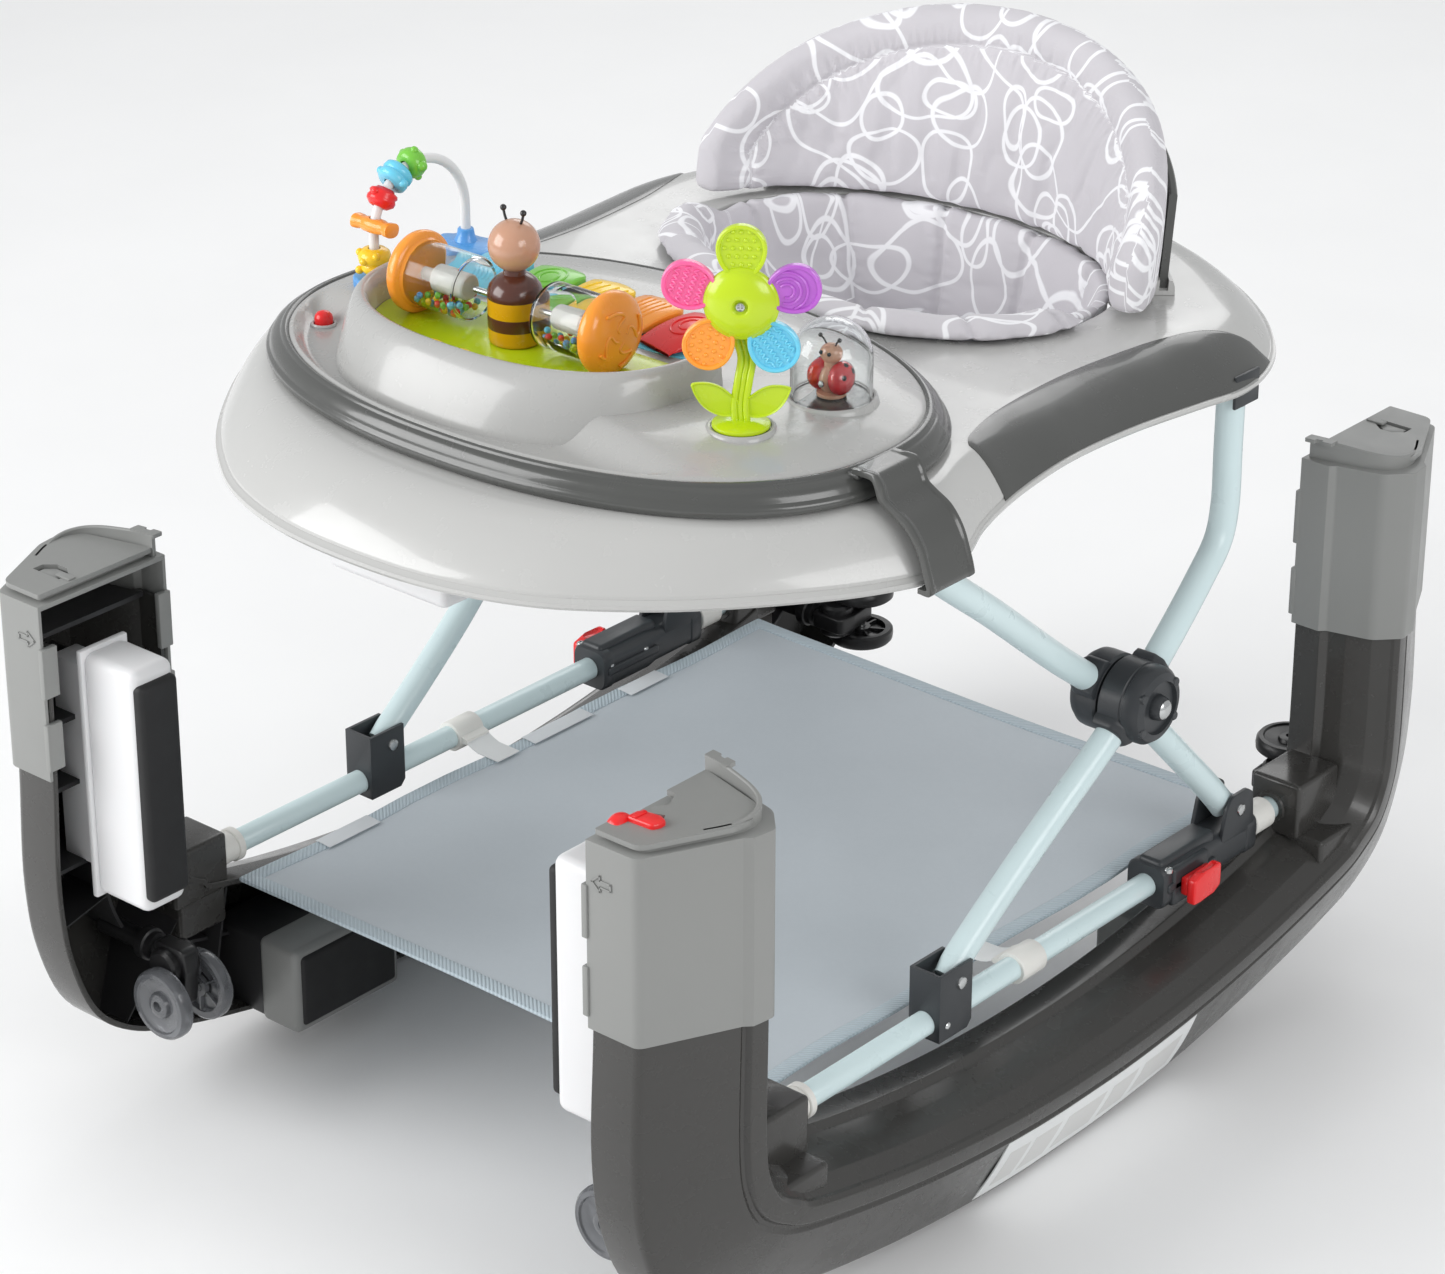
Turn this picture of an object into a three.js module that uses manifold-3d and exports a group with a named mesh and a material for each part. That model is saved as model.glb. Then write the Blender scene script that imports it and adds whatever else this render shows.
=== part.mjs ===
// Two-in-one baby walker and rocker, standing on its rocker runners.
// Millimetres, +Z up, floor at z = 0, centre of the footprint at the origin.
// The toy tray faces -Y, the back rest is at +Y, the right-hand side is +X.
import * as THREE from 'three';
import { mergeVertices } from 'three/addons/utils/BufferGeometryUtils.js';
import Module from 'manifold-3d';

// ---------------------------------------------------------------- driving sizes
const TUBE_X = 245;          // base tubes, distance from the middle plane
const TUBE_Z = 143;          // base tube height = rocker flip axis
const TUBE_R = 8;
const TUBE_END = 294;        // half length of a base tube
const OPEN_X = 227;          // open side plane of the rocker channel
const RUN_R = 1130;          // rocker runner radius
const WALL = 3.5;            // rocker moulding wall
const ARM_IN = 301;          // inner wall of an upright arm, |y|
const CAP_OUT = 402;         // outer face of an arm cap, |y|
const CAP_Z0 = 260, CAP_Z1 = 380;
const LEG_R = 9.25;
const PIV_A = [-103, 163];   // rear leg lower pivot on the front bracket, y z
const PIV_B = [200, 165];    // front leg lower pivot on the slider, y z
const HUB = [73, 297];       // scissor hub, y z
const CASTOR_Y = 333, CASTOR_Z = 117, CASTOR_X = 193, TRAIL = 26;
const WHEEL_R = 24.5, WHEEL_W = 10.5, WHEEL_GAP = 25;
const DECK_Z = 504;          // top of the seat ring deck
const TRAY = { y: -138, a: 235, b: 155, z: 533 };
const SEAT = { y: 148, a: 155, b: 112 };
const ARCH = { x: -178, y: -111, z: 561, r: 41, tube: 3.2 };
const POD_X = -40;           // middle of the raised toy pod
const DRUM_Y = -172, DRUM_Z = 556;
const FLOWER = { x: 148, y: -180, z: 609, turn: 35 };
const LADY = { x: 158, y: -110 };
const GAP = 0.35;

// ---------------------------------------------------------------- colours
const C = {
  tube: 0xb9cbcf, charcoal: 0x32363a, runner: 0x4b4b4a, cap: 0x969591, red: 0xd71e23,
  mat: 0x969ca0, ring: 0xc8c8c5, fabric: 0xc8c4c8, dark: 0x555654, white: 0xf0efed,
  wheel: 0x4a4b4e, black: 0x1d1d1e, orange: 0xf58220, yellow: 0xf6c21c, lime: 0xa5c71d,
  green: 0x6cb83c, blue: 0x2f8fd6, sky: 0x52b9e6, bee: 0xc8967e, clear: 0xe8eef0,
};
const mat = (color, roughness = 0.4, metalness = 0) =>
  new THREE.MeshStandardMaterial({ color, roughness, metalness });

// ---------------------------------------------------------------- solid helpers
const wasm = await Module();
wasm.setup();
const V = (x, y, z) => new THREE.Vector3(x, y, z);

function bare(g) {
  const q = g.clone();
  for (const n of Object.keys(q.attributes)) if (n !== 'position') q.deleteAttribute(n);
  return mergeVertices(q, 1e-4);
}
function volume(g) {
  const p = g.attributes.position, ix = g.index.array;
  let v = 0;
  const a = V(), b = V(), c = V();
  for (let i = 0; i < ix.length; i += 3) {
    a.fromBufferAttribute(p, ix[i]); b.fromBufferAttribute(p, ix[i + 1]); c.fromBufferAttribute(p, ix[i + 2]);
    v += a.dot(b.cross(c));
  }
  return v / 6;
}
function outward(g) {
  if (volume(g) < 0) {
    const ix = g.index.array;
    for (let i = 0; i < ix.length; i += 3) { const t = ix[i]; ix[i] = ix[i + 1]; ix[i + 1] = t; }
  }
  return g;
}
const solid = g => {
  const q = outward(bare(g));
  return new wasm.Manifold(new wasm.Mesh({
    numProp: 3,
    vertProperties: new Float32Array(q.attributes.position.array),
    triVerts: new Uint32Array(q.index.array),
  }));
};
function geo(m) {
  const w = m.getMesh();
  const g = new THREE.BufferGeometry();
  const n = w.numProp, vp = w.vertProperties, out = new Float32Array(vp.length / n * 3);
  for (let i = 0; i < vp.length / n; i++) for (let k = 0; k < 3; k++) out[i * 3 + k] = vp[i * n + k];
  g.setAttribute('position', new THREE.BufferAttribute(out, 3));
  g.setIndex(new THREE.BufferAttribute(new Uint32Array(w.triVerts), 1));
  return bare(g);
}
const join = (...gs) => geo(gs.map(solid).reduce((a, b) => a.add(b)));
const cut = (g, ...tools) => geo(tools.map(solid).reduce((a, b) => a.subtract(b), solid(g)));

function box(x0, x1, y0, y1, z0, z1) {
  const g = new THREE.BoxGeometry(Math.abs(x1 - x0), Math.abs(y1 - y0), Math.abs(z1 - z0));
  g.translate((x0 + x1) / 2, (y0 + y1) / 2, (z0 + z1) / 2);
  return bare(g);
}
function rod(r, from, to, n = 16) {               // straight round bar between two points
  const d = to.clone().sub(from);
  const g = new THREE.CylinderGeometry(r, r, d.length(), n);
  g.applyQuaternion(new THREE.Quaternion().setFromUnitVectors(V(0, 1, 0), d.clone().normalize()));
  g.translate((from.x + to.x) / 2, (from.y + to.y) / 2, (from.z + to.z) / 2);
  return bare(g);
}
function bent(r, pts, steps, n = 12) {            // round tube along a curve
  const s = new THREE.Shape();
  for (let i = 0; i < n; i++) {
    const a = i / n * 2 * Math.PI;
    i ? s.lineTo(r * Math.cos(a), r * Math.sin(a)) : s.moveTo(r, 0);
  }
  s.closePath();
  const path = pts instanceof THREE.Curve ? pts : new THREE.CatmullRomCurve3(pts, false, 'centripetal');
  return outward(bare(new THREE.ExtrudeGeometry(s, { steps, extrudePath: path, curveSegments: 1 })));
}
function prism(poly, z0, z1) {                    // plan polygon pulled up between two heights
  const s = new THREE.Shape(poly.map(p => new THREE.Vector2(p[0], p[1])));
  const g = new THREE.ExtrudeGeometry(s, { depth: z1 - z0, bevelEnabled: false, curveSegments: 1 });
  g.translate(0, 0, z0);
  return outward(bare(g));
}
function turned(profile, n = 24) {                // profile of [radius, height] about Z
  return outward(bare(new THREE.LatheGeometry(profile.map(p => new THREE.Vector2(p[0], p[1])), n)
    .rotateX(Math.PI / 2)));
}
function loft(rings, loop = false) {              // skin through equal rings of points
  const n = rings[0].length, m = rings.length, pos = [], idx = [];
  for (const r of rings) for (const p of r) pos.push(p.x, p.y, p.z);
  const id = (i, j) => (i % m) * n + (j % n);
  for (let i = 0; i < (loop ? m : m - 1); i++)
    for (let j = 0; j < n; j++) {
      idx.push(id(i, j), id(i + 1, j), id(i + 1, j + 1), id(i, j), id(i + 1, j + 1), id(i, j + 1));
    }
  if (!loop) for (const e of [0, m - 1]) {
    const r = rings[e];
    const nrm = V();
    for (let j = 0; j < n; j++) nrm.add(r[j].clone().cross(r[(j + 1) % n]));
    nrm.normalize();
    const u = Math.abs(nrm.z) > 0.7 ? V(1, 0, 0) : V(0, 0, 1);
    const ux = u.clone().sub(nrm.clone().multiplyScalar(u.dot(nrm))).normalize();
    const uy = nrm.clone().cross(ux);
    const flat = r.map(p => new THREE.Vector2(p.dot(ux), p.dot(uy)));
    for (const t of THREE.ShapeUtils.triangulateShape(flat, []))
      e === 0 ? idx.push(id(0, t[0]), id(0, t[1]), id(0, t[2])) : idx.push(id(e, t[0]), id(e, t[2]), id(e, t[1]));
  }
  const g = new THREE.BufferGeometry();
  g.setAttribute('position', new THREE.Float32BufferAttribute(pos, 3));
  g.setIndex(idx);
  return outward(bare(g));
}
function grow(poly, d) {                          // counter-clockwise polygon pushed out by d
  const n = poly.length, out = [];
  for (let i = 0; i < n; i++) {
    const a = poly[(i + n - 1) % n], b = poly[i], c = poly[(i + 1) % n];
    const n1 = new THREE.Vector2(b[1] - a[1], a[0] - b[0]).normalize();
    const n2 = new THREE.Vector2(c[1] - b[1], b[0] - c[0]).normalize();
    const k = d / (1 + n1.dot(n2));
    out.push([b[0] + (n1.x + n2.x) * k, b[1] + (n1.y + n2.y) * k]);
  }
  return out;
}
const flip = g => { g = g.clone(); g.scale(-1, 1, 1); return outward(g); };   // to the left side
const back = g => { g = g.clone(); g.scale(1, -1, 1); return outward(g); };   // front to rear
const oval = (t, a, b, e) => {
  const c = Math.cos(t), s = Math.sin(t);
  return [a * Math.sign(c) * Math.abs(c) ** (2 / e), b * Math.sign(s) * Math.abs(s) ** (2 / e)];
};

const walker = new THREE.Group();
function add(name, g, m, p = null) {
  const mesh = new THREE.Mesh(g, m);
  mesh.name = name;
  if (p) mesh.position.set(...p);
  walker.add(mesh);
  return mesh;
}
const sides = [['right', g => g], ['left', flip]];

// ---------------------------------------------------------------- base frame
const tubeG = rod(TUBE_R, V(TUBE_X, -TUBE_END, TUBE_Z), V(TUBE_X, TUBE_END, TUBE_Z), 16);
const tubeHole = rod(TUBE_R + GAP, V(TUBE_X, -400, TUBE_Z), V(TUBE_X, 400, TUBE_Z), 16);
const bracketG = cut(
  box(TUBE_X - 12, TUBE_X + 12, PIV_A[0] - 16, PIV_A[0] + 16, TUBE_Z - 10.5, PIV_A[1] + 16),
  box(TUBE_X - 9.8, TUBE_X + 9.8, PIV_A[0] - 13.8, PIV_A[0] + 20, TUBE_Z + 9.5, PIV_A[1] + 20),
  tubeHole);
for (const [s, f] of sides) {
  add('base_tube_' + s, f(tubeG), mat(C.tube, 0.35, 0.3));
  add('front_bracket_' + s, f(bracketG), mat(C.charcoal, 0.45));
}
const matPlan = [];
for (const [cx, cy, a0] of [[208, 258, 0], [-208, 258, 90], [-208, -252, 180], [208, -252, 270]])
  for (let i = 0; i <= 3; i++) {
    const a = (a0 + i * 30) * Math.PI / 180;
    matPlan.push([cx + 8 * Math.cos(a), cy + 8 * Math.sin(a)]);
  }
add('foot_mat', prism(matPlan, 134, 137), mat(C.mat, 0.8));

// ---------------------------------------------------------------- scissor legs
// The rear leg runs outside the front leg at the hub; both sit over the tube at their feet.
const legA = new THREE.CatmullRomCurve3([
  V(245, PIV_A[0] + 4, PIV_A[1] + 3), V(245, -78, 182), V(248, -20, 225), V(255.3, 55, 283.5), V(255.3, 91, 310.3), V(250, 150, 352),
  V(247.5, 172, 371), V(247, 178, 392), V(247, 178, 430), V(247, 178, 477)], false, 'centripetal');
const legB = new THREE.CatmullRomCurve3([
  V(245, PIV_B[0] - 3, PIV_B[1] + 4), V(245, 179, 189), V(241.5, 150, 221), V(235, 112, 263), V(234.7, HUB[0] + 12, HUB[1] - 11),
  V(234.7, HUB[0] - 12, HUB[1] + 9), V(236, 20, 337), V(243, -60, 400), V(245, -126, 452), V(245, -138, 467)], false, 'centripetal');
const hubOut = rod(26, V(245.4, ...HUB), V(282, ...HUB), 16);
const hubIn = rod(26, V(221, ...HUB), V(244.8, ...HUB), 16);
const rearLegG = join(bent(LEG_R, legA, 20, 8), hubOut);
const frontLegG = join(bent(LEG_R, legB, 18, 8), hubIn);
for (const [s, f] of sides) {
  add('rear_leg_' + s, f(rearLegG), mat(C.tube, 0.35, 0.3));
  add('front_leg_' + s, f(frontLegG), mat(C.tube, 0.35, 0.3));
}

// ---------------------------------------------------------------- height sliders
const oct = [[-17, -11], [-11, -19], [11, -19], [17, -11], [17, 11], [11, 19], [-11, 19], [-17, 11]];
const sliderBody = loft([113, 170].map(y => oct.map(p => V(TUBE_X + p[0], y, TUBE_Z + p[1]))));
const sliderTail = loft([169, 220].map(y => oct.map(p => V(TUBE_X + p[0] * 0.75, y, TUBE_Z + p[1] * 0.75))));
const sliderEar = box(TUBE_X - 12, TUBE_X + 12, PIV_B[0] - 14, PIV_B[0] + 14, TUBE_Z, PIV_B[1] + 15);
const sliderG = cut(join(sliderBody, sliderTail, sliderEar),
  box(TUBE_X - 9.8, TUBE_X + 9.8, PIV_B[0] - 30, PIV_B[0] + 20, TUBE_Z + 10, PIV_B[1] + 20),
  box(TUBE_X + 14, TUBE_X + 24, 127, 157, TUBE_Z - 8, TUBE_Z + 6.5), tubeHole);
const leverG = join(box(TUBE_X + 17.5, TUBE_X + 24, 128, 156, TUBE_Z - 7.5, TUBE_Z + 6),
  box(TUBE_X + 23, TUBE_X + 29.5, 127, 157, TUBE_Z - 12, TUBE_Z + 10));
for (const [s, f] of sides) {
  add('slider_' + s, f(sliderG), mat(C.charcoal, 0.45));
  add('release_lever_' + s, f(leverG), mat(C.red, 0.35));
}

// ---------------------------------------------------------------- rockers
// Channel section: x, and depth w measured inward from the runner or rim side.
const SEC_OUT = [[227, 0], [261.5, 0], [289.5, 58], [294, 74], [281, 88], [227, 99]];
const SEC_IN = [[227, 95.5], [279.2, 84.8], [290, 73.2], [286, 59], [259.2, 3.5], [227, 3.5]];
const SECTION = [...SEC_OUT, ...SEC_IN];
const runnerO = y => V(0, y, Math.max(0, (y * y - 900) / (2 * RUN_R)));
const runnerI = y => {                            // matching point on the inner curve
  const c = V(0, 0, RUN_R), o = runnerO(y);
  return o.clone().add(c.sub(o).normalize().multiplyScalar(99));
};
const half = [                                    // outer and inner guide points, front to middle
  [[397, 352], [301, 352]], [[399, 258], [301, 258]], [[402, 172], [301, 178]], [[396, 126], [299, 161]],
  [[377, 80], [290, 147]], [[344, 54], [277, 139]],
];
const stations = [];
for (const [o, i] of half) stations.push([V(0, -o[0], o[1]), V(0, -i[0], i[1])]);
for (const y of [-300, -250, -195, -140, -85, -30]) stations.push([runnerO(y), runnerI(y)]);
for (const [o, i] of stations.slice().reverse()) stations.push([V(0, -o.y, o.z), V(0, -i.y, i.z)]);
const shell = loft(stations.map(([o, i]) => SECTION.map(([x, w]) => {
  const p = o.clone().lerp(i, w / 99); p.x = x; return p;
})));
const socket = y => box(229, 268, y * 256, y * 309, 124, 165);
const stop = y => box(178, 258, y * 152, y * 248, 26, 88);
const railG = cut(join(shell, socket(1), socket(-1), stop(1), stop(-1)),
  rod(TUBE_R + GAP, V(TUBE_X, -TUBE_END - 1.5, TUBE_Z), V(TUBE_X, TUBE_END + 1.5, TUBE_Z), 16));

const capPoly = SEC_OUT.map(([x, w]) => [x, -(CAP_OUT - 3) + w]);   // front arm, plan view
capPoly[4][1] += 0.6; capPoly[5][1] -= 0.4;
const capOuter = grow(capPoly, 3), capInner = grow(capPoly, 0.4);
capOuter[0][0] = capOuter[5][0] = OPEN_X - 1;
capInner[0][0] = capInner[5][0] = OPEN_X - 5;
const capG = cut(prism(capOuter, CAP_Z0, CAP_Z1), prism(capInner, CAP_Z0 - 5, CAP_Z1 - 3));
const padG = join(box(174, 224, -375, -340, 172, 341), box(169, 175, -372, -343, 184, 331), box(223, 258, -368, -347, 184, 329));
const forkFront = (() => {                        // stem along X, wheels hang below
  const stem = rod(7, V(200, -CASTOR_Y, CASTOR_Z), V(266, -CASTOR_Y, CASTOR_Z), 12);
  const collar = rod(11, V(221, -CASTOR_Y, CASTOR_Z), V(227, -CASTOR_Y, CASTOR_Z), 12);
  const body = box(182, 212, -CASTOR_Y - 6.5, -CASTOR_Y + 6.5, CASTOR_Z - TRAIL - 8, CASTOR_Z + 10);
  return cut(join(stem, collar, body),
    rod(3.4, V(CASTOR_X, -CASTOR_Y - 30, CASTOR_Z - TRAIL), V(CASTOR_X, -CASTOR_Y + 30, CASTOR_Z - TRAIL), 10));
})();
const wheelsFront = (() => {                      // two discs on one axle
  const h = WHEEL_GAP / 2, w = h + WHEEL_W, r = WHEEL_R;
  const prof = [[0, -w], [r - 3, -w], [r, -w + 3], [r, -h - 2], [r - 2, -h], [3, -h],
    [3, h], [r - 2, h], [r, h + 2], [r, w - 3], [r - 3, w], [0, w]];
  const g = turned(prof, 14);
  g.rotateX(Math.PI / 2);
  g.translate(CASTOR_X, -CASTOR_Y, CASTOR_Z - TRAIL);
  return outward(g);
})();
function swivel(g, deg) {                         // turned about the front stem axis
  g = g.clone();
  g.translate(0, CASTOR_Y, -CASTOR_Z);
  g.rotateX(deg * Math.PI / 180);
  g.translate(0, -CASTOR_Y, CASTOR_Z);
  return g;
}
for (const [s, f] of sides) {
  add('rocker_rail_' + s, f(railG), mat(C.runner, 0.3));
  add('front_cap_' + s, f(capG), mat(C.cap, 0.45));
  add('rear_cap_' + s, f(back(capG)), mat(C.cap, 0.45));
  add('front_stop_pad_' + s, f(padG), mat(C.white, 0.5));
  add('front_castor_fork_' + s, f(forkFront), mat(C.black, 0.4));
  add('front_castor_wheels_' + s, f(wheelsFront), mat(C.wheel, 0.25));
  add('rear_castor_fork_' + s, f(back(swivel(forkFront, -90))), mat(C.black, 0.4));
  add('rear_castor_wheels_' + s, f(back(swivel(wheelsFront, -90))), mat(C.black, 0.25));
}
const latchG = join(box(231, 257, -392, -368, 380.4, 388), box(231, 237, -388, -372, 387, 392));
add('joining_latch_front', latchG, mat(C.red, 0.35));
add('joining_latch_rear', flip(back(latchG)), mat(C.red, 0.35));

// ---------------------------------------------------------------- seat ring
// Right half of the skirt edge (x, y, z) and of the shoulder above it, front to rear.
const EDGE = [[0, -357, 466], [62, -352, 466], [120, -333, 466], [160, -307, 466], [194, -277, 466], [232, -232, 466],
  [259, -192, 466], [275, -155, 467], [271, -122, 469], [260, -93, 472], [254, -62, 476], [252, -30, 480], [252, 5, 483],
  [253, 65, 482], [260, 130, 480], [263, 167, 478], [258, 198, 478], [245, 228, 479], [222, 258, 480],
  [190, 288, 480], [150, 315, 480], [100, 336, 480], [50, 346, 480], [0, 349, 480]];
const SHOULDER = [[0, -302], [53, -298], [104, -283], [141, -262], [172, -238], [205, -203], [226, -172], [238, -143],
  [236, -112], [226, -85], [214, -58], [203, -28], [197, 4], [194, 64], [200, 128], [206, 162], [205, 188], [197, 212],
  [181, 236], [156, 260], [122, 282], [80, 300], [40, 310], [0, 313]];
const opening = (x, y, d = 0) => {                // edge of the seat hole in the same direction
  const t = Math.atan2((y - SEAT.y) / (SEAT.b + d), x / (SEAT.a + d));
  const e = 2.2, k = (Math.abs(Math.cos(t)) ** e + Math.abs(Math.sin(t)) ** e) ** (-1 / e);
  return [(SEAT.a + d) * Math.cos(t) * k, SEAT.y + (SEAT.b + d) * Math.sin(t) * k];
};
const ringSections = [];
for (let i = 0; i < EDGE.length; i++) {
  const [lx, ly, lz] = EDGE[i], [sx, sy] = SHOULDER[i];
  const len = Math.hypot(lx - sx, ly - sy), ux = (lx - sx) / len, uy = (ly - sy) / len;
  const at = (t, dz, d = 0) => V(sx + (lx - sx) * t - ux * d, sy + (ly - sy) * t - uy * d,
    DECK_Z - (DECK_Z - lz) * t ** 2.1 - dz);
  const e0 = opening(sx, sy), e4 = opening(sx, sy, 3.5);
  ringSections.push([at(1, 0), at(0.7, 0), at(0.35, 0), at(0, 0), V(e0[0], e0[1], DECK_Z),
    V(e0[0], e0[1], DECK_Z - 24), V(e4[0], e4[1], DECK_Z - 24), V(e4[0], e4[1], DECK_Z - 3.5),
    at(0, 3.5), at(0.35, 3.5, 0.6), at(0.7, 3.4, 1.6), at(1, 0, 4)]);
}
const around = [...ringSections, ...ringSections.slice(1, -1).reverse().map(r => r.map(p => V(-p.x, p.y, p.z)))];
add('seat_ring', loft(around, true), mat(C.ring, 0.2));

// ---------------------------------------------------------------- toy tray
const trayRings = [];
for (const [k, z] of [[0.985, DECK_Z + GAP], [1, DECK_Z + 5], [0.992, DECK_Z + 12], [0.965, DECK_Z + 17], [0.93, DECK_Z + 19.5],
  [0.9, DECK_Z + 21], [0.8, DECK_Z + 26], [0.68, DECK_Z + 28.6], [0.62, TRAY.z]]) {
  const r = [];
  for (let i = 0; i < 32; i++) {
    const [x, y] = oval(i / 32 * 2 * Math.PI, TRAY.a * k, TRAY.b * k, 2.2);
    r.push(V(x, TRAY.y + y, z));
  }
  trayRings.push(r);
}
const podPlan = (k, z) => {                    // raised toy pod, open towards the seat
  const r = [], f = z > 540 ? 91 : z > 520 ? 109 : 113;
  for (let i = 0; i <= 14; i++) {
    const t = Math.PI + i / 14 * Math.PI, c = Math.cos(t), q = Math.sin(t);
    r.push(V(POD_X + 10 + 129 * k * Math.sign(c) * Math.abs(c) ** 0.83, -152 + f * Math.sign(q) * Math.abs(q) ** 0.83, z));
  }
  r.push(V(POD_X + 10 + 129 * k, -140, z), V(POD_X + 10 - 129 * k, -140, z));
  return r;
};
const pod = loft([podPlan(1, 512), podPlan(0.995, 524), podPlan(0.97, 555)]);
const podTrough = prism([[-143, -139], [-143, -172], [-127, -204], [-90, -224], [30, -224], [67, -204], [83, -172],
  [83, -139]], 533.5, 570);
const apron = [];                               // the tray is lower in front of the pod
for (let i = 0; i <= 20; i++) {
  const [x, y] = oval((194 + i / 20 * 110) * Math.PI / 180, TRAY.a * 0.88, TRAY.b * 0.88, 2.2);
  apron.push([x, TRAY.y + y]);
}
const pad = (x, y, r, h) => rod(r, V(x, y, 520), V(x, y, h), 24);    // level seats for the toys
const trayG = cut(join(cut(loft(trayRings), prism(apron, 518, 560)), pod, pad(FLOWER.x, FLOWER.y, 21, TRAY.z), pad(LADY.x, LADY.y, 28, TRAY.z),
  pad(ARCH.x, -70, 14, TRAY.z), pad(ARCH.x, -152, 14, TRAY.z)), podTrough,
rod(6.2, V(-180, -196, 507.4), V(-180, -196, 560), 16));
add('toy_tray', trayG, mat(C.ring, 0.2));
const clipLine = [[224, 521.8], [238.5, 521.2], [244, 509], [252, 505], [262, 499.5], [272, 487], [279, 468.5],
  [280.2, 465.2], [273.5, 464.9], [273.5, 461.6], [283.6, 461.8], [282.6, 469], [275.4, 488.6], [264.6, 502.4], [253.4, 508.2],
  [246.8, 512], [241.5, 524.4], [224, 525]];
const clipG = loft([-172, -132].map(y => clipLine.map(p => V(p[0], y, p[1]))));
add('tray_clip_right', clipG, mat(C.dark, 0.4));

// ---------------------------------------------------------------- seat
const lean = z => 0.12 * (z - 507);
const backTop = s => 507.2 + 138 * Math.max(s, 0.001) ** 0.62;
function wrap(a, b, t0, t1, n, half, zLow, top) { // upright curved slab behind the seat
  const rings = [];
  for (let i = 0; i <= n; i++) {
    const t = (t0 + (t1 - t0) * i / n) * Math.PI / 180, c = Math.cos(t), s = Math.sin(t);
    const nx = c / a, ny = s / b, l = Math.hypot(nx, ny), x = a * c, y = 140 + b * s, zt = top(s);
    const p = (d, z) => V(x + nx / l * d, y + ny / l * d + lean(z), z);
    rings.push([p(-half, zLow), p(half, zLow), p(half, zt - half * 0.6), p(half * 0.4, zt), p(-half * 0.4, zt), p(-half, zt - half * 0.6)]);
  }
  return loft(rings);
}
add('seat_back_cushion', wrap(178, 125, 7, 173, 22, 14, 507.2, backTop), mat(C.fabric, 0.9));
add('seat_back_support', wrap(195.5, 142.5, 33, 147, 12, 2.6, DECK_Z + GAP, s => 500 + 112 * s ** 0.8), mat(C.dark, 0.4));
const padSections = [];
const NPAD = 30;
for (let i = 0; i < NPAD; i++) {
  const t = i / NPAD * 2 * Math.PI, cx = Math.cos(t), cy = Math.sin(t);
  const k = Math.min(1, Math.max(0, (cy * SEAT.b + 30) / 26));       // 0 roll at the front, 1 lining at the rear
  const at = (d, z, sc = 1) => {
    const [x, y] = opening(cx * SEAT.a, SEAT.y + cy * SEAT.b, d);
    return V(x * sc, SEAT.y + (y - SEAT.y) * sc, z);
  };
  const mix = (a, b) => at(a[0] + (b[0] - a[0]) * k, a[1] + (b[1] - a[1]) * k);
  padSections.push([
    mix([13, 504.5], [12, 504.5]), mix([14, 511], [12, 506.4]), mix([6, 519], [-12, 506.6]), mix([-8, 520], [-13.5, 519]),
    mix([-16, 513], [-21, 519]), at(-21, 480), at(0, 425, 0.72), at(0, 398, 0.45), at(0, 390, 0.12),
    at(0, 383, 0.12), at(0, 391, 0.47), at(0, 420, 0.77), at(-12, 478), at(-4.5, 482), at(-4.5, 504.5),
  ]);
}
let seatPad = loft(padSections, true);
{                                                 // close the small hole left in the middle of the bowl
  const plug = rod(SEAT.a * 0.16, V(0, SEAT.y, 384), V(0, SEAT.y, 389.5), 24);
  seatPad = join(seatPad, plug);
}
for (const x of [-62, 62]) {
  const hole = rod(36, V(x, 10, 436), V(x, 118, 436), 14);
  seatPad = cut(seatPad, hole);
}
add('seat_pad', seatPad, mat(C.fabric, 0.9));

// ---------------------------------------------------------------- toys
class Arch extends THREE.Curve {
  getPoint(u, out = V()) {
    const leg = ARCH.z - TRAY.z - GAP, arc = Math.PI * ARCH.r, all = 2 * leg + arc;
    const s = u * all;
    if (s < leg) return out.set(ARCH.x, ARCH.y + ARCH.r, ARCH.z - leg + s);
    if (s > leg + arc) return out.set(ARCH.x, ARCH.y - ARCH.r, ARCH.z - (s - leg - arc));
    const a = (s - leg) / ARCH.r;
    return out.set(ARCH.x, ARCH.y + ARCH.r * Math.cos(a), ARCH.z + ARCH.r * Math.sin(a));
  }
}
const arch = new Arch();
add('bead_arch', bent(ARCH.tube, arch, 20, 6), mat(C.white, 0.3));
function bead(r, h) {                             // threaded bead about its own Z axis
  return turned([[4.1, -h], [r * 0.7, -h], [r, -h * 0.4], [r, h * 0.4], [r * 0.7, h], [4.1, h], [4.1, -h]], 14);
}
function onArch(g, deg) {                         // angle forward from the top of the arch
  g = g.clone();
  const a = deg * Math.PI / 180;
  g.rotateX(a + Math.PI / 2);
  g.translate(ARCH.x, ARCH.y - ARCH.r * Math.sin(a), ARCH.z + ARCH.r * Math.cos(a));
  return outward(g);
}
add('bead_green', onArch(bead(10, 6.4), 8), mat(C.green, 0.3));
add('bead_blue', onArch(bead(10.5, 6.4), 30), mat(C.sky, 0.3));
add('bead_red', onArch(bead(9.5, 6.4), 53), mat(C.red, 0.3));
add('bead_orange', onArch(cut(box(-16, 16, -6.5, 6.5, -5, 5), rod(4.1, V(0, 0, -20), V(0, 0, 20), 14)), 78), mat(C.orange, 0.3));
{
  const g = bead(10.5, 8);
  g.translate(ARCH.x, ARCH.y - ARCH.r, 547);
  add('bead_yellow', g, mat(C.yellow, 0.3));
}
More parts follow.
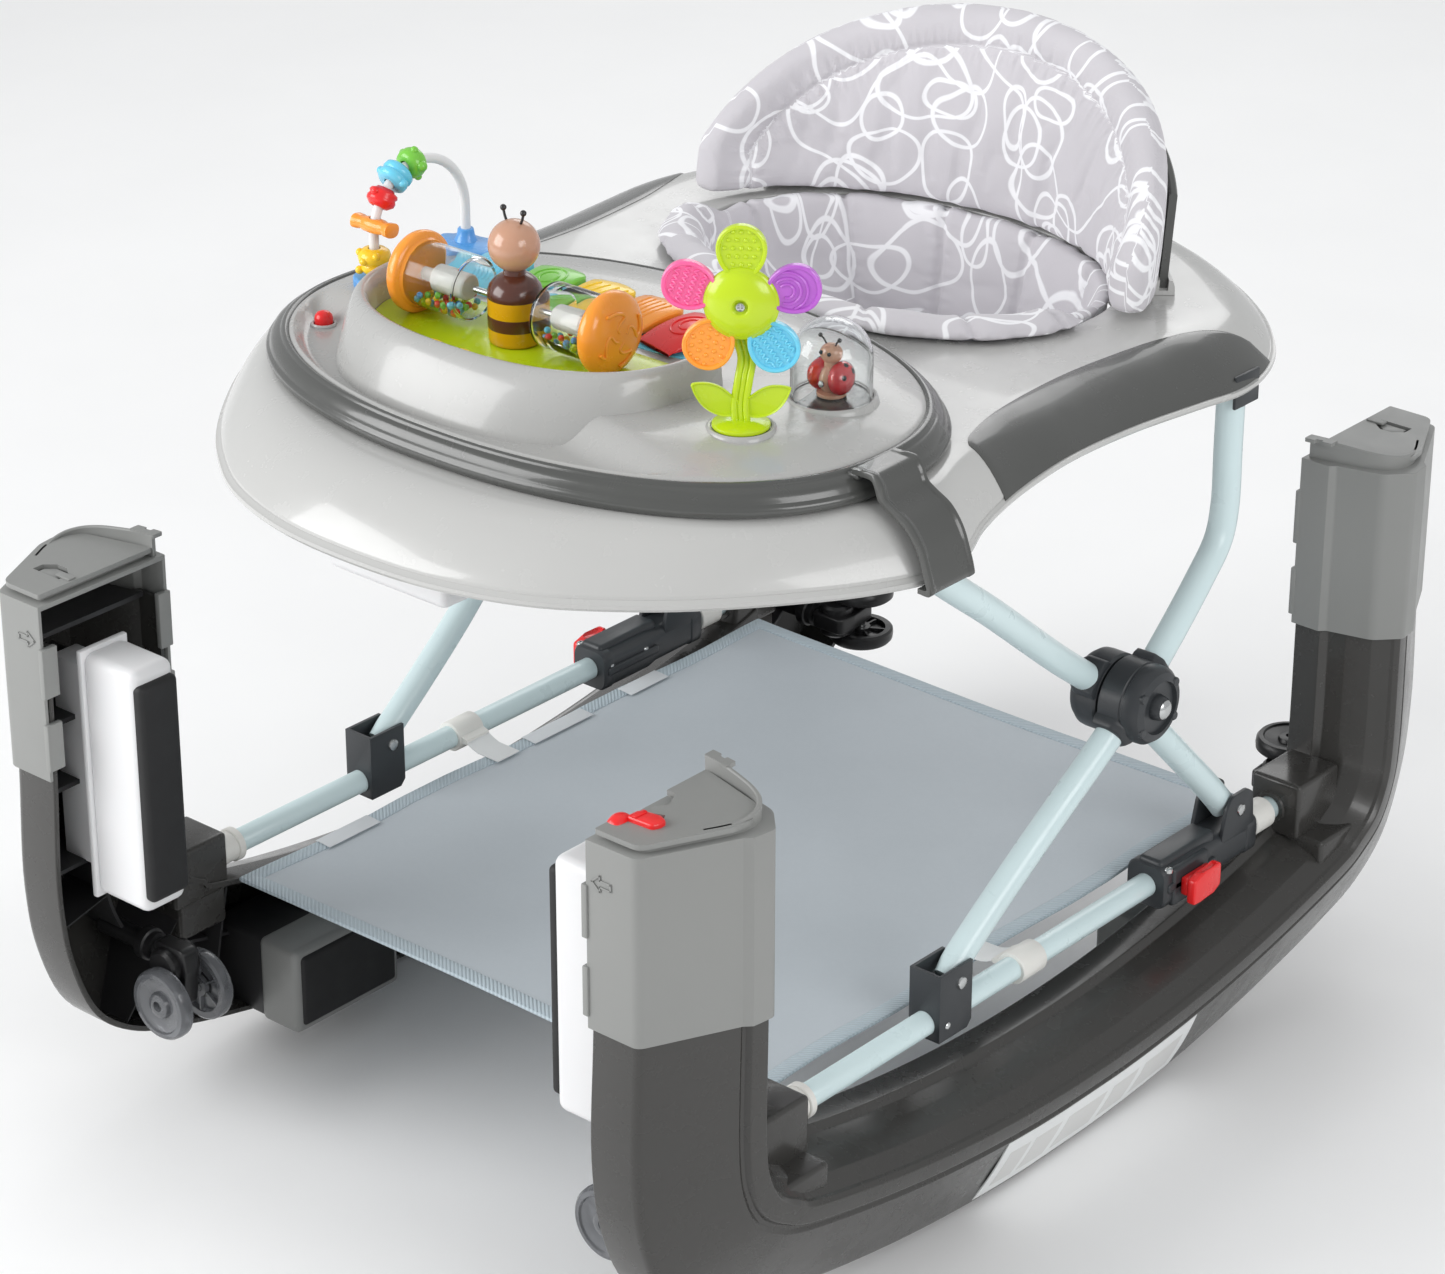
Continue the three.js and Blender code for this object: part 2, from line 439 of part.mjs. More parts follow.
for (const [s, sx] of [['left', -1], ['right', 1]]) {
  const prof = [[0, 0], [19.5, 0], [20.5, 3], [20.5, 42], [25, 43], [26, 47], [25, 54], [18, 57], [0, 58]];
  const g = turned(prof, 16);
  g.rotateY(sx * Math.PI / 2);
  g.translate(POD_X + sx * 31, DRUM_Y, DRUM_Z + 4);
  add('rattle_drum_' + s, outward(g), mat(C.orange, 0.3));
}
add('bee', turned([[0, 534], [15.5, 534], [17, 538], [17, 566], [13, 574], [7, 578], [9, 583], [14.5, 590], [16, 597], [14.5, 604],
  [9, 610.5], [0, 613]], 12).translate(POD_X + 2, DRUM_Y, 0), mat(C.bee, 0.35));

const turn = FLOWER.turn * Math.PI / 180, face = V(Math.sin(turn), -Math.cos(turn), 0);
const petals = [];
for (let i = 0; i < 40; i++) {
  const a = i / 40 * 2 * Math.PI, k = Math.max(0, Math.cos(2.5 * (a - Math.PI / 2)) ** 2);
  const r = 21 + 26 * k ** 0.45;
  petals.push([r * Math.cos(a), r * Math.sin(a)]);
}
const facing = g => {
  g = g.clone();
  g.rotateX(Math.PI / 2);
  g.rotateZ(turn);
  return g;
};
const headG = join(prism(petals, -2.5, 2.5), rod(22, V(0, 0, -4), V(0, 0, 7), 24));
add('flower_head', facing(headG).translate(FLOWER.x, FLOWER.y, FLOWER.z), mat(C.lime, 0.35));
const away = 9;
const bx = FLOWER.x - face.x * away, by = FLOWER.y - face.y * away;
const stemG = join(rod(17, V(FLOWER.x, FLOWER.y, TRAY.z + GAP), V(FLOWER.x, FLOWER.y, TRAY.z + 4), 20),
  bent(3.6, [V(FLOWER.x, FLOWER.y, TRAY.z + 2), V(FLOWER.x - face.x * 2, FLOWER.y - face.y * 2, 550), V(bx, by, 572), V(bx, by, FLOWER.z + 5)], 10, 8),
  facing(box(-26, 26, -6, 6, -2, 2)).translate(FLOWER.x - face.x * 1, FLOWER.y - face.y * 1, 549));
add('flower_stem', stemG, mat(C.lime, 0.35));
add('ladybird', turned([[0, TRAY.z + 0.6], [12, TRAY.z + 0.6], [12, TRAY.z + 3], [15, TRAY.z + 6], [15.5, TRAY.z + 12], [11, TRAY.z + 19],
  [9, TRAY.z + 24], [10, TRAY.z + 30], [6, TRAY.z + 36], [0, TRAY.z + 37.5]], 12).translate(LADY.x, LADY.y, 0), mat(C.red, 0.3));
add('ladybird_dome', (() => {
  const prof = [], R = 24.5, z0 = TRAY.z + GAP, zc = TRAY.z + 24.5;
  prof.push([R - 1.8, z0], [R, z0]);
  for (let i = 0; i <= 6; i++) { const a = i / 6 * Math.PI / 2; prof.push([R * Math.cos(a), zc + R * Math.sin(a)]); }
  for (let i = 6; i >= 0; i--) { const a = i / 6 * Math.PI / 2; prof.push([(R - 1.8) * Math.cos(a), zc + (R - 1.8) * Math.sin(a)]); }
  prof.push([R - 1.8, z0]);
  prof[8][0] = 0; prof[9][0] = 0;
  return turned(prof, 16).translate(LADY.x, LADY.y, 0);
})(), mat(C.clear, 0.1));
const KEYS = [['light_blue', C.sky], ['green', C.green], ['yellow', C.yellow], ['orange', C.orange], ['red', C.red]];
KEYS.forEach(([n, c], i) => {
  const a = (i - 2) * -7 * Math.PI / 180;
  const plan = [[-17, -24], [17, -24], [18, 22], [10, 26], [-10, 26], [-18, 22]]
    .map(([x, y]) => [x * Math.cos(a) - y * Math.sin(a), x * Math.sin(a) + y * Math.cos(a)]);
  const g = prism(plan, TRAY.z + 3.4, TRAY.z + 12);
  g.translate(POD_X + (i - 2) * 39.5, -100 - Math.abs(i - 2) ** 2 * 1.2, 0);
  add('key_' + n, g, mat(c, 0.35));
});
add('red_button', rod(5.5, V(-180, -196, 510.2), V(-180, -196, 522), 16), mat(C.red, 0.3));

export default walker;
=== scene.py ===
import math

import bmesh
import bpy
import numpy as np
from mathutils import Matrix, Vector
from mathutils.bvhtree import BVHTree


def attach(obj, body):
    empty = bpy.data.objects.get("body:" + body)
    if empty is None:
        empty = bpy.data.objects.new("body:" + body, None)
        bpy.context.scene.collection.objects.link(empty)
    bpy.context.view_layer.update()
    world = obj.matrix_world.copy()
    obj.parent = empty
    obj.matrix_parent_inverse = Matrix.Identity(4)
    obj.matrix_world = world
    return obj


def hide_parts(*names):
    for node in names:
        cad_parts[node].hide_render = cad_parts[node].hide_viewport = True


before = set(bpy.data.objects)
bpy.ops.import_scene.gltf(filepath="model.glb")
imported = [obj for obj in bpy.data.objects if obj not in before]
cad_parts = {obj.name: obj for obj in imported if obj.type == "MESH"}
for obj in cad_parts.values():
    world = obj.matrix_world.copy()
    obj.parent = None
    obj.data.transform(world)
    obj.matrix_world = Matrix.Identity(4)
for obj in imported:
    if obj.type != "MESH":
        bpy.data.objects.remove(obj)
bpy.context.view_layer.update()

MM = 0.001
SCENE = bpy.context.scene
ROOT = SCENE.collection

# ------------------------------------------------------------------ sizes, in millimetres
TUBE_X, TUBE_Z, TUBE_R, TUBE_END = 245.0, 143.0, 8.0, 294.0
OPEN_X, RUN_R = 227.0, 1130.0
CAP_OUT, CAP_Z0, CAP_Z1 = 402.0, 260.0, 380.0
LEG_R = 9.25
PIV_A, PIV_B, HUB = (-103.0, 163.0), (200.0, 165.0), (73.0, 297.0)
CASTOR_Y, CASTOR_Z, CASTOR_X, TRAIL = 333.0, 117.0, 193.0, 26.0
WHEEL_R, WHEEL_W, WHEEL_GAP = 24.5, 10.5, 25.0
DECK_Z = 504.0
TRAY_Y, TRAY_A, TRAY_B, TRAY_Z = -138.0, 235.0, 155.0, 533.0
SEAT_Y, SEAT_A, SEAT_B = 148.0, 155.0, 112.0
ARCH_X, ARCH_Y, ARCH_Z, ARCH_R, ARCH_T = -178.0, -111.0, 561.0, 41.0, 3.2
POD_X, DRUM_Y, DRUM_Z = -40.0, -172.0, 560.0
FLOWER = (148.0, -180.0, 609.0)
FTURN = math.radians(35)
LADY = (158.0, -110.0)


# ------------------------------------------------------------------ mesh helpers
def V(x, y, z):
    return Vector((x, y, z))


def bake(obj):
    """Applies the modifiers."""
    dg = bpy.context.evaluated_depsgraph_get()
    me = bpy.data.meshes.new_from_object(obj.evaluated_get(dg))
    obj.modifiers.clear()
    obj.data = me
    return obj


def make(name, verts, faces, mat, body=None, slot=None, node=(), angle=32, bevel=0.0, seg=2, sub=0, recalc=True, bevel_angle=30):
    """A mesh object from points in millimetres."""
    me = bpy.data.meshes.new(name)
    me.from_pydata([(p[0] * MM, p[1] * MM, p[2] * MM) for p in verts], [], faces)
    if recalc:
        bm = bmesh.new()
        bm.from_mesh(me)
        bmesh.ops.recalc_face_normals(bm, faces=bm.faces)
        bm.to_mesh(me)
        bm.free()
    obj = bpy.data.objects.new(name, me)
    ROOT.objects.link(obj)
    if bevel:
        m = obj.modifiers.new("Bevel", "BEVEL")
        m.width, m.segments, m.limit_method, m.angle_limit = bevel * MM, seg, "ANGLE", math.radians(bevel_angle)
        m.use_clamp_overlap = True
    if sub:
        m = obj.modifiers.new("Subsurf", "SUBSURF")
        m.levels = m.render_levels = sub
    if bevel or sub:
        bake(obj)
    finishing(obj, mat, angle)
    if body:
        place(obj, body, node)
    return obj


def finishing(obj, mat, angle=32):
    me = obj.data
    me.materials.clear()
    if mat is not None:
        me.materials.append(mat)
    me.shade_smooth()
    if angle < 180:
        me.set_sharp_from_angle(angle=math.radians(angle))


def place(obj, body, node=()):
    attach(obj, body)
    node = [node] if isinstance(node, str) else list(node)
    if node:
        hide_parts(*node)
    return obj


def loft(rings, loop=False, caps=True, closed=True):
    """Points and faces of a skin through equal rings."""
    n, m = len(rings[0]), len(rings)
    verts = [p for r in rings for p in r]
    faces = []
    for i in range(m if loop else m - 1):
        a, b = (i % m) * n, ((i + 1) % m) * n
        for j in range(n if closed else n - 1):
            k = (j + 1) % n
            faces.append((a + j, b + j, b + k, a + k))
    if caps and not loop and closed:
        faces.append(tuple(range(n)))
        faces.append(tuple(range((m - 1) * n, m * n))[::-1])
    return verts, faces


def catmull(pts, per, loop=False):
    """Smooth points through pts; per new points in each gap."""
    P = [np.array(p, float) for p in pts]
    n = len(P)
    out = []
    for i in range(n if loop else n - 1):
        if loop:
            a, b, c, d = P[(i - 1) % n], P[i], P[(i + 1) % n], P[(i + 2) % n]
        else:
            b, c = P[i], P[i + 1]
            a = P[i - 1] if i else 2 * b - c
            d = P[i + 2] if i + 2 < n else 2 * c - b
        t0 = 0.0
        t1 = t0 + max(np.linalg.norm(b - a), 1e-6) ** 0.5
        t2 = t1 + max(np.linalg.norm(c - b), 1e-6) ** 0.5
        t3 = t2 + max(np.linalg.norm(d - c), 1e-6) ** 0.5
        for k in range(per):
            t = t1 + (t2 - t1) * k / per
            a1 = (t1 - t) / (t1 - t0) * a + (t - t0) / (t1 - t0) * b
            a2 = (t2 - t) / (t2 - t1) * b + (t - t1) / (t2 - t1) * c
            a3 = (t3 - t) / (t3 - t2) * c + (t - t2) / (t3 - t2) * d
            b1 = (t2 - t) / (t2 - t0) * a1 + (t - t0) / (t2 - t0) * a2
            b2 = (t3 - t) / (t3 - t1) * a2 + (t - t1) / (t3 - t1) * a3
            out.append((t2 - t) / (t2 - t1) * b1 + (t - t1) / (t2 - t1) * b2)
    if not loop:
        out.append(P[-1])
    return out


def frames(path):
    """Tangent and two normals carried along a path."""
    P = [Vector(p) for p in path]
    T = []
    for i in range(len(P)):
        a, b = P[max(i - 1, 0)], P[min(i + 1, len(P) - 1)]
        T.append((b - a).normalized())
    u = T[0].orthogonal().normalized()
    N = []
    for t in T:
        u = (u - t * u.dot(t)).normalized()
        N.append((u.copy(), t.cross(u).normalized()))
    return P, T, N


def tube_mesh(path, r, n=24, shape=None):
    """A round tube; shape(i, share) may give other half widths (a, b)."""
    P, T, N = frames(path)
    rings = []
    for i, p in enumerate(P):
        a, b = shape(i / (len(P) - 1)) if shape else (r, r)
        u, v = N[i]
        rings.append([p + u * (a * math.cos(2 * math.pi * j / n)) + v * (b * math.sin(2 * math.pi * j / n)) for j in range(n)])
    return loft(rings)


def lathe(profile, n=48, axis="z", at=(0, 0, 0), a0=0.0):
    """Profile of (radius, height) turned about an axis through at; ends on the axis are closed."""
    rings = []
    for r, h in profile:
        ring = []
        for j in range(n):
            t = 2 * math.pi * j / n + a0
            c, s = max(r, 1e-4) * math.cos(t), max(r, 1e-4) * math.sin(t)
            q = {"z": (c, s, h), "x": (h, c, s), "y": (s, h, c)}[axis]
            ring.append(V(at[0] + q[0], at[1] + q[1], at[2] + q[2]))
        rings.append(ring)
    closed = profile[0] == profile[-1]
    if closed:
        return loft(rings[:-1], loop=True)
    return loft(rings)


def merge(*parts):
    """Several (verts, faces) as one."""
    verts, faces = [], []
    for v, f in parts:
        o = len(verts)
        verts += list(v)
        faces += [tuple(i + o for i in q) for q in f]
    return verts, faces


def boxm(x0, x1, y0, y1, z0, z1):
    v = [V(x, y, z) for x in (x0, x1) for y in (y0, y1) for z in (z0, z1)]
    f = [(0, 1, 3, 2), (4, 6, 7, 5), (0, 4, 5, 1), (2, 3, 7, 6), (0, 2, 6, 4), (1, 5, 7, 3)]
    return v, f


def prism(poly, a0, a1, put):
    """Polygon pushed from a0 to a1; put(u, v, a) gives the point."""
    n = len(poly)
    v = [put(p[0], p[1], a0) for p in poly] + [put(p[0], p[1], a1) for p in poly]
    f = [tuple(range(n)), tuple(range(n, 2 * n))[::-1]]
    f += [(i, i + n, (i + 1) % n + n, (i + 1) % n) for i in range(n)]
    return v, f


def xy(u, v, a):
    return V(u, v, a)


def yz(u, v, a):
    return V(a, u, v)


def xz(u, v, a):
    return V(u, a, v)


def moved(part, fn):
    return [fn(Vector(p)) for p in part[0]], part[1]


def round_poly(poly, r, n=5):
    """Polygon with rounded corners; r is a radius or one for each corner."""
    out, m = [], len(poly)
    for i in range(m):
        a, b, c = Vector(poly[i - 1]), Vector(poly[i]), Vector(poly[(i + 1) % m])
        rr = r[i] if isinstance(r, (list, tuple)) else r
        d1, d2 = (a - b), (c - b)
        if rr <= 0 or d1.length < 1e-6 or d2.length < 1e-6:
            out.append(tuple(b))
            continue
        e1, e2 = d1.normalized(), d2.normalized()
        ang = e1.angle(e2)
        if ang > math.pi - 0.02:
            out.append(tuple(b))
            continue
        t = min(rr / math.tan(ang / 2), d1.length * 0.49, d2.length * 0.49)
        p, q = b + e1 * t, b + e2 * t
        for k in range(n + 1):
            s = k / n
            out.append(tuple(p * (1 - s) ** 2 + b * 2 * s * (1 - s) + q * s * s))
    return out


def boolean(obj, cutter, op="DIFFERENCE"):
    m = obj.modifiers.new("Boolean", "BOOLEAN")
    m.operation, m.object, m.solver = op, cutter, "EXACT"
    bake(obj)
    bpy.data.objects.remove(cutter)
    return obj


def tool(part):
    """A cutter object from (verts, faces)."""
    return make("tool", part[0], part[1], None)


def mirrored(obj, name, body, node=(), x=True, y=False):
    """A copy on the other side of the middle plane."""
    me = obj.data.copy()
    sx, sy = (-1 if x else 1), (-1 if y else 1)
    me.transform(Matrix.Diagonal((sx, sy, 1, 1)))
    if sx * sy < 0:
        me.flip_normals()
    new = bpy.data.objects.new(name, me)
    ROOT.objects.link(new)
    if body:
        place(new, body, node)
    return new


def both(name, part, mat, bodies, slot, nodes=None, **k):
    """The same piece on the right and the left: bodies is a name with {} for the side, or one body."""
    rb, lb = bodies.format("right"), bodies.format("left")
    r = make(name + "_right", part[0], part[1], mat, rb, slot, [q.format("right") for q in (nodes or [])], **k)
    return r, mirrored(r, name + "_left", lb, [q.format("left") for q in (nodes or [])])


# ------------------------------------------------------------------ materials
def srgb(r, g, b):
    f = lambda c: (c / 255 / 12.92) if c / 255 <= 0.04045 else ((c / 255 + 0.055) / 1.055) ** 2.4
    return (f(r), f(g), f(b), 1.0)


def nodes_of(name):
    m = bpy.data.materials.new(name)
    m.use_nodes = True
    nt = m.node_tree
    nt.nodes.clear()
    out = nt.nodes.new("ShaderNodeOutputMaterial")
    b = nt.nodes.new("ShaderNodeBsdfPrincipled")
    nt.links.new(b.outputs[0], out.inputs[0])
    return m, nt, b


def N(nt, kind, **k):
    n = nt.nodes.new("ShaderNode" + kind)
    for a, v in k.items():
        setattr(n, a, v)
    return n


def math_node(nt, op, a, b=None, c=None, clamp=False):
    n = N(nt, "Math", operation=op, use_clamp=clamp)
    for i, x in enumerate((a, b, c)):
        if x is None:
            continue
        if isinstance(x, (int, float)):
            n.inputs[i].default_value = x
        else:
            nt.links.new(x, n.inputs[i])
    return n.outputs[0]


def mix_rgb(nt, fac, a, b):
    n = N(nt, "Mix", data_type="RGBA")
    for sock, x in ((n.inputs["Factor"], fac), (n.inputs["A"], a), (n.inputs["B"], b)):
        pass
    fs = [s for s in n.inputs if s.name == "Factor" and s.type == "VALUE"][0]
    cs = [s for s in n.inputs if s.type == "RGBA"]
    for s, x in ((fs, fac), (cs[0], a), (cs[1], b)):
        if isinstance(x, (int, float, tuple)):
            s.default_value = x
        else:
            nt.links.new(x, s)
    return [o for o in n.outputs if o.type == "RGBA"][0]


def noise_tex(nt, scale, detail=2.0, rough=0.5, vec=None):
    n = N(nt, "TexNoise")
    n.inputs["Scale"].default_value = scale
    n.inputs["Detail"].default_value = detail
    n.inputs["Roughness"].default_value = rough
    if vec is None:
        vec = coord(nt)
    nt.links.new(vec, n.inputs["Vector"])
    return n.outputs["Fac"]


def coord(nt):
    for n in nt.nodes:
        if n.bl_idname == "ShaderNodeTexCoord":
            return n.outputs["Object"]
    return N(nt, "TexCoord").outputs["Object"]


def remap(nt, x, a, b, c, d):
    n = N(nt, "MapRange")
    nt.links.new(x, n.inputs["Value"])
    for k, v in zip(("From Min", "From Max", "To Min", "To Max"), (a, b, c, d)):
        n.inputs[k].default_value = v
    return n.outputs[0]


def bump(nt, bsdf, height, strength, dist=0.001):
    n = N(nt, "Bump")
    n.inputs["Strength"].default_value = strength
    n.inputs["Distance"].default_value = dist
    nt.links.new(height, n.inputs["Height"])
    nt.links.new(n.outputs[0], bsdf.inputs["Normal"])
    return n


def plastic(name, rgb, rough=0.35, coat=0.0, grain=1400, grain_h=0.06, vary=0.05, edge=0.10, metal=0.0, flow=6.0, ior=1.47, subsurf=0.0):
    """Moulded plastic or paint: flow marks in the colour, a fine surface grain and rubbed edges."""
    m, nt, b = nodes_of(name)
    base = srgb(*rgb)
    dark = tuple(c * (1 - vary) for c in base[:3]) + (1,)
    light = tuple(min(1, c * (1 + vary)) for c in base[:3]) + (1,)
    big = noise_tex(nt, flow, 3.0, 0.55)
    col = mix_rgb(nt, remap(nt, big, 0.3, 0.7, 0.0, 1.0), dark, light)
    geo = N(nt, "NewGeometry")
    worn = remap(nt, geo.outputs["Pointiness"], 0.52, 0.60, 0.0, edge)
    edgec = tuple(min(1, c * 1.5 + 0.03) for c in base[:3]) + (1,)
    col = mix_rgb(nt, worn, col, edgec)
    nt.links.new(col, b.inputs["Base Color"])
    mid = noise_tex(nt, 45.0, 4.0, 0.6)
    nt.links.new(remap(nt, mid, 0.3, 0.7, max(0.02, rough - 0.05), rough + 0.06), b.inputs["Roughness"])
    fine = noise_tex(nt, grain, 1.0, 0.5)
    bump(nt, b, fine, grain_h, 0.0004)
    b.inputs["Metallic"].default_value = metal
    b.inputs["IOR"].default_value = ior
    b.inputs["Coat Weight"].default_value = coat
    b.inputs["Coat Roughness"].default_value = 0.06
    if subsurf:
        b.inputs["Subsurface Weight"].default_value = subsurf
        b.inputs["Subsurface Radius"].default_value = (0.004, 0.003, 0.003)
        b.inputs["Subsurface Scale"].default_value = 1.0
    return m


def clear_plastic(name, tint=(250, 252, 252), rough=0.03):
    m, nt, b = nodes_of(name)
    b.inputs["Base Color"].default_value = srgb(*tint)
    nt.links.new(remap(nt, noise_tex(nt, 60.0, 2.0), 0.35, 0.65, rough * 0.6, rough * 1.8), b.inputs["Roughness"])
    b.inputs["Transmission Weight"].default_value = 1.0
    b.inputs["IOR"].default_value = 1.33
    bump(nt, b, noise_tex(nt, 90.0, 2.0), 0.05, 0.0006)
    return m


MAT = {
    "tube": plastic("tube_powder_coat", (205, 223, 225), 0.30, coat=0.25, grain=2200, grain_h=0.05, vary=0.03, edge=0.0),
    "bracket": plastic("bracket_black", (49, 52, 55), 0.38, grain=1500, grain_h=0.10, vary=0.06, edge=0.03),
    "runner": plastic("runner_dark_grey", (56, 55, 53), 0.26, coat=0.15, grain=900, grain_h=0.02, vary=0.03, edge=0.0),
    "inside": plastic("runner_inside_black", (44, 44, 45), 0.42, grain=900, grain_h=0.10, vary=0.06, edge=0.0),
    "cap": plastic("cap_grey", (138, 139, 137), 0.40, grain=1300, grain_h=0.05, vary=0.02, edge=0.0),
    "white": plastic("pad_white", (226, 226, 227), 0.38, grain=1300, grain_h=0.05, vary=0.015, edge=0.0, subsurf=0.08),
    "rubber": plastic("pad_rubber", (30, 30, 31), 0.62, grain=1800, grain_h=0.25, vary=0.08, edge=0.0),
    "black": plastic("castor_black", (27, 27, 28), 0.34, grain=1500, grain_h=0.08, vary=0.06, edge=0.03),
    "tray": plastic("tray_light_grey", (174, 174, 172), 0.26, coat=0.30, grain=500, grain_h=0.02, vary=0.015, edge=0.0, flow=4.0),
    "ring": plastic("ring_light_grey", (188, 188, 186), 0.24, coat=0.42, grain=500, grain_h=0.02, vary=0.015, edge=0.0, flow=4.0),
    "trim": plastic("trim_dark_grey", (76, 77, 75), 0.24, coat=0.4, grain=700, grain_h=0.02, vary=0.03, edge=0.0),
    "red": plastic("red_plastic", (232, 34, 36), 0.28, coat=0.25, grain=1300, grain_h=0.05, vary=0.05, edge=0.0, subsurf=0.05),
    "orange": plastic("toy_orange", (255, 158, 52), 0.24, coat=0.3, grain=1300, grain_h=0.04, vary=0.05, edge=0.0, subsurf=0.10),
    "lime": plastic("toy_lime", (190, 216, 24), 0.24, coat=0.3, grain=1300, grain_h=0.04, vary=0.04, edge=0.0, subsurf=0.10),
    "yellow": plastic("toy_yellow", (255, 208, 36), 0.24, coat=0.3, grain=1300, grain_h=0.04, vary=0.04, edge=0.0, subsurf=0.10),
    "green": plastic("toy_green", (120, 198, 66), 0.24, coat=0.3, grain=1300, grain_h=0.04, vary=0.04, edge=0.0, subsurf=0.10),
    "blue": plastic("toy_blue", (88, 158, 222), 0.26, coat=0.3, grain=1300, grain_h=0.04, vary=0.04, edge=0.0, subsurf=0.10),
    "sky": plastic("toy_light_blue", (108, 204, 234), 0.24, coat=0.3, grain=1300, grain_h=0.04, vary=0.04, edge=0.0, subsurf=0.10),
    "pink": plastic("toy_pink", (246, 100, 160), 0.26, coat=0.3, grain=1300, grain_h=0.04, vary=0.04, edge=0.0, subsurf=0.10),
    "purple": plastic("toy_purple", (184, 96, 204), 0.24, coat=0.3, grain=1300, grain_h=0.04, vary=0.04, edge=0.0, subsurf=0.10),
    "skin": plastic("toy_tan", (196, 150, 124), 0.22, coat=0.4, grain=1300, grain_h=0.03, vary=0.05, edge=0.0, subsurf=0.08),
    "brown": plastic("toy_brown", (84, 44, 32), 0.22, coat=0.5, grain=1300, grain_h=0.03, vary=0.10, edge=0.0),
    "gold": plastic("toy_amber", (216, 160, 12), 0.24, coat=0.5, grain=1300, grain_h=0.03, vary=0.08, edge=0.0),
    "ladyred": plastic("toy_ladybird_red", (192, 32, 40), 0.18, coat=0.7, grain=1300, grain_h=0.02, vary=0.10, edge=0.0),
    "dot": plastic("toy_black", (24, 22, 24), 0.25, coat=0.4, grain=1300, grain_h=0.04, vary=0.10, edge=0.0),
    "steel": plastic("zinc_screw", (196, 198, 198), 0.24, metal=1.0, grain=900, grain_h=0.10, vary=0.08, edge=0.0),
    "pane": plastic("sticker_pane_grey", (208, 208, 207), 0.6, grain=900, grain_h=0.05, vary=0.05, edge=0.0),
    "webbing": plastic("webbing_white", (224, 226, 226), 0.75, grain=700, grain_h=0.30, vary=0.05, edge=0.0),
    "collar": plastic("collar_off_white", (222, 221, 216), 0.45, grain=1200, grain_h=0.08, vary=0.03, edge=0.0, subsurf=0.05),
    "clear": clear_plastic("clear_shell"),
}


def smoke():
    """Smoky, partly clear wheel plastic."""
    m, nt, b = nodes_of("wheel_smoke")
    col = mix_rgb(nt, remap(nt, noise_tex(nt, 20.0, 3.0), 0.3, 0.7, 0.0, 1.0), srgb(118, 120, 124), srgb(146, 148, 152))
    nt.links.new(col, b.inputs["Base Color"])
    b.inputs["Transmission Weight"].default_value = 0.55
    b.inputs["IOR"].default_value = 1.45
    nt.links.new(remap(nt, noise_tex(nt, 80.0, 2.0), 0.3, 0.7, 0.10, 0.20), b.inputs["Roughness"])
    bump(nt, b, noise_tex(nt, 1200.0, 1.0), 0.06, 0.0004)
    return m


MAT["smoke"] = smoke()


# ------------------------------------------------------------------ camera, light and floor
def make_camera():
    cam = bpy.data.cameras.new("camera")
    cam.sensor_fit, cam.sensor_width = "HORIZONTAL", 36.0
    cam.lens = CAM_LENS
    cam.clip_start, cam.clip_end = 0.05, 50.0
    o = bpy.data.objects.new("camera", cam)
    ROOT.objects.link(o)
    a, e, ro = math.radians(CAM_AZ), math.radians(CAM_EL), math.radians(CAM_ROLL)
    back = V(math.sin(a) * math.cos(e), -math.cos(a) * math.cos(e), math.sin(e))
    right = V(math.cos(a), math.sin(a), 0)
    up = (-back).cross(right) * -1
    up = right.cross(-back)
    r2 = right * math.cos(ro) + up * math.sin(ro)
    u2 = -right * math.sin(ro) + up * math.cos(ro)
    m = Matrix((r2, u2, back)).transposed().to_4x4()
    m.translation = V(*CAM_POS)
    o.matrix_world = m
    SCENE.camera = o
    return o


CAM_POS = (1.632999, -1.918418, 1.495429)
CAM_AZ, CAM_EL, CAM_ROLL, CAM_LENS = 40.7711, 25.6486, 0.0516, 106.757
make_camera()


def area(name, at, look, size, energy, size_y=None, color=(1, 1, 1)):
    l = bpy.data.lights.new(name, "AREA")
    l.energy, l.color = energy, color
    l.shape = "RECTANGLE"
    l.size, l.size_y = size, size_y or size
    o = bpy.data.objects.new(name, l)
    ROOT.objects.link(o)
    o.location = at
    d = Vector(look) - Vector(at)
    o.rotation_mode = "QUATERNION"
    o.rotation_quaternion = d.to_track_quat("-Z", "Y")
    return o


area("key_light", (-1.75, -2.4, 1.55), (0, 0, 0.35), 2.3, 64, 1.9)
area("fill_light", (2.6, -0.5, 1.5), (0, 0, 0.3), 1.5, 22, 1.2)
area("top_light", (0.1, 0.3, 2.7), (0, 0, 0.3), 2.2, 2, 2.2)
area("back_light", (-1.2, 2.2, 1.8), (0, 0, 0.4), 1.6, 9, 1.0)

world = bpy.data.worlds.new("world")
SCENE.world = world
world.use_nodes = True
world.node_tree.nodes["Background"].inputs[0].default_value = (0.96, 0.97, 0.98, 1)
world.node_tree.nodes["Background"].inputs[1].default_value = 0.52
SCENE.view_settings.view_transform = "Standard"
SCENE.view_settings.exposure = 0.24

fv, ff = [V(-6000, -6000, -0.2), V(6000, -6000, -0.2), V(6000, 6000, -0.2), V(-6000, 6000, -0.2)], [(0, 1, 2, 3)]
floor = make("floor", fv, ff, plastic("floor_pale", (250, 250, 250), 0.6, grain=300, grain_h=0.02, vary=0.01, edge=0.0), recalc=False)


# ------------------------------------------------------------------ rocker rails
HALF = [((397, 352), (301, 352)), ((399, 258), (301, 258)), ((402, 172), (301, 178)), ((396, 126), (299, 161)),
        ((377, 80), (290, 147)), ((344, 54), (277, 139))]


def runner_pair(y):
    z = max(0.0, (y * y - 900) / (2 * RUN_R))
    o = np.array((y, z))
    d = np.array((0.0, RUN_R)) - o
    return o, o + d / np.linalg.norm(d) * 99


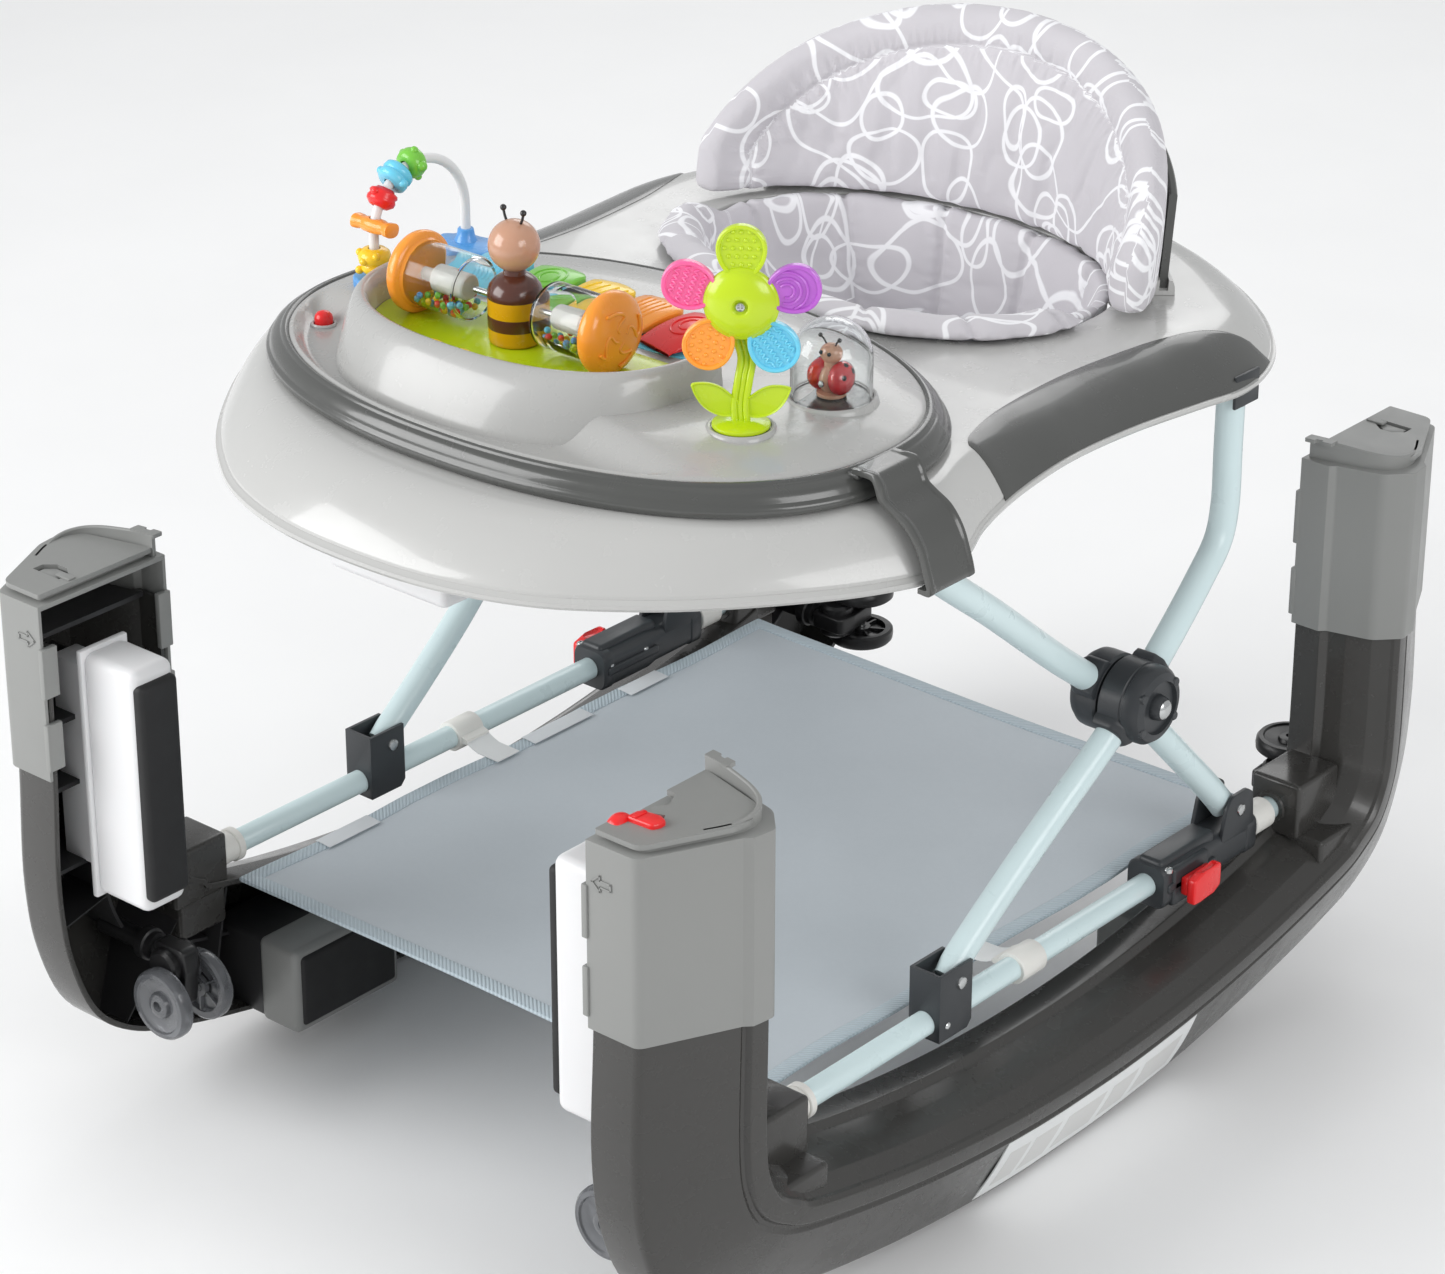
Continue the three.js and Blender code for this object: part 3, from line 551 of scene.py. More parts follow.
def stations():
    front = [(np.array((-o[0], o[1]), float), np.array((-i[0], i[1]), float)) for o, i in HALF]
    runner = [runner_pair(y) for y in (-300, -250, -195, -140, -85, -30)]
    half = front + runner
    rear = [(np.array((-o[0], o[1])), np.array((-i[0], i[1]))) for o, i in half[::-1]]
    pairs = half + rear
    both_ = [np.concatenate(p) for p in pairs]
    dense = catmull(both_, 6)
    out = []
    for p in dense:
        o, i = p[:2].copy(), p[2:].copy()
        o[1] = max(o[1], 0.02)
        out.append((o, i))
    return out


ST = stations()


def on_station(st, x, w):
    o, i = st
    p = o + (i - o) * (w / 99.0)
    return V(x, p[0], p[1])


def between(u):
    """Guide pair at a share of the way along the rocker, front arm top to rear arm top."""
    f = u * (len(ST) - 1)
    k = min(int(f), len(ST) - 2)
    t = f - k
    return (ST[k][0] * (1 - t) + ST[k + 1][0] * t, ST[k][1] * (1 - t) + ST[k + 1][1] * t)


def rail_section():
    outer = [(227.0, 0.0), (261.5, 0.0), (289.0, 56.0), (287.6, 58.6), (288.2, 61.0), (292.2, 62.6), (294.4, 74.0),
             (291.6, 76.6), (289.4, 77.4), (279.0, 84.6), (262.0, 90.6), (250.0, 93.6), (246.6, 98.6), (227.0, 99.0)]
    rad = [1.0, 7.5, 1.2, 0.6, 0.8, 1.6, 1.4, 0.8, 0.8, 5.0, 12.0, 2.0, 1.2, 1.2]
    p = round_poly(outer, rad, 4)
    # a slight crown on the long side
    q = []
    for x, w in p:
        if 6 < w < 54 and x > 262:
            x += 1.3 * math.sin(math.pi * (w - 6) / 48)
        q.append((x, w))
    inner = [(227.0, 95.2), (244.0, 94.6), (249.0, 90.4), (277.4, 81.4), (289.0, 73.0), (286.0, 59.0), (259.2, 3.5), (227.0, 3.5)]
    inner = [(x - (0.6 if x > 280 else 0), w) for x, w in inner]
    return q + inner


SEC = rail_section()
rings = [[on_station(st, x, w) for x, w in SEC] for st in ST]
rail_r = make("rocker_rail_right_body", *loft(rings), MAT["runner"], "rocker_right", "runner_plastic", ["rocker_rail_right"], angle=34)
rail_l = mirrored(rail_r, "rocker_rail_left_body", "rocker_left", ["rocker_rail_left"])


def rib(u, x0=231.5, thick=2.2, w0=3.2, w1=95.3):
    """A cross web inside the channel."""
    L = 1500.0
    sec = [(x0, w0), (259.0, w0), (285.6, 58.8), (288.6, 72.6), (277.6, 81.8), (249.0, 91.0), (x0, min(w1, 94.0))]
    if x0 > 246:
        sec = [(x0, w0), (262.0 if x0 < 262 else x0, w0 + 4), (285.6, 58.8), (288.6, 72.6), (277.6, 81.8), (x0, 90.0)]
    return loft([[on_station(between(u + s * thick / L / 2), x, w) for x, w in sec] for s in (-1, 1)])


def u_at(y, z):
    """Share of the way along whose outer guide point is nearest to (y, z)."""
    best = min(range(len(ST)), key=lambda k: (ST[k][0][0] - y) ** 2 + (ST[k][0][1] - z) ** 2)
    return best / (len(ST) - 1)


rib_parts = []
for z in (348, 296, 244, 192, 140):
    y = -399 if z > 160 else (-400 if z > 130 else -394)
    for sgn in (1, -1):
        u = u_at(y, z)
        rib_parts.append(rib(u if sgn > 0 else 1 - u, 239.0 if z > 190 else 241.0))
for y in (-352, -316, -276, -262, -140, -104, -68, -32, 0, 32, 68, 104, 140, 262, 276, 316, 352):
    if abs(y) in (262,):
        continue
    rib_parts.append(rib(u_at(y, runner_pair(max(-300, min(300, y)))[0][1] if abs(y) <= 300 else 54), 233.0))
# lengthwise web halfway across the channel
web = []
for k in range(2, len(ST) - 2):
    st = ST[k]
    web.append([on_station(st, 244.0, 50.4), on_station(st, 284.4, 50.4), on_station(st, 284.4, 52.6), on_station(st, 244.0, 52.6)])
rib_parts.append(loft(web))
both("rocker_ribs", merge(*rib_parts), MAT["inside"], "rocker_{}", "runner_plastic", angle=30)


def socket_block(sg):
    """Block that holds the tube end, with its mouth ring."""
    y0, y1 = 256.0, 303.5
    body = make("tool_block", *boxm(229, 268, y0, y1, 124, 165), None)
    m = body.modifiers.new("Bevel", "BEVEL")
    m.width, m.segments = 3.2 * MM, 4
    bake(body)
    hole = tool(lathe([(0, 240), (TUBE_R + 0.4, 240), (TUBE_R + 0.4, 306), (0, 306)], 32, "y", (TUBE_X, 0, TUBE_Z)))
    boolean(body, hole)
    foot = boxm(229.5, 286, 259, 300, 100, 128)
    lip = lathe([(TUBE_R + 0.4, y0 - 1.6), (TUBE_R + 3.2, y0 - 1.6), (TUBE_R + 4.2, y0 + 1), (TUBE_R + 0.4, y0 + 1), (TUBE_R + 0.4, y0 - 1.6)], 40, "y", (TUBE_X, 0, TUBE_Z))
    f = make("tool_foot", *foot, None, bevel=3, seg=3)
    l = make("tool_lip", *lip, None)
    return join_objects("socket_block", [body, f, l])


def join_objects(name, objs):
    bm = bmesh.new()
    for o in objs:
        bm.from_mesh(o.data)
    me = bpy.data.meshes.new(name)
    bm.to_mesh(me)
    bm.free()
    for o in objs:
        bpy.data.objects.remove(o)
    new = bpy.data.objects.new(name, me)
    ROOT.objects.link(new)
    return new


blk = socket_block(1)
finishing(blk, MAT["runner"], 34)
blk.name = "tube_socket_rear_right"
place(blk, "rocker_right")
for nm, body, x, y in (("tube_socket_rear_left", "rocker_left", True, False), ("tube_socket_front_right", "rocker_right", False, True),
                       ("tube_socket_front_left", "rocker_left", True, True)):
    me = blk.data.copy()
    sx, sy = (-1 if x else 1), (-1 if y else 1)
    me.transform(Matrix.Diagonal((sx, sy, 1, 1)))
    if sx * sy < 0:
        me.flip_normals()
    o = bpy.data.objects.new(nm, me)
    ROOT.objects.link(o)
    place(o, body)


def four(name, part, mat, body, slot, node=None, **k):
    """A piece made for the front right corner, repeated at the other three."""
    base = make(name.format("front", "right"), part[0], part[1], mat, body.format("front", "right"), slot, [node.format("front", "right")] if node else [], **k)
    return spread(base, name, body, node)


def spread(base, name, body, node=None):
    for e, s, x, y in (("front", "left", True, False), ("rear", "right", False, True), ("rear", "left", True, True)):
        mirrored(base, name.format(e, s), body.format(e, s), [node.format(e, s)] if node else [], x=x, y=y)
    return base


# runner stop pads between the arms: a pale housing with a rubber block
pad_rows = []
four("runner_stop_{}_{}", boxm(179, 258, -246, -154, 27, 87), MAT["inside"], "rocker_{1}".replace("{1}", "{1}"), "runner_plastic", bevel=3, seg=3)
four("runner_stop_case_{}_{}", boxm(178.6, 214, -248, -152, 25.5, 88.4), MAT["cap"], "rocker_{1}", "cap_plastic", bevel=5, seg=4)
four("runner_stop_rubber_{}_{}", boxm(176.4, 200, -243, -157, 31, 83), MAT["rubber"], "rocker_{1}", "pad_white", bevel=3.2, seg=4)

# ------------------------------------------------------------------ arm stop pads
case = make("front_stop_pad_right_case", *boxm(174, 222, -375, -340, 172, 341), None, bevel=7, seg=5, bevel_angle=60)
lip = make("tool_lip", *boxm(219, 223.5, -377, -338, 170, 343), None, bevel=1.2, seg=2)
neck = make("tool_neck", *boxm(222, 258, -368, -347, 186, 327), None, bevel=1.5, seg=2)
case = join_objects("front_stop_pad_right_case", [case, lip, neck])
finishing(case, MAT["white"], 34)
place(case, "rocker_right", ["front_stop_pad_right"])
mirrored(case, "front_stop_pad_left_case", "rocker_left", ["front_stop_pad_left"])
both("front_stop_pad_rubber", boxm(169.2, 179, -373.4, -341.6, 181, 332), MAT["rubber"], "rocker_{}", "pad_white", bevel=4.2, seg=5)

# ------------------------------------------------------------------ arm caps
def grown(poly, d):
    n, out = len(poly), []
    for i in range(n):
        a, b, c = Vector(poly[i - 1]), Vector(poly[i]), Vector(poly[(i + 1) % n])
        e1, e2 = (b - a).normalized(), (c - b).normalized()
        n1, n2 = Vector((e1.y, -e1.x)), Vector((e2.y, -e2.x))
        k = d / (1 + n1.dot(n2))
        p = b + (n1 + n2) * k
        out.append((p.x, p.y))
    return out


CAP_CORE = [(227.0, -399.0), (261.5, -399.0), (288.6, -342.6), (292.6, -338.6), (294.4, -325.5), (281.0, -311.4), (250.0, -303.8), (246.5, -300.2), (227.0, -300.2)]
cap_out = grown(CAP_CORE, 3.0)
cap_out[0], cap_out[-1] = (226.0, cap_out[0][1]), (226.0, cap_out[-1][1])
cap_out = round_poly(cap_out, [0.6, 7.5, 1.0, 1.5, 6.0, 14.0, 4.0, 1.2, 0.8], 6)
cap_in = grown(CAP_CORE, 0.5)
cap_in[0], cap_in[-1] = (216.0, cap_in[0][1]), (216.0, cap_in[-1][1])
cap_in = round_poly(cap_in, [0.2, 7.0, 0.8, 1.0, 6.0, 13.0, 3.0, 0.8, 0.2], 6)
cap_base = make("tool_cap", *prism(cap_out, CAP_Z0, CAP_Z1, xy), None)
boolean(cap_base, tool(prism(cap_in, CAP_Z0 - 6, CAP_Z1 - 3.2, xy)))
# lips folded over the open side
lips = [boxm(223.4, 227.6, -403.4, -391, 268, 300), boxm(223.4, 227.6, -403.4, -391, 318, 352), boxm(223.4, 227.6, -307, -296.8, 266, 300), boxm(223.4, 227.6, -307, -296.8, 318, 356)]
# top plate, standing off the cap by a shadow gap
plate = grown(CAP_CORE, 1.8)
plate[0], plate[-1] = (228.5, plate[0][1]), (228.5, plate[-1][1])


def cap_top(with_latch):
    """Top plate with its notch, and the flange along the inner wall."""
    notch_y0, notch_y1 = -377.0, -334.0
    pl = [(229.5, -398.0), (262.0, -398.0), (286.5, -347.5), (288.5, -335.0), (281.5, -318.5), (229.5, -304.6)]
    low = round_poly([(x - 1.0 if x > 250 else x, y + (1.0 if y < -380 else (-0.8 if y > -310 else 0))) for x, y in pl], [1, 10, 14, 8, 14, 1], 6)
    top = make("tool_top", *prism(round_poly(pl, [1.5, 10, 14, 8, 14, 1.5], 6), CAP_Z1 + 3.0, CAP_Z1 + 6.2, xy), None)
    neck_ = make("tool_neck", *prism([(x, y) for x, y in low], CAP_Z1 - 1.0, CAP_Z1 + 3.4, xy), None)
    me = bmesh.new()
    # neck is narrower than the plate
    neck_.data.transform(Matrix.Translation((0.262, -0.35, 0)) @ Matrix.Diagonal((0.90, 0.93, 1, 1)) @ Matrix.Translation((-0.262, 0.35, 0)))
    if with_latch:
        nt_ = [(214, -381), (236, -381), (243, -374.5), (248, -377), (253.5, -369), (248.5, -361), (241, -364), (236, -357), (214, -357)]
        nt2 = [(214, -357.5), (237, -357.5), (242, -350), (236, -338), (214, -338)]
    else:
        nt_ = [(238, -374), (262, -374), (262, -366), (255, -360), (246, -360), (238, -366)]
        nt2 = None
    for q in (nt_, nt2):
        if q:
            boolean(top, tool(prism(q, CAP_Z1 - 4, CAP_Z1 + 12, xy)))
            boolean(neck_, tool(prism(q, CAP_Z1 + 0.4, CAP_Z1 + 12, xy)))
    # flange: path along the inner wall, round to the side, sinking into the plate
    path = [(229.0, -303.4), (240, -304.6), (256, -308.0), (270, -312.0), (279.5, -317.5), (285.0, -326), (285.4, -336), (282, -347), (275.5, -360)]
    pts = catmull([np.array(p) for p in path], 5)
    rings = []
    for k, p in enumerate(pts):
        t = k / (len(pts) - 1)
        a, b = pts[max(k - 1, 0)], pts[min(k + 1, len(pts) - 1)]
        d = (b - a) / np.linalg.norm(b - a)
        nrm = np.array((-d[1], d[0]))
        h = 6.2 + 8.6 * (1 - min(1, max(0, (t - 0.12) / 0.72))) ** 0.9 if t > 0.12 else 14.8
        w = 3.0
        z0, z1 = CAP_Z1 - 0.5, CAP_Z1 + h
        o1, o2 = p - nrm * w / 2, p + nrm * w / 2
        rings.append([V(o1[0], o1[1], z0), V(o2[0], o2[1], z0), V(o2[0], o2[1], z1 - 0.8), V(*(p + nrm * w * 0.25), z1), V(*(p - nrm * w * 0.25), z1), V(o1[0], o1[1], z1 - 0.8)])
    fl = make("tool_flange", *loft(rings), None)
    # folded-over tab at the open end of the flange
    tab = make("tool_tab", *prism(round_poly([(228, -304.5), (247, -307.2), (247, -299.6), (240, -298.6), (240, -300.8), (235, -300.0), (235, -297.6), (228, -296.8)], 0.6, 2), CAP_Z1 + 12.4, CAP_Z1 + 15.0, xy), None)
    parts = [top, neck_, fl, tab]
    if not with_latch:
        lever = make("tool_lever", *merge(
            prism([(241, -372.5), (259, -372.5), (259, -367.5), (253.5, -362.5), (247, -362.5), (241, -367.5)], CAP_Z1 + 0.5, CAP_Z1 + 5.0, xy),
            boxm(231, 244, -372, -366, CAP_Z1 + 5.6, CAP_Z1 + 7.4)), None, bevel=0.8)
        parts.append(lever)
    me.free()
    return parts


def arrow(fx):
    """Raised arrow outline on the cap's front face."""
    a = [(0, 0), (6, 5), (6, 2), (14, 2), (14, -2), (6, -2), (6, -5)]
    strips = []
    for i in range(len(a)):
        p, q = Vector(a[i]), Vector(a[(i + 1) % len(a)])
        d = (q - p).normalized()
        nn = Vector((-d.y, d.x)) * 0.45
        quad = [p - nn - d * 0.3, q - nn + d * 0.3, q + nn + d * 0.3, p + nn - d * 0.3]
        strips.append(prism([(fx + v.x, 356 + v.y) for v in quad], -402.8, -401.6, xz))
    return merge(*strips)


def full_cap(name, with_latch, mirror_x, mirror_y, body, node):
    core = bpy.data.objects.new("tool_core", cap_base.data.copy())
    ROOT.objects.link(core)
    m = core.modifiers.new("Bevel", "BEVEL")
    m.width, m.segments, m.limit_method, m.angle_limit = 1.0 * MM, 2, "ANGLE", math.radians(50)
    bake(core)
    ls = make("tool_lips", *merge(*lips), None, bevel=0.8)
    parts = [core, ls] + cap_top(with_latch) + [make("tool_arrow", *arrow(231.0), None)]
    # a small moulded mark near the foot of the side face
    parts.append(make("tool_mark", *boxm(272.4, 274.2, -378.6, -377.4, CAP_Z0 + 1, CAP_Z0 + 1.5), None))
    cap = join_objects(name, parts)
    sx, sy = (-1 if mirror_x else 1), (-1 if mirror_y else 1)
    cap.data.transform(Matrix.Diagonal((sx, sy, 1, 1)))
    if sx * sy < 0:
        cap.data.flip_normals()
    finishing(cap, MAT["cap"], 36)
    place(cap, body, [node])
    return cap


full_cap("front_cap_right_cover", True, False, False, "rocker_right", "front_cap_right")
full_cap("front_cap_left_cover", False, True, False, "rocker_left", "front_cap_left")
full_cap("rear_cap_right_cover", False, False, True, "rocker_right", "rear_cap_right")
full_cap("rear_cap_left_cover", True, True, True, "rocker_left", "rear_cap_left")
bpy.data.objects.remove(cap_base)

# red joining latches: a rounded hood at the open side and a block behind it
hood = []
for y in np.linspace(-389, -373, 9):
    t = (y + 381) / 8.2
    r = 7.6 * math.sqrt(max(0.02, 1 - t * t * 0.9))
    hood.append([V(232.5 + 0.0, y, CAP_Z1 + 0.8), V(226.6 + 2.2 * abs(t), y, CAP_Z1 + 0.8), V(226.2 + 2.2 * abs(t), y, CAP_Z1 + 3 + r * 0.35), V(228.6 + 1.2 * abs(t), y, CAP_Z1 + 3 + r * 0.78),
                 V(233.0, y, CAP_Z1 + 3 + r * 0.95), V(238.0, y, CAP_Z1 + 3 + r * 0.7), V(239.0, y, CAP_Z1 + 0.8)])
hood_o = make("tool_hood", *loft(hood), None, sub=2, angle=180)
blk_o = make("tool_blk", *prism([(236.5, -380), (255, -379), (257, -374), (256.5, -369), (251, -366.5), (240, -368), (236.5, -371)], CAP_Z1 + 0.8, CAP_Z1 + 9.6, xy), None, bevel=1.8, seg=3)
ridge = make("tool_ridge", *boxm(240, 243.2, -379.4, -369.4, CAP_Z1 + 9, CAP_Z1 + 10.6), None, bevel=0.7)
foot_o = make("tool_foot", *boxm(231, 251, -378, -360, CAP_Z1 + 0.6, CAP_Z1 + 3.2), None, bevel=0.8)
latch = join_objects("joining_latch_front_lever", [hood_o, blk_o, ridge, foot_o])
finishing(latch, MAT["red"], 38)
place(latch, "joining_latch_front", ["joining_latch_front"])
mirrored(latch, "joining_latch_rear_lever", "joining_latch_rear", ["joining_latch_rear"], x=True, y=True)

# ------------------------------------------------------------------ castors
fork_parts = []
stem = make("tool_stem", *lathe([(0, 199), (6.4, 199), (7, 200.5), (7, 214), (9.5, 214.8), (9.5, 219.5), (11, 220.4), (11, 226.6), (7, 227.4), (7, 266), (0, 266)], 32, "x", (0, -CASTOR_Y, CASTOR_Z)), None)
arch_poly = round_poly([(184, CASTOR_Z + 9.5), (183, CASTOR_Z - 6), (186.5, CASTOR_Z - TRAIL - 6.5), (198.5, CASTOR_Z - TRAIL - 7), (203, CASTOR_Z - TRAIL + 4), (212, CASTOR_Z - 9), (212, CASTOR_Z + 9.5)], [5, 6, 5, 5, 8, 4, 4], 5)
body_ = make("tool_body", *prism(arch_poly, -CASTOR_Y - 6.2, -CASTOR_Y + 6.2, xz), None, bevel=1.4, seg=3)
hood_c = make("tool_hoodc", *lathe([(0, -12.5), (10.5, -12.5), (12.5, -10.5), (12.5, 10.5), (10.5, 12.5), (0, 12.5)], 36, "y", (CASTOR_X + 6.5, -CASTOR_Y, CASTOR_Z - 5)), None)
bolt = make("tool_bolt", *lathe([(0, -8.2), (3.6, -8.0), (3.6, 8.0), (0, 8.2)], 12, "y", (CASTOR_X + 6.5, -CASTOR_Y, CASTOR_Z - 4)), None)
fork = join_objects("front_castor_fork_right_body", [stem, body_, hood_c])
finishing(fork, MAT["black"], 36)
bpy.data.objects.remove(bolt)
place(fork, "front_castor_fork_right", ["front_castor_fork_right"])


def wheel(sgn):
    """One disc of the twin wheel: tyre, dished web with ribs, hub."""
    h = WHEEL_GAP / 2
    prof = [(3.6, h), (7.2, h), (7.6, h + 3.2), (17.8, h + 4.0), (18.6, h + 0.4), (22.6, h), (24.2, h + 1.4), (24.5, h + 4.6), (24.0, h + 8.2), (22.4, h + 10.2),
            (19.4, h + 10.5), (18.4, h + 9.2), (9.2, h + 7.6), (8.2, h + 9.9), (6.0, h + 10.5), (3.6, h + 10.5), (3.6, h)]
    v, f = lathe(prof, 56, "y", (0, 0, 0))
    parts = [(v, f)]
    for k in range(6):
        a = k * math.pi / 3
        bx = boxm(7.0, 18.4, -0.7, 0.7, h + 1.0, h + 3.9)
        c, s = math.cos(a), math.sin(a)
        parts.append(moved(bx, lambda p, c=c, s=s: V(p.x * s - p.y * c, p.z, p.x * c + p.y * s)))
    v, f = merge(*parts)
    return [V(p.x, p.y * sgn, p.z) for p in v], f


def swing(obj, deg):
    """The front right castor's mesh turned about its stem and mirrored to the rear."""
    m = Matrix.Translation((0, -CASTOR_Y * MM, CASTOR_Z * MM)) @ Matrix.Rotation(math.radians(deg), 4, "X") @ Matrix.Translation((0, CASTOR_Y * MM, -CASTOR_Z * MM))
    obj.data.transform(m)
    obj.data.transform(Matrix.Diagonal((1, -1, 1, 1)))
    obj.data.flip_normals()


def clone(obj, name):
    o = bpy.data.objects.new(name, obj.data.copy())
    ROOT.objects.link(o)
    return o


wheels = make("front_castor_wheels_right_pair", *moved(merge(wheel(1), wheel(-1)), lambda p: V(p.x + CASTOR_X, p.y - CASTOR_Y, p.z + CASTOR_Z - TRAIL)), MAT["smoke"], None, angle=34)
axle = make("front_castor_axle_right", *moved(merge(
    lathe([(0, -19.2), (2.0, -19.4), (3.3, -18.6), (3.3, 18.6), (2.0, 19.4), (0, 19.2)], 20, "y"),
    lathe([(3.3, -18.9), (4.6, -18.9), (4.6, -17.8), (3.3, -17.8), (3.3, -18.9)], 24, "y"), lathe([(3.3, 17.8), (4.6, 17.8), (4.6, 18.9), (3.3, 18.9), (3.3, 17.8)], 24, "y")),
    lambda p: V(p.x + CASTOR_X, p.y - CASTOR_Y, p.z + CASTOR_Z - TRAIL)), MAT["steel"], None, angle=34)
hubcap = make("front_castor_hubs_right", *moved(merge(*[
    lathe([(q[0], q[1] * sg) for q in ((4.6, 17.6), (4.8, 18.4), (8.4, 18.2), (9.2, 16.8), (9.0, 15.4), (4.6, 15.4), (4.6, 17.6))], 40, "y") for sg in (1, -1)]),
    lambda p: V(p.x + CASTOR_X, p.y - CASTOR_Y, p.z + CASTOR_Z - TRAIL)), MAT["black"], None, angle=34)
for piece, base, slot, m2 in ((wheels, "{}_castor_wheels_{}_pair", "wheel_smoke", "black"), (axle, "{}_castor_axle_{}", "castor_black", None), (hubcap, "{}_castor_hubs_{}", "castor_black", None)):
    rear = clone(piece, base.format("rear", "right"))
    swing(rear, -90)
    if m2:
        rear.data.materials.clear()
        rear.data.materials.append(MAT[m2])
    nf = ["front_castor_wheels_right"] if m2 else []
    nr = ["rear_castor_wheels_right"] if m2 else []
    place(piece, "front_castor_wheels_right", nf)
    place(rear, "rear_castor_wheels_right", nr)
    mirrored(piece, base.format("front", "left"), "front_castor_wheels_left", ["front_castor_wheels_left"] if m2 else [])
    mirrored(rear, base.format("rear", "left"), "rear_castor_wheels_left", ["rear_castor_wheels_left"] if m2 else [])
rear_fork = clone(fork, "rear_castor_fork_right_body")
swing(rear_fork, -90)
place(rear_fork, "rear_castor_fork_right", ["rear_castor_fork_right"])
mirrored(fork, "front_castor_fork_left_body", "front_castor_fork_left", ["front_castor_fork_left"])
mirrored(rear_fork, "rear_castor_fork_left_body", "rear_castor_fork_left", ["rear_castor_fork_left"])

# ------------------------------------------------------------------ base tubes, bushes and collars
tube_part = lathe([(0, -TUBE_END), (TUBE_R - 0.5, -TUBE_END), (TUBE_R, -TUBE_END + 0.6), (TUBE_R, TUBE_END - 0.6), (TUBE_R - 0.5, TUBE_END), (0, TUBE_END)], 48, "y", (TUBE_X, 0, TUBE_Z))
both("base_tube_body", tube_part, MAT["tube"], "base_frame", "tube_paint", ["base_tube_{}"], angle=40)


def collar(y0, y1, r=10.6, flange=0.0):
    prof = [(TUBE_R + 0.05, y0), (r - 0.6, y0), (r, y0 + 0.6), (r, y1 - 0.6), (r - 0.6, y1), (TUBE_R + 0.05, y1), (TUBE_R + 0.05, y0)]
    return lathe(prof, 48, "y", (TUBE_X, 0, TUBE_Z))


both("tube_bush_front", merge(collar(-254.0, -240.0, 10.4), collar(-240.5, -235.0, 11.6)), MAT["collar"], "base_frame", "pad_white", angle=40)
both("tube_bush_rear", merge(collar(226.0, 247.0, 10.8)), MAT["collar"], "base_frame", "pad_white", angle=40)


def clip_on(y, w=24.0):
    """C-shaped webbing clip round the tube, with its tail towards the mat."""
    c = lathe([(TUBE_R + 0.05, y - w / 2), (10.2, y - w / 2), (10.8, y - w / 2 + 0.8), (10.8, y + w / 2 - 0.8), (10.2, y + w / 2), (TUBE_R + 0.05, y + w / 2), (TUBE_R + 0.05, y - w / 2)], 40, "y", (TUBE_X, 0, TUBE_Z))
    ear_ = prism(round_poly([(228.5, 141.6), (240, 139.4), (240, 148), (229.5, 144.6)], 1.0, 3), y - w / 2 + 1, y + w / 2 - 1, lambda u, v, a: V(u, a, v))
    return merge(c, ear_)


both("mat_clip_middle", clip_on(-19.0), MAT["collar"], "base_frame", "pad_white", angle=40)

# ------------------------------------------------------------------ front brackets
def bracket():
    x0, x1 = TUBE_X - 12, TUBE_X + 12
    y0, y1, z0, z1 = PIV_A[0] - 16, PIV_A[0] + 16, TUBE_Z - 10.5, PIV_A[1] + 16
    o = make("tool_br", *boxm(x0, x1, y0, y1, z0, z1), None)
    boolean(o, tool(boxm(x0 + 2.2, x1 - 2.2, y0 + 2.2, y1 + 8, TUBE_Z + 9.5, z1 + 9)))
    boolean(o, tool(lathe([(0, -150), (TUBE_R + 0.3, -150), (TUBE_R + 0.3, -60), (0, -60)], 32, "y", (TUBE_X, 0, TUBE_Z))))
    boolean(o, tool(prism([(y1 + 4, z0 - 1), (y1 + 4, z0 + 9), (y1 - 5, z0 - 1)], x0 - 4, x1 + 4, yz)))
    m = o.modifiers.new("Bevel", "BEVEL")
    m.width, m.segments, m.limit_method, m.angle_limit = 0.9 * MM, 3, "ANGLE", math.radians(40)
    bake(o)
    return o


def rivet(x, y, z, r=4.6, h=2.4, sg=1):
    """Domed rivet head on a face that looks along X."""
    prof = [(r, 0), (r, 0.5), (r * 0.86, h * 0.72), (r * 0.5, h), (0, h * 1.06)]
    return lathe([(0, 0)] + [(a, b) for a, b in prof], 28, "x", (0, 0, 0)), (x, y, z, sg)


def put_rivets(name, spots, mat, body, slot, n=28):
    parts = []
    for x, y, z, r, h, sg in spots:
        prof = [(0, -0.4), (r, -0.4), (r, 0.5), (r * 0.86, h * 0.72), (r * 0.5, h), (0, h * 1.06)]
        v, f = lathe(prof, n, "x")
        parts.append(([V(x + p.x * sg, y + p.y, z + p.z) for p in v], f))
    return merge(*parts)


br = bracket()
br.name = "front_bracket_right_body"
finishing(br, MAT["bracket"], 36)
place(br, "base_frame", ["front_bracket_right"])
mirrored(br, "front_bracket_left_body", "base_frame", ["front_bracket_left"])
both("bracket_rivets", put_rivets("r", [(TUBE_X + 12, PIV_A[0] + 5, PIV_A[1] + 4, 4.4, 2.2, 1), (TUBE_X - 12, PIV_A[0] + 5, PIV_A[1] + 4, 4.4, 2.2, -1),
                                        (TUBE_X + 12, PIV_A[0] - 8, TUBE_Z - 1, 2.6, 1.4, 1)], None, None, None), MAT["steel"], "base_frame", "tube_paint")

# ------------------------------------------------------------------ scissor legs and hubs
LEG_A = [(245, PIV_A[0] + 4, PIV_A[1] + 3), (245, -78, 182), (248, -20, 225), (255.3, 55, 283.5), (255.3, 91, 310.3), (250, 150, 352), (247.5, 172, 371), (247, 178, 392), (247, 178, 430), (247, 178, 477)]
LEG_B = [(245, PIV_B[0] - 3, PIV_B[1] + 4), (245, 179, 189), (241.5, 150, 221), (235, 112, 263), (234.7, HUB[0] + 12, HUB[1] - 11), (234.7, HUB[0] - 12, HUB[1] + 9), (236, 20, 337), (243, -60, 400), (245, -126, 452), (245, -138, 467)]


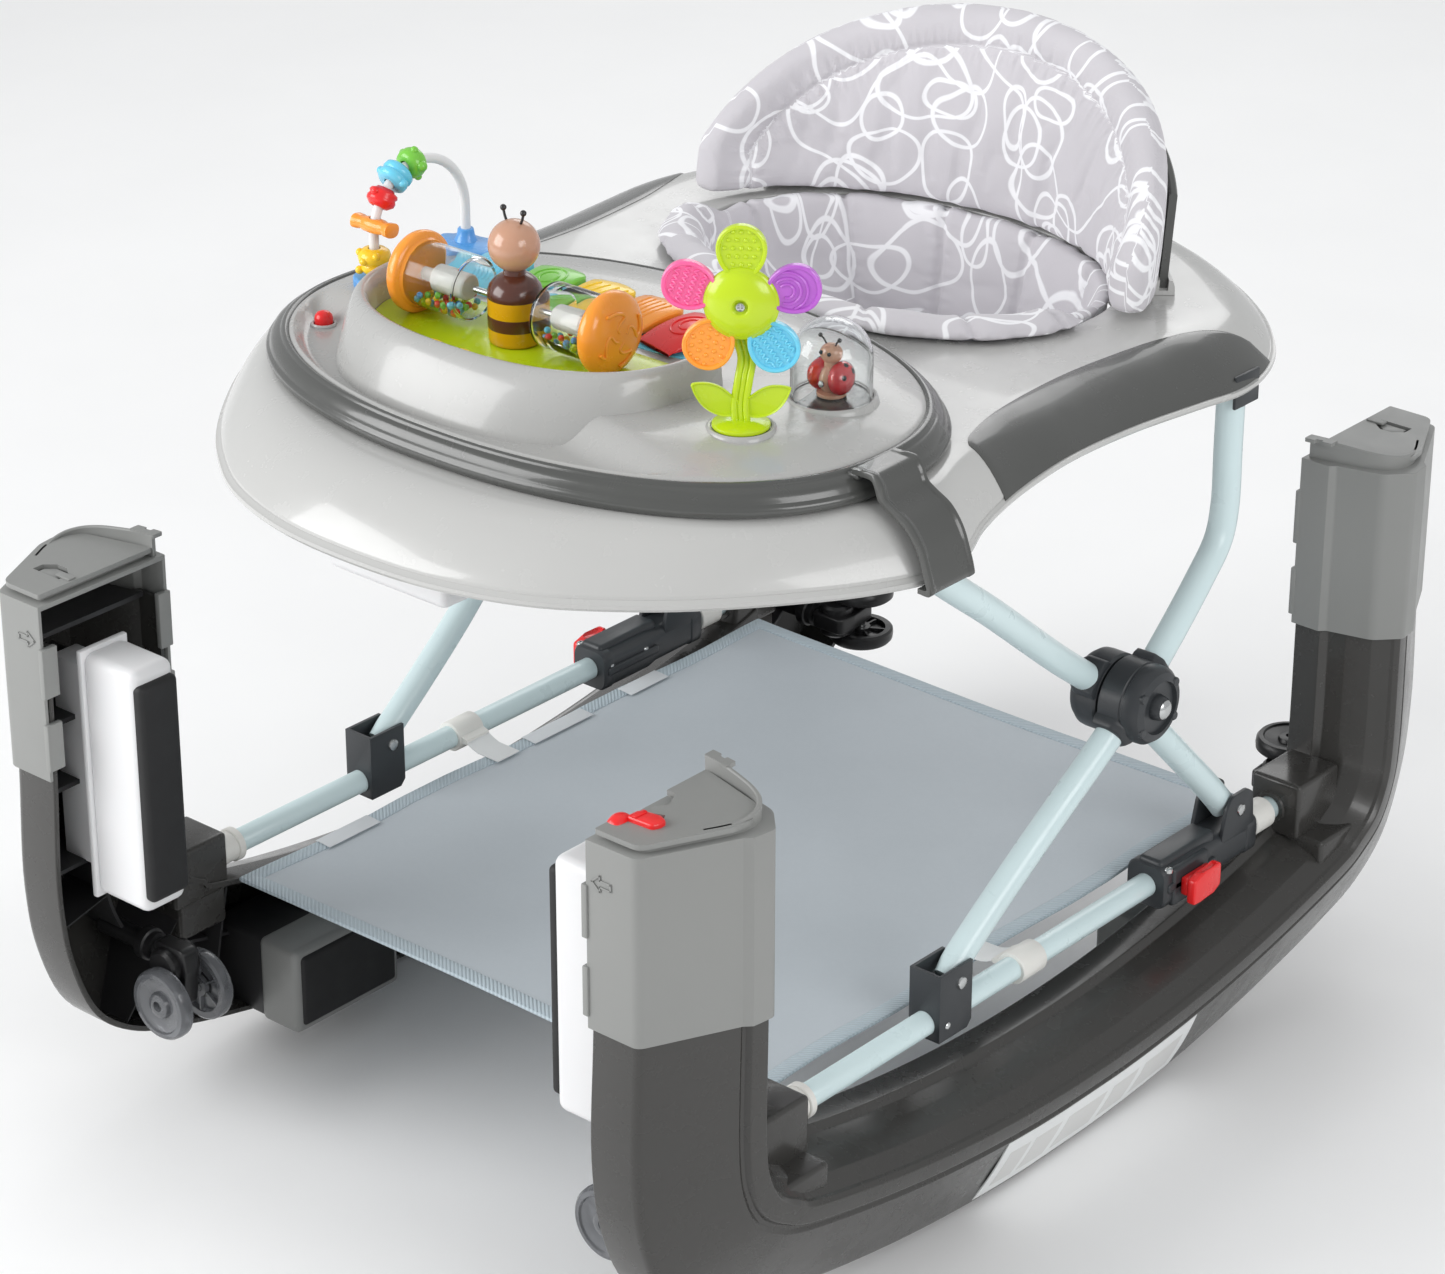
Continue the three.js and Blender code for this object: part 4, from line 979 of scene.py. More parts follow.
def pinched(t):
    """The foot of a leg is pressed flat for its pivot."""
    k = max(0.0, 1 - t / 0.045)
    return (LEG_R * (1 - 0.22 * k), LEG_R * (1 + 0.06 * k))


def leg(points):
    path = catmull(points, 10)
    P, T, Nn = frames(path)
    rings = []
    for i, p in enumerate(P):
        t = T[i]
        u = V(1, 0, 0)
        u = (u - t * u.dot(t)).normalized()
        v = t.cross(u)
        a, b = pinched(i / (len(P) - 1))
        rings.append([p + u * (a * math.cos(2 * math.pi * j / 32)) + v * (b * math.sin(2 * math.pi * j / 32)) for j in range(32)])
    return loft(rings)


both("rear_leg_tube", leg(LEG_A), MAT["tube"], "rear_legs", "tube_paint", ["rear_leg_{}"], angle=50)
both("front_leg_tube", leg(LEG_B), MAT["tube"], "front_legs", "tube_paint", ["front_leg_{}"], angle=50)


def leg_dir(points, y):
    path = catmull(points, 10)
    k = min(range(len(path)), key=lambda i: abs(path[i][1] - y))
    d = path[min(k + 2, len(path) - 1)] - path[max(k - 2, 0)]
    return Vector((0, d[1], d[2])).normalized()


def hub_outer():
    hy, hz = HUB
    prof = [(0, 245.6), (23.6, 245.6), (26, 247.4), (26, 262.6), (25.2, 263.2), (25.2, 264.6), (26, 265.2), (25.6, 271.5), (22.6, 275.6), (17.6, 277.2), (16.8, 274.6), (8.6, 274.2), (7.6, 279.2), (5.8, 281.0), (0, 281.0)]
    disc = make("tool_hub", *lathe(prof, 72, "x", (0, hy, hz)), None)
    d = leg_dir(LEG_A, hy)
    parts = [disc]
    # two sleeves that clamp the tube, one each way
    for sg in (1, -1):
        n = Vector((0, -d.z, d.y))
        sec = [V(246.0, *(n * -13)[1:]), V(246.0, *(n * 13)[1:]), V(262.0, *(n * 13)[1:]), V(268.0, *(n * 8)[1:]), V(268.0, *(n * -8)[1:]), V(262.0, *(n * -13)[1:])]
        rings = []
        for s, k in ((12, 1.0), (25, 1.0), (29.5, 0.86)):
            rings.append([V(p.x if p.x < 250 else 246 + (p.x - 246) * k, hy + p.y * k + d.y * s * sg, hz + p.z * k + d.z * s * sg) for p in sec])
        parts.append(make("tool_sl", *loft(rings), None, bevel=1.2, seg=2))
    for a in (35, 145, 215, 325):
        r = 20.5
        parts.append(make("tool_boss", *lathe([(0, 270), (3.2, 270), (3.2, 276.4), (2.6, 277.2), (0, 277.2)], 18, "x", (0, hy + r * math.cos(math.radians(a)), hz + r * math.sin(math.radians(a)))), None))
    return join_objects("hub", parts)


def hub_inner():
    hy, hz = HUB
    prof = [(0, 221.0), (7, 221.0), (8.4, 222.4), (17, 222.2), (22.6, 223.6), (25.6, 227.8), (26, 231), (26, 243.0), (24.6, 244.7), (0, 244.7)]
    disc = make("tool_hub", *lathe(prof, 72, "x", (0, hy, hz)), None)
    d = leg_dir(LEG_B, hy)
    n = Vector((0, -d.z, d.y))
    parts = [disc]
    for sg in (1, -1):
        sec = [V(244.4, *(n * -13)[1:]), V(244.4, *(n * 13)[1:]), V(229.0, *(n * 13)[1:]), V(223.6, *(n * 8)[1:]), V(223.6, *(n * -8)[1:]), V(229.0, *(n * -13)[1:])]
        rings = []
        for s, k in ((12, 1.0), (25, 1.0), (29.5, 0.86)):
            rings.append([V(p.x if p.x > 240 else 244.4 - (244.4 - p.x) * k, hy + p.y * k + d.y * s * sg, hz + p.z * k + d.z * s * sg) for p in sec])
        parts.append(make("tool_sl", *loft(rings), None, bevel=1.2, seg=2))
    return join_objects("hub", parts)


for nm, fn, body in (("hub_outer_cover", hub_outer, "rear_legs"), ("hub_inner_cover", hub_inner, "front_legs")):
    o = fn()
    o.name = nm + "_right"
    finishing(o, MAT["bracket"], 34)
    place(o, body)
    mirrored(o, nm + "_left", body)
both("hub_bolt", merge(lathe([(0, 279), (6.0, 279.4), (6.4, 280.2), (6.4, 281.0), (4.6, 282.6), (2.0, 283.1), (0, 283.1)], 28, "x", (0, *HUB))), MAT["steel"], "rear_legs", "tube_paint")
both("leg_top_rivets", put_rivets("r", [(247 + 9.0, 178, 466, 4.0, 1.8, 1)], None, None, None), MAT["steel"], "rear_legs", "tube_paint")

# ------------------------------------------------------------------ height sliders and their levers
def slider():
    y0, y1, y2 = 113.0, 168.0, 221.0
    sec = round_poly([(-15.5, -15.5), (15.5, -15.5), (15.5, 15.5), (-15.5, 15.5)], 9, 6)
    rings = []
    for y, k, dz in ((y0, 0.93, 0), (y0 + 1.6, 1.0, 0), (y0 + 9, 1.0, 0), (y0 + 10, 0.965, 0), (y1 - 6, 0.965, 0), (y1 + 4, 0.86, 0), (y2 - 12, 0.84, 0), (y2 - 11, 0.89, 0), (y2 - 1.6, 0.89, 0), (y2, 0.83, 0)):
        rings.append([V(TUBE_X + p[0] * k, y, TUBE_Z + p[1] * k + dz) for p in sec])
    body = make("tool_b", *loft(rings), None)
    flange = make("tool_f", *boxm(TUBE_X - 17, TUBE_X + 17, y0 + 3, y1 + 2, TUBE_Z - 3, TUBE_Z + 3.4), None, bevel=1.6, seg=3)
    top = make("tool_t", *boxm(TUBE_X - 9, TUBE_X + 10.5, y0 + 2, y1 + 8, TUBE_Z + 8, TUBE_Z + 18.6), None, bevel=3.4, seg=4)
    side = make("tool_s", *boxm(TUBE_X + 8, TUBE_X + 17, y0 + 8, y0 + 48, TUBE_Z - 14.5, TUBE_Z + 13.0), None, bevel=2.6, seg=3)
    cheeks = []
    for sg in (1, -1):
        pr = round_poly([(PIV_B[0] - 21, TUBE_Z + 6), (PIV_B[0] + 17, TUBE_Z + 6), (PIV_B[0] + 14.5, PIV_B[1] + 11), (PIV_B[0] + 8, PIV_B[1] + 15.5), (PIV_B[0] - 10, PIV_B[1] + 15.5), (PIV_B[0] - 15, PIV_B[1] + 8)], [4, 3, 5, 6, 8, 6], 5)
        a, b = (TUBE_X + 9.8, TUBE_X + 13.2) if sg > 0 else (TUBE_X - 13.2, TUBE_X - 9.8)
        cheeks.append(make("tool_c", *prism(pr, a, b, yz), None, bevel=0.8, seg=2))
    saddle = make("tool_sd", *boxm(TUBE_X - 13, TUBE_X + 13, PIV_B[0] - 20, PIV_B[0] + 17, TUBE_Z + 4, TUBE_Z + 10.2), None, bevel=1.6, seg=2)
    o = join_objects("slider", [body, flange, top, side, saddle] + cheeks)
    return o


sl = slider()
sl.name = "slider_right_body"
finishing(sl, MAT["bracket"], 36)
place(sl, "slider_right", ["slider_right"])
mirrored(sl, "slider_left_body", "slider_left", ["slider_left"])


def screw(x, y, z, r=3.2, h=1.7):
    """Pan head, looking up; screw_obj cuts its cross recess."""
    prof = [(0, -1.2), (r, -1.2), (r, 0.5), (r * 0.9, h * 0.7), (r * 0.6, h), (0, h * 1.05)]
    v, f = lathe(prof, 26, "z", (x, y, z))
    return v, f


def screw_obj(name, spots, body):
    heads = []
    for s in spots:
        h = make("tool_h", *screw(*s), None)
        r = s[3] if len(s) > 3 else 3.2
        cr = tool(merge(boxm(s[0] - r * 0.55, s[0] + r * 0.55, s[1] - r * 0.12, s[1] + r * 0.12, s[2] + 0.6, s[2] + 5)))
        boolean(h, cr)
        cr = tool(merge(boxm(s[0] - r * 0.12, s[0] + r * 0.12, s[1] - r * 0.55, s[1] + r * 0.55, s[2] + 0.6, s[2] + 5)))
        boolean(h, cr)
        heads.append(h)
    o = join_objects(name, heads)
    finishing(o, MAT["steel"], 34)
    place(o, body)
    return o


sc_ = screw_obj("slider_screws_right", [(TUBE_X - 12.8, 121, TUBE_Z + 3.6), (TUBE_X + 13.2, 119, TUBE_Z + 13.0), (TUBE_X + 0.5, 213, TUBE_Z + 14.2), (TUBE_X - 12.8, 158, TUBE_Z + 3.6)], "slider_right")
mirrored(sc_, "slider_screws_left", "slider_left")
both("slider_bolt", put_rivets("r", [(TUBE_X + 13.2, PIV_B[0], PIV_B[1] + 3, 4.4, 2.2, 1), (TUBE_X - 13.2, PIV_B[0], PIV_B[1] + 3, 4.4, 2.2, -1)], None, None, None), MAT["steel"], "slider_{}", "tube_paint")


def lever():
    """Release lever with a scooped thumb pull."""
    base = make("tool_l1", *boxm(TUBE_X + 17.4, TUBE_X + 24.5, 128, 156, TUBE_Z - 7, TUBE_Z + 5.6), None, bevel=1.2, seg=2)
    prof = round_poly([(127.2, TUBE_Z - 11.5), (134, TUBE_Z - 12), (150, TUBE_Z - 11.0), (157, TUBE_Z - 7), (157, TUBE_Z + 9.5), (140, TUBE_Z + 9.8), (127.2, TUBE_Z + 6)], [2, 3, 5, 4, 3, 5, 3], 5)
    knob = make("tool_l2", *prism(prof, TUBE_X + 22.6, TUBE_X + 29.4, yz), None, bevel=1.5, seg=3)
    scoop = tool(([V(TUBE_X + 24.8 + (p.x) * 1.0, 144 + p.y, TUBE_Z + 11.5 + p.z) for p in lathe([(0, -10), (3.2, -9.2), (4.4, -6), (4.6, 0), (4.4, 6), (3.2, 9.2), (0, 10)], 20, "y")[0]], lathe([(0, -10), (3.2, -9.2), (4.4, -6), (4.6, 0), (4.4, 6), (3.2, 9.2), (0, 10)], 20, "y")[1]))
    boolean(knob, scoop)
    return join_objects("lever", [base, knob])


lv = lever()
lv.name = "release_lever_right_body"
finishing(lv, MAT["red"], 36)
place(lv, "release_lever_right", ["release_lever_right"])
mirrored(lv, "release_lever_left_body", "release_lever_left", ["release_lever_left"])


# plain sticker on the outer side of the right rocker
def sticker(y0, y1, w0, w1, lift):
    rows = []
    n = 40
    for k in range(n + 1):
        y = y0 + (y1 - y0) * k / n
        st = tuple(np.array(q) for q in runner_pair(y))
        row = []
        for j in range(9):
            w = w0 + (w1 - w0) * j / 8
            x = 261.5 + (289.0 - 261.5) * w / 56.0 + 1.3 * math.sin(math.pi * (w - 6) / 48) + lift
            row.append(on_station(st, x, w - lift * 0.35))
        rows.append(row)
    return rows


def plate_between(top, low):
    n, m_ = len(top), len(top[0])
    v = [p for r in top for p in r] + [p for r in low for p in r]
    o = n * m_
    f = []
    for i in range(n - 1):
        for j in range(m_ - 1):
            a = i * m_ + j
            f += [(a, a + m_, a + m_ + 1, a + 1), (a + o, a + 1 + o, a + m_ + 1 + o, a + m_ + o)]
    for i in range(n - 1):
        for j in (0, m_ - 1):
            a = i * m_ + j
            f.append((a, a + o, a + m_ + o, a + m_))
    for j in range(m_ - 1):
        for i in (0, n - 1):
            a = i * m_ + j
            f.append((a, a + 1, a + 1 + o, a + o))
    return v, f


make("side_sticker", *plate_between(sticker(-90, 122, 5, 55, 0.35), sticker(-90, 122, 5, 55, -0.5)), MAT["webbing"], "rocker_right", "pad_white", angle=60)
panes = []
for y0, y1 in ((-80, -58), (-52, -24), (-16, 26), (34, 62), (70, 112)):
    panes.append(plate_between(sticker(y0, y1, 13, 43, 0.5), sticker(y0, y1, 13, 43, 0.1)))
make("side_sticker_panes", *merge(*panes), MAT["pane"], "rocker_right", "pad_white", angle=60)


# ------------------------------------------------------------------ seat ring
EDGE = [(0, -357, 466), (62, -352, 466), (120, -333, 466), (160, -307, 466), (194, -277, 466), (232, -232, 466), (259, -192, 466), (275, -155, 467),
        (271, -122, 469), (260, -93, 472), (254, -62, 476), (252, -30, 480), (252, 5, 483), (253, 65, 482), (260, 130, 480), (263, 167, 478),
        (258, 198, 478), (245, 228, 479), (222, 258, 480), (190, 288, 480), (150, 315, 480), (100, 336, 480), (50, 346, 480), (0, 349, 480)]
SHOULDER = [(0, -302), (53, -298), (104, -283), (141, -262), (172, -238), (205, -203), (226, -172), (238, -143), (236, -112), (226, -85), (214, -58),
            (203, -28), (197, 4), (194, 64), (200, 128), (206, 162), (205, 188), (197, 212), (181, 236), (156, 260), (122, 282), (80, 300), (40, 310), (0, 313)]


def opening(x, y, d=0.0):
    """Edge of the seat hole in the direction of (x, y), pushed out by d."""
    t = math.atan2((y - SEAT_Y) / (SEAT_B + d), x / (SEAT_A + d))
    e = 2.2
    k = (abs(math.cos(t)) ** e + abs(math.sin(t)) ** e) ** (-1 / e)
    return (SEAT_A + d) * math.cos(t) * k, SEAT_Y + (SEAT_B + d) * math.sin(t) * k


right = [np.array((*EDGE[i], *SHOULDER[i]), float) for i in range(len(EDGE))]
left = [np.array((-r[0], r[1], r[2], -r[3], r[4])) for r in right[1:-1][::-1]]
PER = 6
GUIDE = catmull(right + left, PER, loop=True)


def ring_at(g, t, dz=0.0, d=0.0):
    lx, ly, lz, sx, sy = g
    ln = math.hypot(lx - sx, ly - sy)
    ux, uy = (lx - sx) / ln, (ly - sy) / ln
    return V(sx + (lx - sx) * t - ux * d, sy + (ly - sy) * t - uy * d, DECK_Z - (DECK_Z - lz) * max(t, 0.0) ** 2.1 - dz)


def ring_sections():
    rings = []
    for g in GUIDE:
        e0, e4 = opening(g[3], g[4]), opening(g[3], g[4], 3.5)
        r = []
        # lower lip: a small rolled bead
        lip = ring_at(g, 1)
        r += [ring_at(g, 1, 3.4, 2.2), ring_at(g, 1, 3.0, 0.2), ring_at(g, 1, 1.2, -0.9), ring_at(g, 1, -0.8, -0.4), ring_at(g, 0.985, -0.1, 0.4)]
        r += [ring_at(g, 0.962, 0.2, 0.5), ring_at(g, 0.952, 0.6, 0.9), ring_at(g, 0.938, 0.1, 0.2)]
        for t in (0.925, 0.85, 0.75, 0.64, 0.53, 0.42, 0.32, 0.22, 0.13, 0.05):
            r.append(ring_at(g, t))
        s = ring_at(g, 0)
        r.append(s)
        for k in (0.25, 0.5, 0.75):
            r.append(V(s.x + (e0[0] - s.x) * k, s.y + (e0[1] - s.y) * k, DECK_Z))
        ex, ey = e0[0] - s.x, e0[1] - s.y
        ln = math.hypot(ex, ey)
        ux, uy = ex / ln, ey / ln
        r += [V(e0[0] - ux * 2.6, e0[1] - uy * 2.6, DECK_Z), V(e0[0] - ux * 0.8, e0[1] - uy * 0.8, DECK_Z - 0.8), V(e0[0], e0[1], DECK_Z - 2.6), V(e0[0], e0[1], DECK_Z - 24)]
        r += [V(e4[0], e4[1], DECK_Z - 24), V(e4[0], e4[1], DECK_Z - 3.5), ring_at(g, 0, 3.5), ring_at(g, 0.2, 3.5, 0.5), ring_at(g, 0.45, 3.5, 1.1), ring_at(g, 0.7, 3.4, 1.8), ring_at(g, 0.9, 3.0, 2.8), ring_at(g, 0.97, 2.0, 3.6)]
        rings.append(r)
    return rings


ring_o = make("seat_ring_shell", *loft(ring_sections(), loop=True), MAT["ring"], "seat", "ring_plastic", ["seat_ring"], angle=42)


def ring_patch(u0, u1, tlow, lift=0.55, thick=1.5, nt=14, nu=70, thigh=lambda s: 0.975):
    """A thin panel on the skirt between two guide positions; tlow(s) is its upper border."""
    top_rows, low_rows = [], []
    for i in range(nu + 1):
        s = i / nu
        u = u0 + (u1 - u0) * s
        f = u * PER
        k = int(math.floor(f))
        fr = f - k
        g = GUIDE[k % len(GUIDE)] * (1 - fr) + GUIDE[(k + 1) % len(GUIDE)] * fr
        a, b = tlow(s), thigh(s)
        rt, rl = [], []
        for j in range(nt + 1):
            v = j / nt
            t = a + (b - a) * v
            edge = min(1.0, min(v, 1 - v) * nt / 1.2, min(s, 1 - s) * nu / 1.6)
            p = ring_at(g, t)
            p2 = ring_at(g, min(t + 0.02, 1.0)) - ring_at(g, max(t - 0.02, 0.0))
            ln = math.hypot(g[0] - g[3], g[1] - g[4])
            out = V((g[0] - g[3]) / ln, (g[1] - g[4]) / ln, 0)
            n = V(-p2.z * out.x, -p2.z * out.y, p2.x * out.x + p2.y * out.y)
            n = n.normalized() if n.length > 1e-6 else V(0, 0, 1)
            if n.z < 0:
                n = -n
            h = lift + thick * 0.5 * edge ** 0.5
            rt.append(p + n * h)
            rl.append(p - n * 0.4)
        top_rows.append(rt)
        low_rows.append(rl)
    m = nt + 1
    verts = [p for r in top_rows for p in r] + [p for r in low_rows for p in r]
    o = m * (nu + 1)
    faces = []
    for i in range(nu):
        for j in range(nt):
            a = i * m + j
            faces.append((a, a + m, a + m + 1, a + 1))
            faces.append((a + o, a + 1 + o, a + m + 1 + o, a + m + o))
    for i in range(nu):
        for j in (0, nt):
            a = i * m + j
            faces.append((a, a + o, a + m + o, a + m))
    for j in range(nt):
        for i in (0, nu):
            a = i * m + j
            faces.append((a, a + 1, a + 1 + o, a + o))
    return verts, faces


def side_low(s):
    """Upper border of the dark side panel: straight along the shoulder, rounded down at the rear."""
    a = 0.10
    front = max(0.0, 1 - s / 0.05)
    rear = max(0.0, (s - 0.66) / 0.34)
    return a + 0.10 * front ** 2 + 0.84 * (1 - math.sqrt(max(0.0, 1 - min(1.0, rear) ** 2.2)))


both("ring_side_panel", ring_patch(9.95, 16.55, side_low, lift=0.35, thick=1.2), MAT["trim"], "seat", "trim_plastic", angle=40)

# moulded ribs under the deck
rib_under = []
for k in range(0, len(GUIDE), 9):
    g = GUIDE[k]
    e4 = opening(g[3], g[4], 4.0)
    a = ring_at(g, 0.0, 3.6)
    b = V(e4[0], e4[1], DECK_Z - 3.6)
    d = (b - a)
    ln = d.length
    if ln < 12:
        continue
    n = V(-d.y, d.x, 0).normalized() * 0.9
    c1, c2 = V(b.x, b.y, DECK_Z - 20), V(a.x, a.y, DECK_Z - 12)
    e = ring_at(g, 0.82, 6.0, 4.0)
    pts = [a, b, c1, c2, e, ring_at(g, 0.8, 3.8, 3.0)]
    v = [p + n for p in pts] + [p - n for p in pts]
    f = [tuple(range(6)), tuple(range(6, 12))[::-1]] + [(i, i + 6, (i + 1) % 6 + 6, (i + 1) % 6) for i in range(6)]
    rib_under.append((v, f))
make("ring_under_ribs", *merge(*rib_under), MAT["ring"], "seat", "ring_plastic", angle=30)

# electronics box under the front of the ring
ebox = [make("tool_e1", *boxm(-62, 36, -314, -262, 427, 484), None, bevel=5, seg=3), make("tool_e2", *boxm(-72, 46, -317, -268, 447, 451), None, bevel=1.5),
        make("tool_e3", *boxm(-52, 26, -308, -272, 424.5, 428), None, bevel=1.2), make("tool_e4", *lathe([(0, 422.5), (3.4, 423), (3.8, 424), (3.8, 428), (0, 428)], 20, "z", (-13, -290, 0)), None)]
eb = join_objects("music_box_case", ebox)
finishing(eb, MAT["white"], 34)
place(eb, "seat")

# leg-top sockets under the ring
for nm, y, body in (("rear", 178.0, "seat"), ("front", -136.0, "seat")):
    x0 = 247.0 if nm == "rear" else 244.5
    z1 = 486 if nm == "rear" else 478
    parts = []
    for sg in (1, -1):
        parts.append(boxm(x0 + sg * 11.0 - 1.2, x0 + sg * 11.0 + 1.2, y - 13, y + 13, z1 - 22, z1))
    both("leg_top_socket_" + nm, merge(*parts), MAT["bracket"], body, "bracket_black", bevel=0.8, seg=2)

# back support tongue behind the cushion
def lean(z):
    return 0.12 * (z - 507)


def wall_rings(a, b, t0, t1, n, section):
    """Upright curved wall; section(s, deg) gives (offset, z) pairs."""
    rings = []
    for i in range(n + 1):
        deg = t0 + (t1 - t0) * i / n
        t = math.radians(deg)
        c, s = math.cos(t), math.sin(t)
        nx, ny = c / a, s / b
        ln = math.hypot(nx, ny)
        rings.append([V(a * c + nx / ln * d, 140 + b * s + ny / ln * d + lean(z), z) for d, z in section(max(s, 0.001), deg)])
    return rings


def support_section(s, deg):
    top = 500 + 112 * s ** 0.8
    return [(-2.6, DECK_Z + 0.4), (2.6, DECK_Z + 0.4), (2.6, top - 1.6), (1.4, top), (-1.4, top), (-2.6, top - 1.6)]


make("seat_back_support_shell", *loft(wall_rings(195.5, 142.5, 33, 147, 60, support_section)), MAT["trim"], "seat", "trim_plastic", ["seat_back_support"], angle=40)


def seat_rail_section(s, deg):
    return [(-7, DECK_Z + 0.3), (7.5, DECK_Z + 0.3), (7.0, DECK_Z + 6), (5.2, DECK_Z + 9.6), (2.9, DECK_Z + 10), (2.9, DECK_Z + 3), (-2.9, DECK_Z + 3), (-2.9, DECK_Z + 10), (-4.6, DECK_Z + 9.6), (-6.4, DECK_Z + 6)]


make("back_support_socket", *loft(wall_rings(195.5, 142.5, 31, 149, 60, seat_rail_section)), MAT["ring"], "seat", "ring_plastic", angle=40)
ribs_b = []
for deg in (48, 69, 90, 111, 132):
    def rs(s, d_, deg=deg):
        top = 500 + 112 * s ** 0.8
        return [(2.4, DECK_Z + 11), (6.0, DECK_Z + 11), (4.8, top - 14), (2.4, top - 9)]
    ribs_b.append(loft(wall_rings(195.5, 142.5, deg - 1.1, deg + 1.1, 2, rs)))
make("back_support_ribs", *merge(*ribs_b), MAT["trim"], "seat", "trim_plastic", bevel=0.6, seg=2)

# ------------------------------------------------------------------ toy tray
def oval(t, a, b, e=2.2):
    c, s = math.cos(t), math.sin(t)
    return a * math.copysign(abs(c) ** (2 / e), c), b * math.copysign(abs(s) ** (2 / e), s)


def tray_ring(k, z, n=160, dx=0.0):
    r = []
    for i in range(n):
        x, y = oval(2 * math.pi * i / n, TRAY_A * k, TRAY_B * k)
        r.append(V(x, TRAY_Y + y, z))
    return r


band = [(0.960, 504.4), (0.986, 504.4), (0.993, 505.4), (0.9985, 507.6), (0.9985, 509.4), (0.995, 511.4), (0.988, 512.3), (0.9865, 512.9), (0.985, 513.9), (0.980, 516.4), (0.970, 518.6), (0.958, 520.2), (0.953, 520.5), (0.9515, 521.0), (0.949, 521.9), (0.944, 522.7), (0.938, 522.9), (0.930, 522.4), (0.926, 521.2), (0.922, 518.0)]
make("tray_trim_band", *loft([tray_ring(k, z) for k, z in band] + [tray_ring(0.93, 508)], loop=True), MAT["trim"], "seat", "trim_plastic", angle=48)
tops = [(0.931, 512.0), (0.9285, 520.6), (0.926, 521.8), (0.920, 522.8), (0.908, 523.8), (0.88, 525.6), (0.84, 528.0), (0.80, 529.9), (0.75, 531.4), (0.70, 532.3), (0.66, 532.7), (0.62, 533.0), (0.40, 533.0), (0.15, 533.0)]
_tk = np.array([q[0] for q in tops][::-1])
_tz = np.array([q[1] for q in tops][::-1])
_apA, _apB = np.array((121.0, -241.0)), np.array((-210.0, -174.0))
_apn = np.array((_apA[1] - _apB[1], _apB[0] - _apA[0]))
_apn = _apn / np.linalg.norm(_apn)
if _apn @ (np.array((0.0, -300.0)) - _apA) < 0:
    _apn = -_apn


def tray_rows(k, z0):
    """Ring of the tray's top; the part in front of the pod lies lower."""
    r = []
    for p_ in tray_ring(k, z0):
        w = min(1.0, max(0.0, (_apn @ (np.array((p_.x, p_.y)) - _apA) + 10.0) / 24.0))
        w = w * w * (3 - 2 * w)
        kk = min(1.0, max(0.0, (0.918 - k) / 0.04))
        low = z0 - (z0 - 516.2) * kk * kk * (3 - 2 * kk)
        r.append(V(p_.x, p_.y, z0 + (low - z0) * w))
    return r


rows_ = [tray_rows(k, z) for k, z in tops[:4]] + [tray_rows(k, float(np.interp(k, _tk, _tz))) for k in np.arange(0.912, 0.14, -0.012)]
tray_top = make("tray_top_shell", *loft(rows_ + [tray_ring(0.10, 533.0)] + [tray_ring(0.10, 514.0), tray_ring(0.931, 508.0)], loop=False), MAT["tray"], None, angle=42)


# raised pod for the drums: crescent wall with an open trough
def pod_plan(hw, back, front, z, n=48, e=2.0):
    r = []
    for i in range(n + 1):
        t = math.pi + i / n * math.pi
        c, s = math.cos(t), math.sin(t)
        r.append(V(POD_X + hw * math.copysign(abs(c) ** (2 / e), c), -152 + front * math.copysign(abs(s) ** (2 / e), s), z))
    r += [V(POD_X + hw, -150 + (back + 150) * 0.35, z), V(POD_X + hw - 4, back + 1.5, z), V(POD_X + hw - 12, back, z), V(POD_X - hw + 12, back, z), V(POD_X - hw + 4, back + 1.5, z), V(POD_X - hw, -150 + (back + 150) * 0.35, z)]
    return r


pod_prof = [(131, 114, 510), (130.6, 113.4, 515.5), (130.2, 112.4, 519), (129.8, 110.6, 524), (129.4, 108, 530), (128.9, 105, 536), (128.3, 101.8, 542), (127.5, 98, 548), (126.5, 94, 552.4), (125, 90.8, 554.6), (123, 88.2, 555.4), (120.8, 86, 554.6), (119.4, 84.6, 552.4), (118.6, 83.6, 547), (117.8, 82.2, 533.6)]


def pod_line(h, f_, z):
    r = [V(q.x + 10, q.y, q.z) for q in pod_plan(h, -139.5, f_, z, e=2.4)[:49]]
    return [V(r[0].x, -139.5, z)] + r + [V(r[-1].x, -139.5, z)]


pod_lines = [pod_line(h, f_, z) for h, f_, z in pod_prof + [(117.6, 82.0, 511.0)]]
pod = make("tray_pod_shell", *loft([[ln[j] for ln in pod_lines] for j in range(len(pod_lines[0]))]), MAT["tray"], None, angle=50)
pads_t = []
for x, y, r in ((FLOWER[0], FLOWER[1], 21.0), (LADY[0], LADY[1], 28.0)):
    inner = r - 3.4
    pads_t.append(make("tool_pad", *lathe([(0, 516), (r + 3, 516), (r + 1.6, 526), (r + 0.6, 529.5), (r, 531.4), (r - 0.6, 533.2), (r - 1.8, 533.9), (inner + 0.5, 533.6), (inner, 532.6), (inner, 531.8), (0, 531.8)], 72, "z", (x, y, 0)), None))
boolean(tray_top, tool(lathe([(0, 509.4), (6.2, 509.4), (6.2, 560), (0, 560)], 40, "z", (-180, -196, 0))))
for o_ in (tray_top, pod):
    bm_ = bmesh.new()
    bm_.from_mesh(o_.data)
    bmesh.ops.recalc_face_normals(bm_, faces=bm_.faces)
    bm_.to_mesh(o_.data)
    bm_.free()
tray_all = join_objects("toy_tray_body", [tray_top, pod] + pads_t)
finishing(tray_all, MAT["tray"], 44)
place(tray_all, "seat", ["toy_tray"])

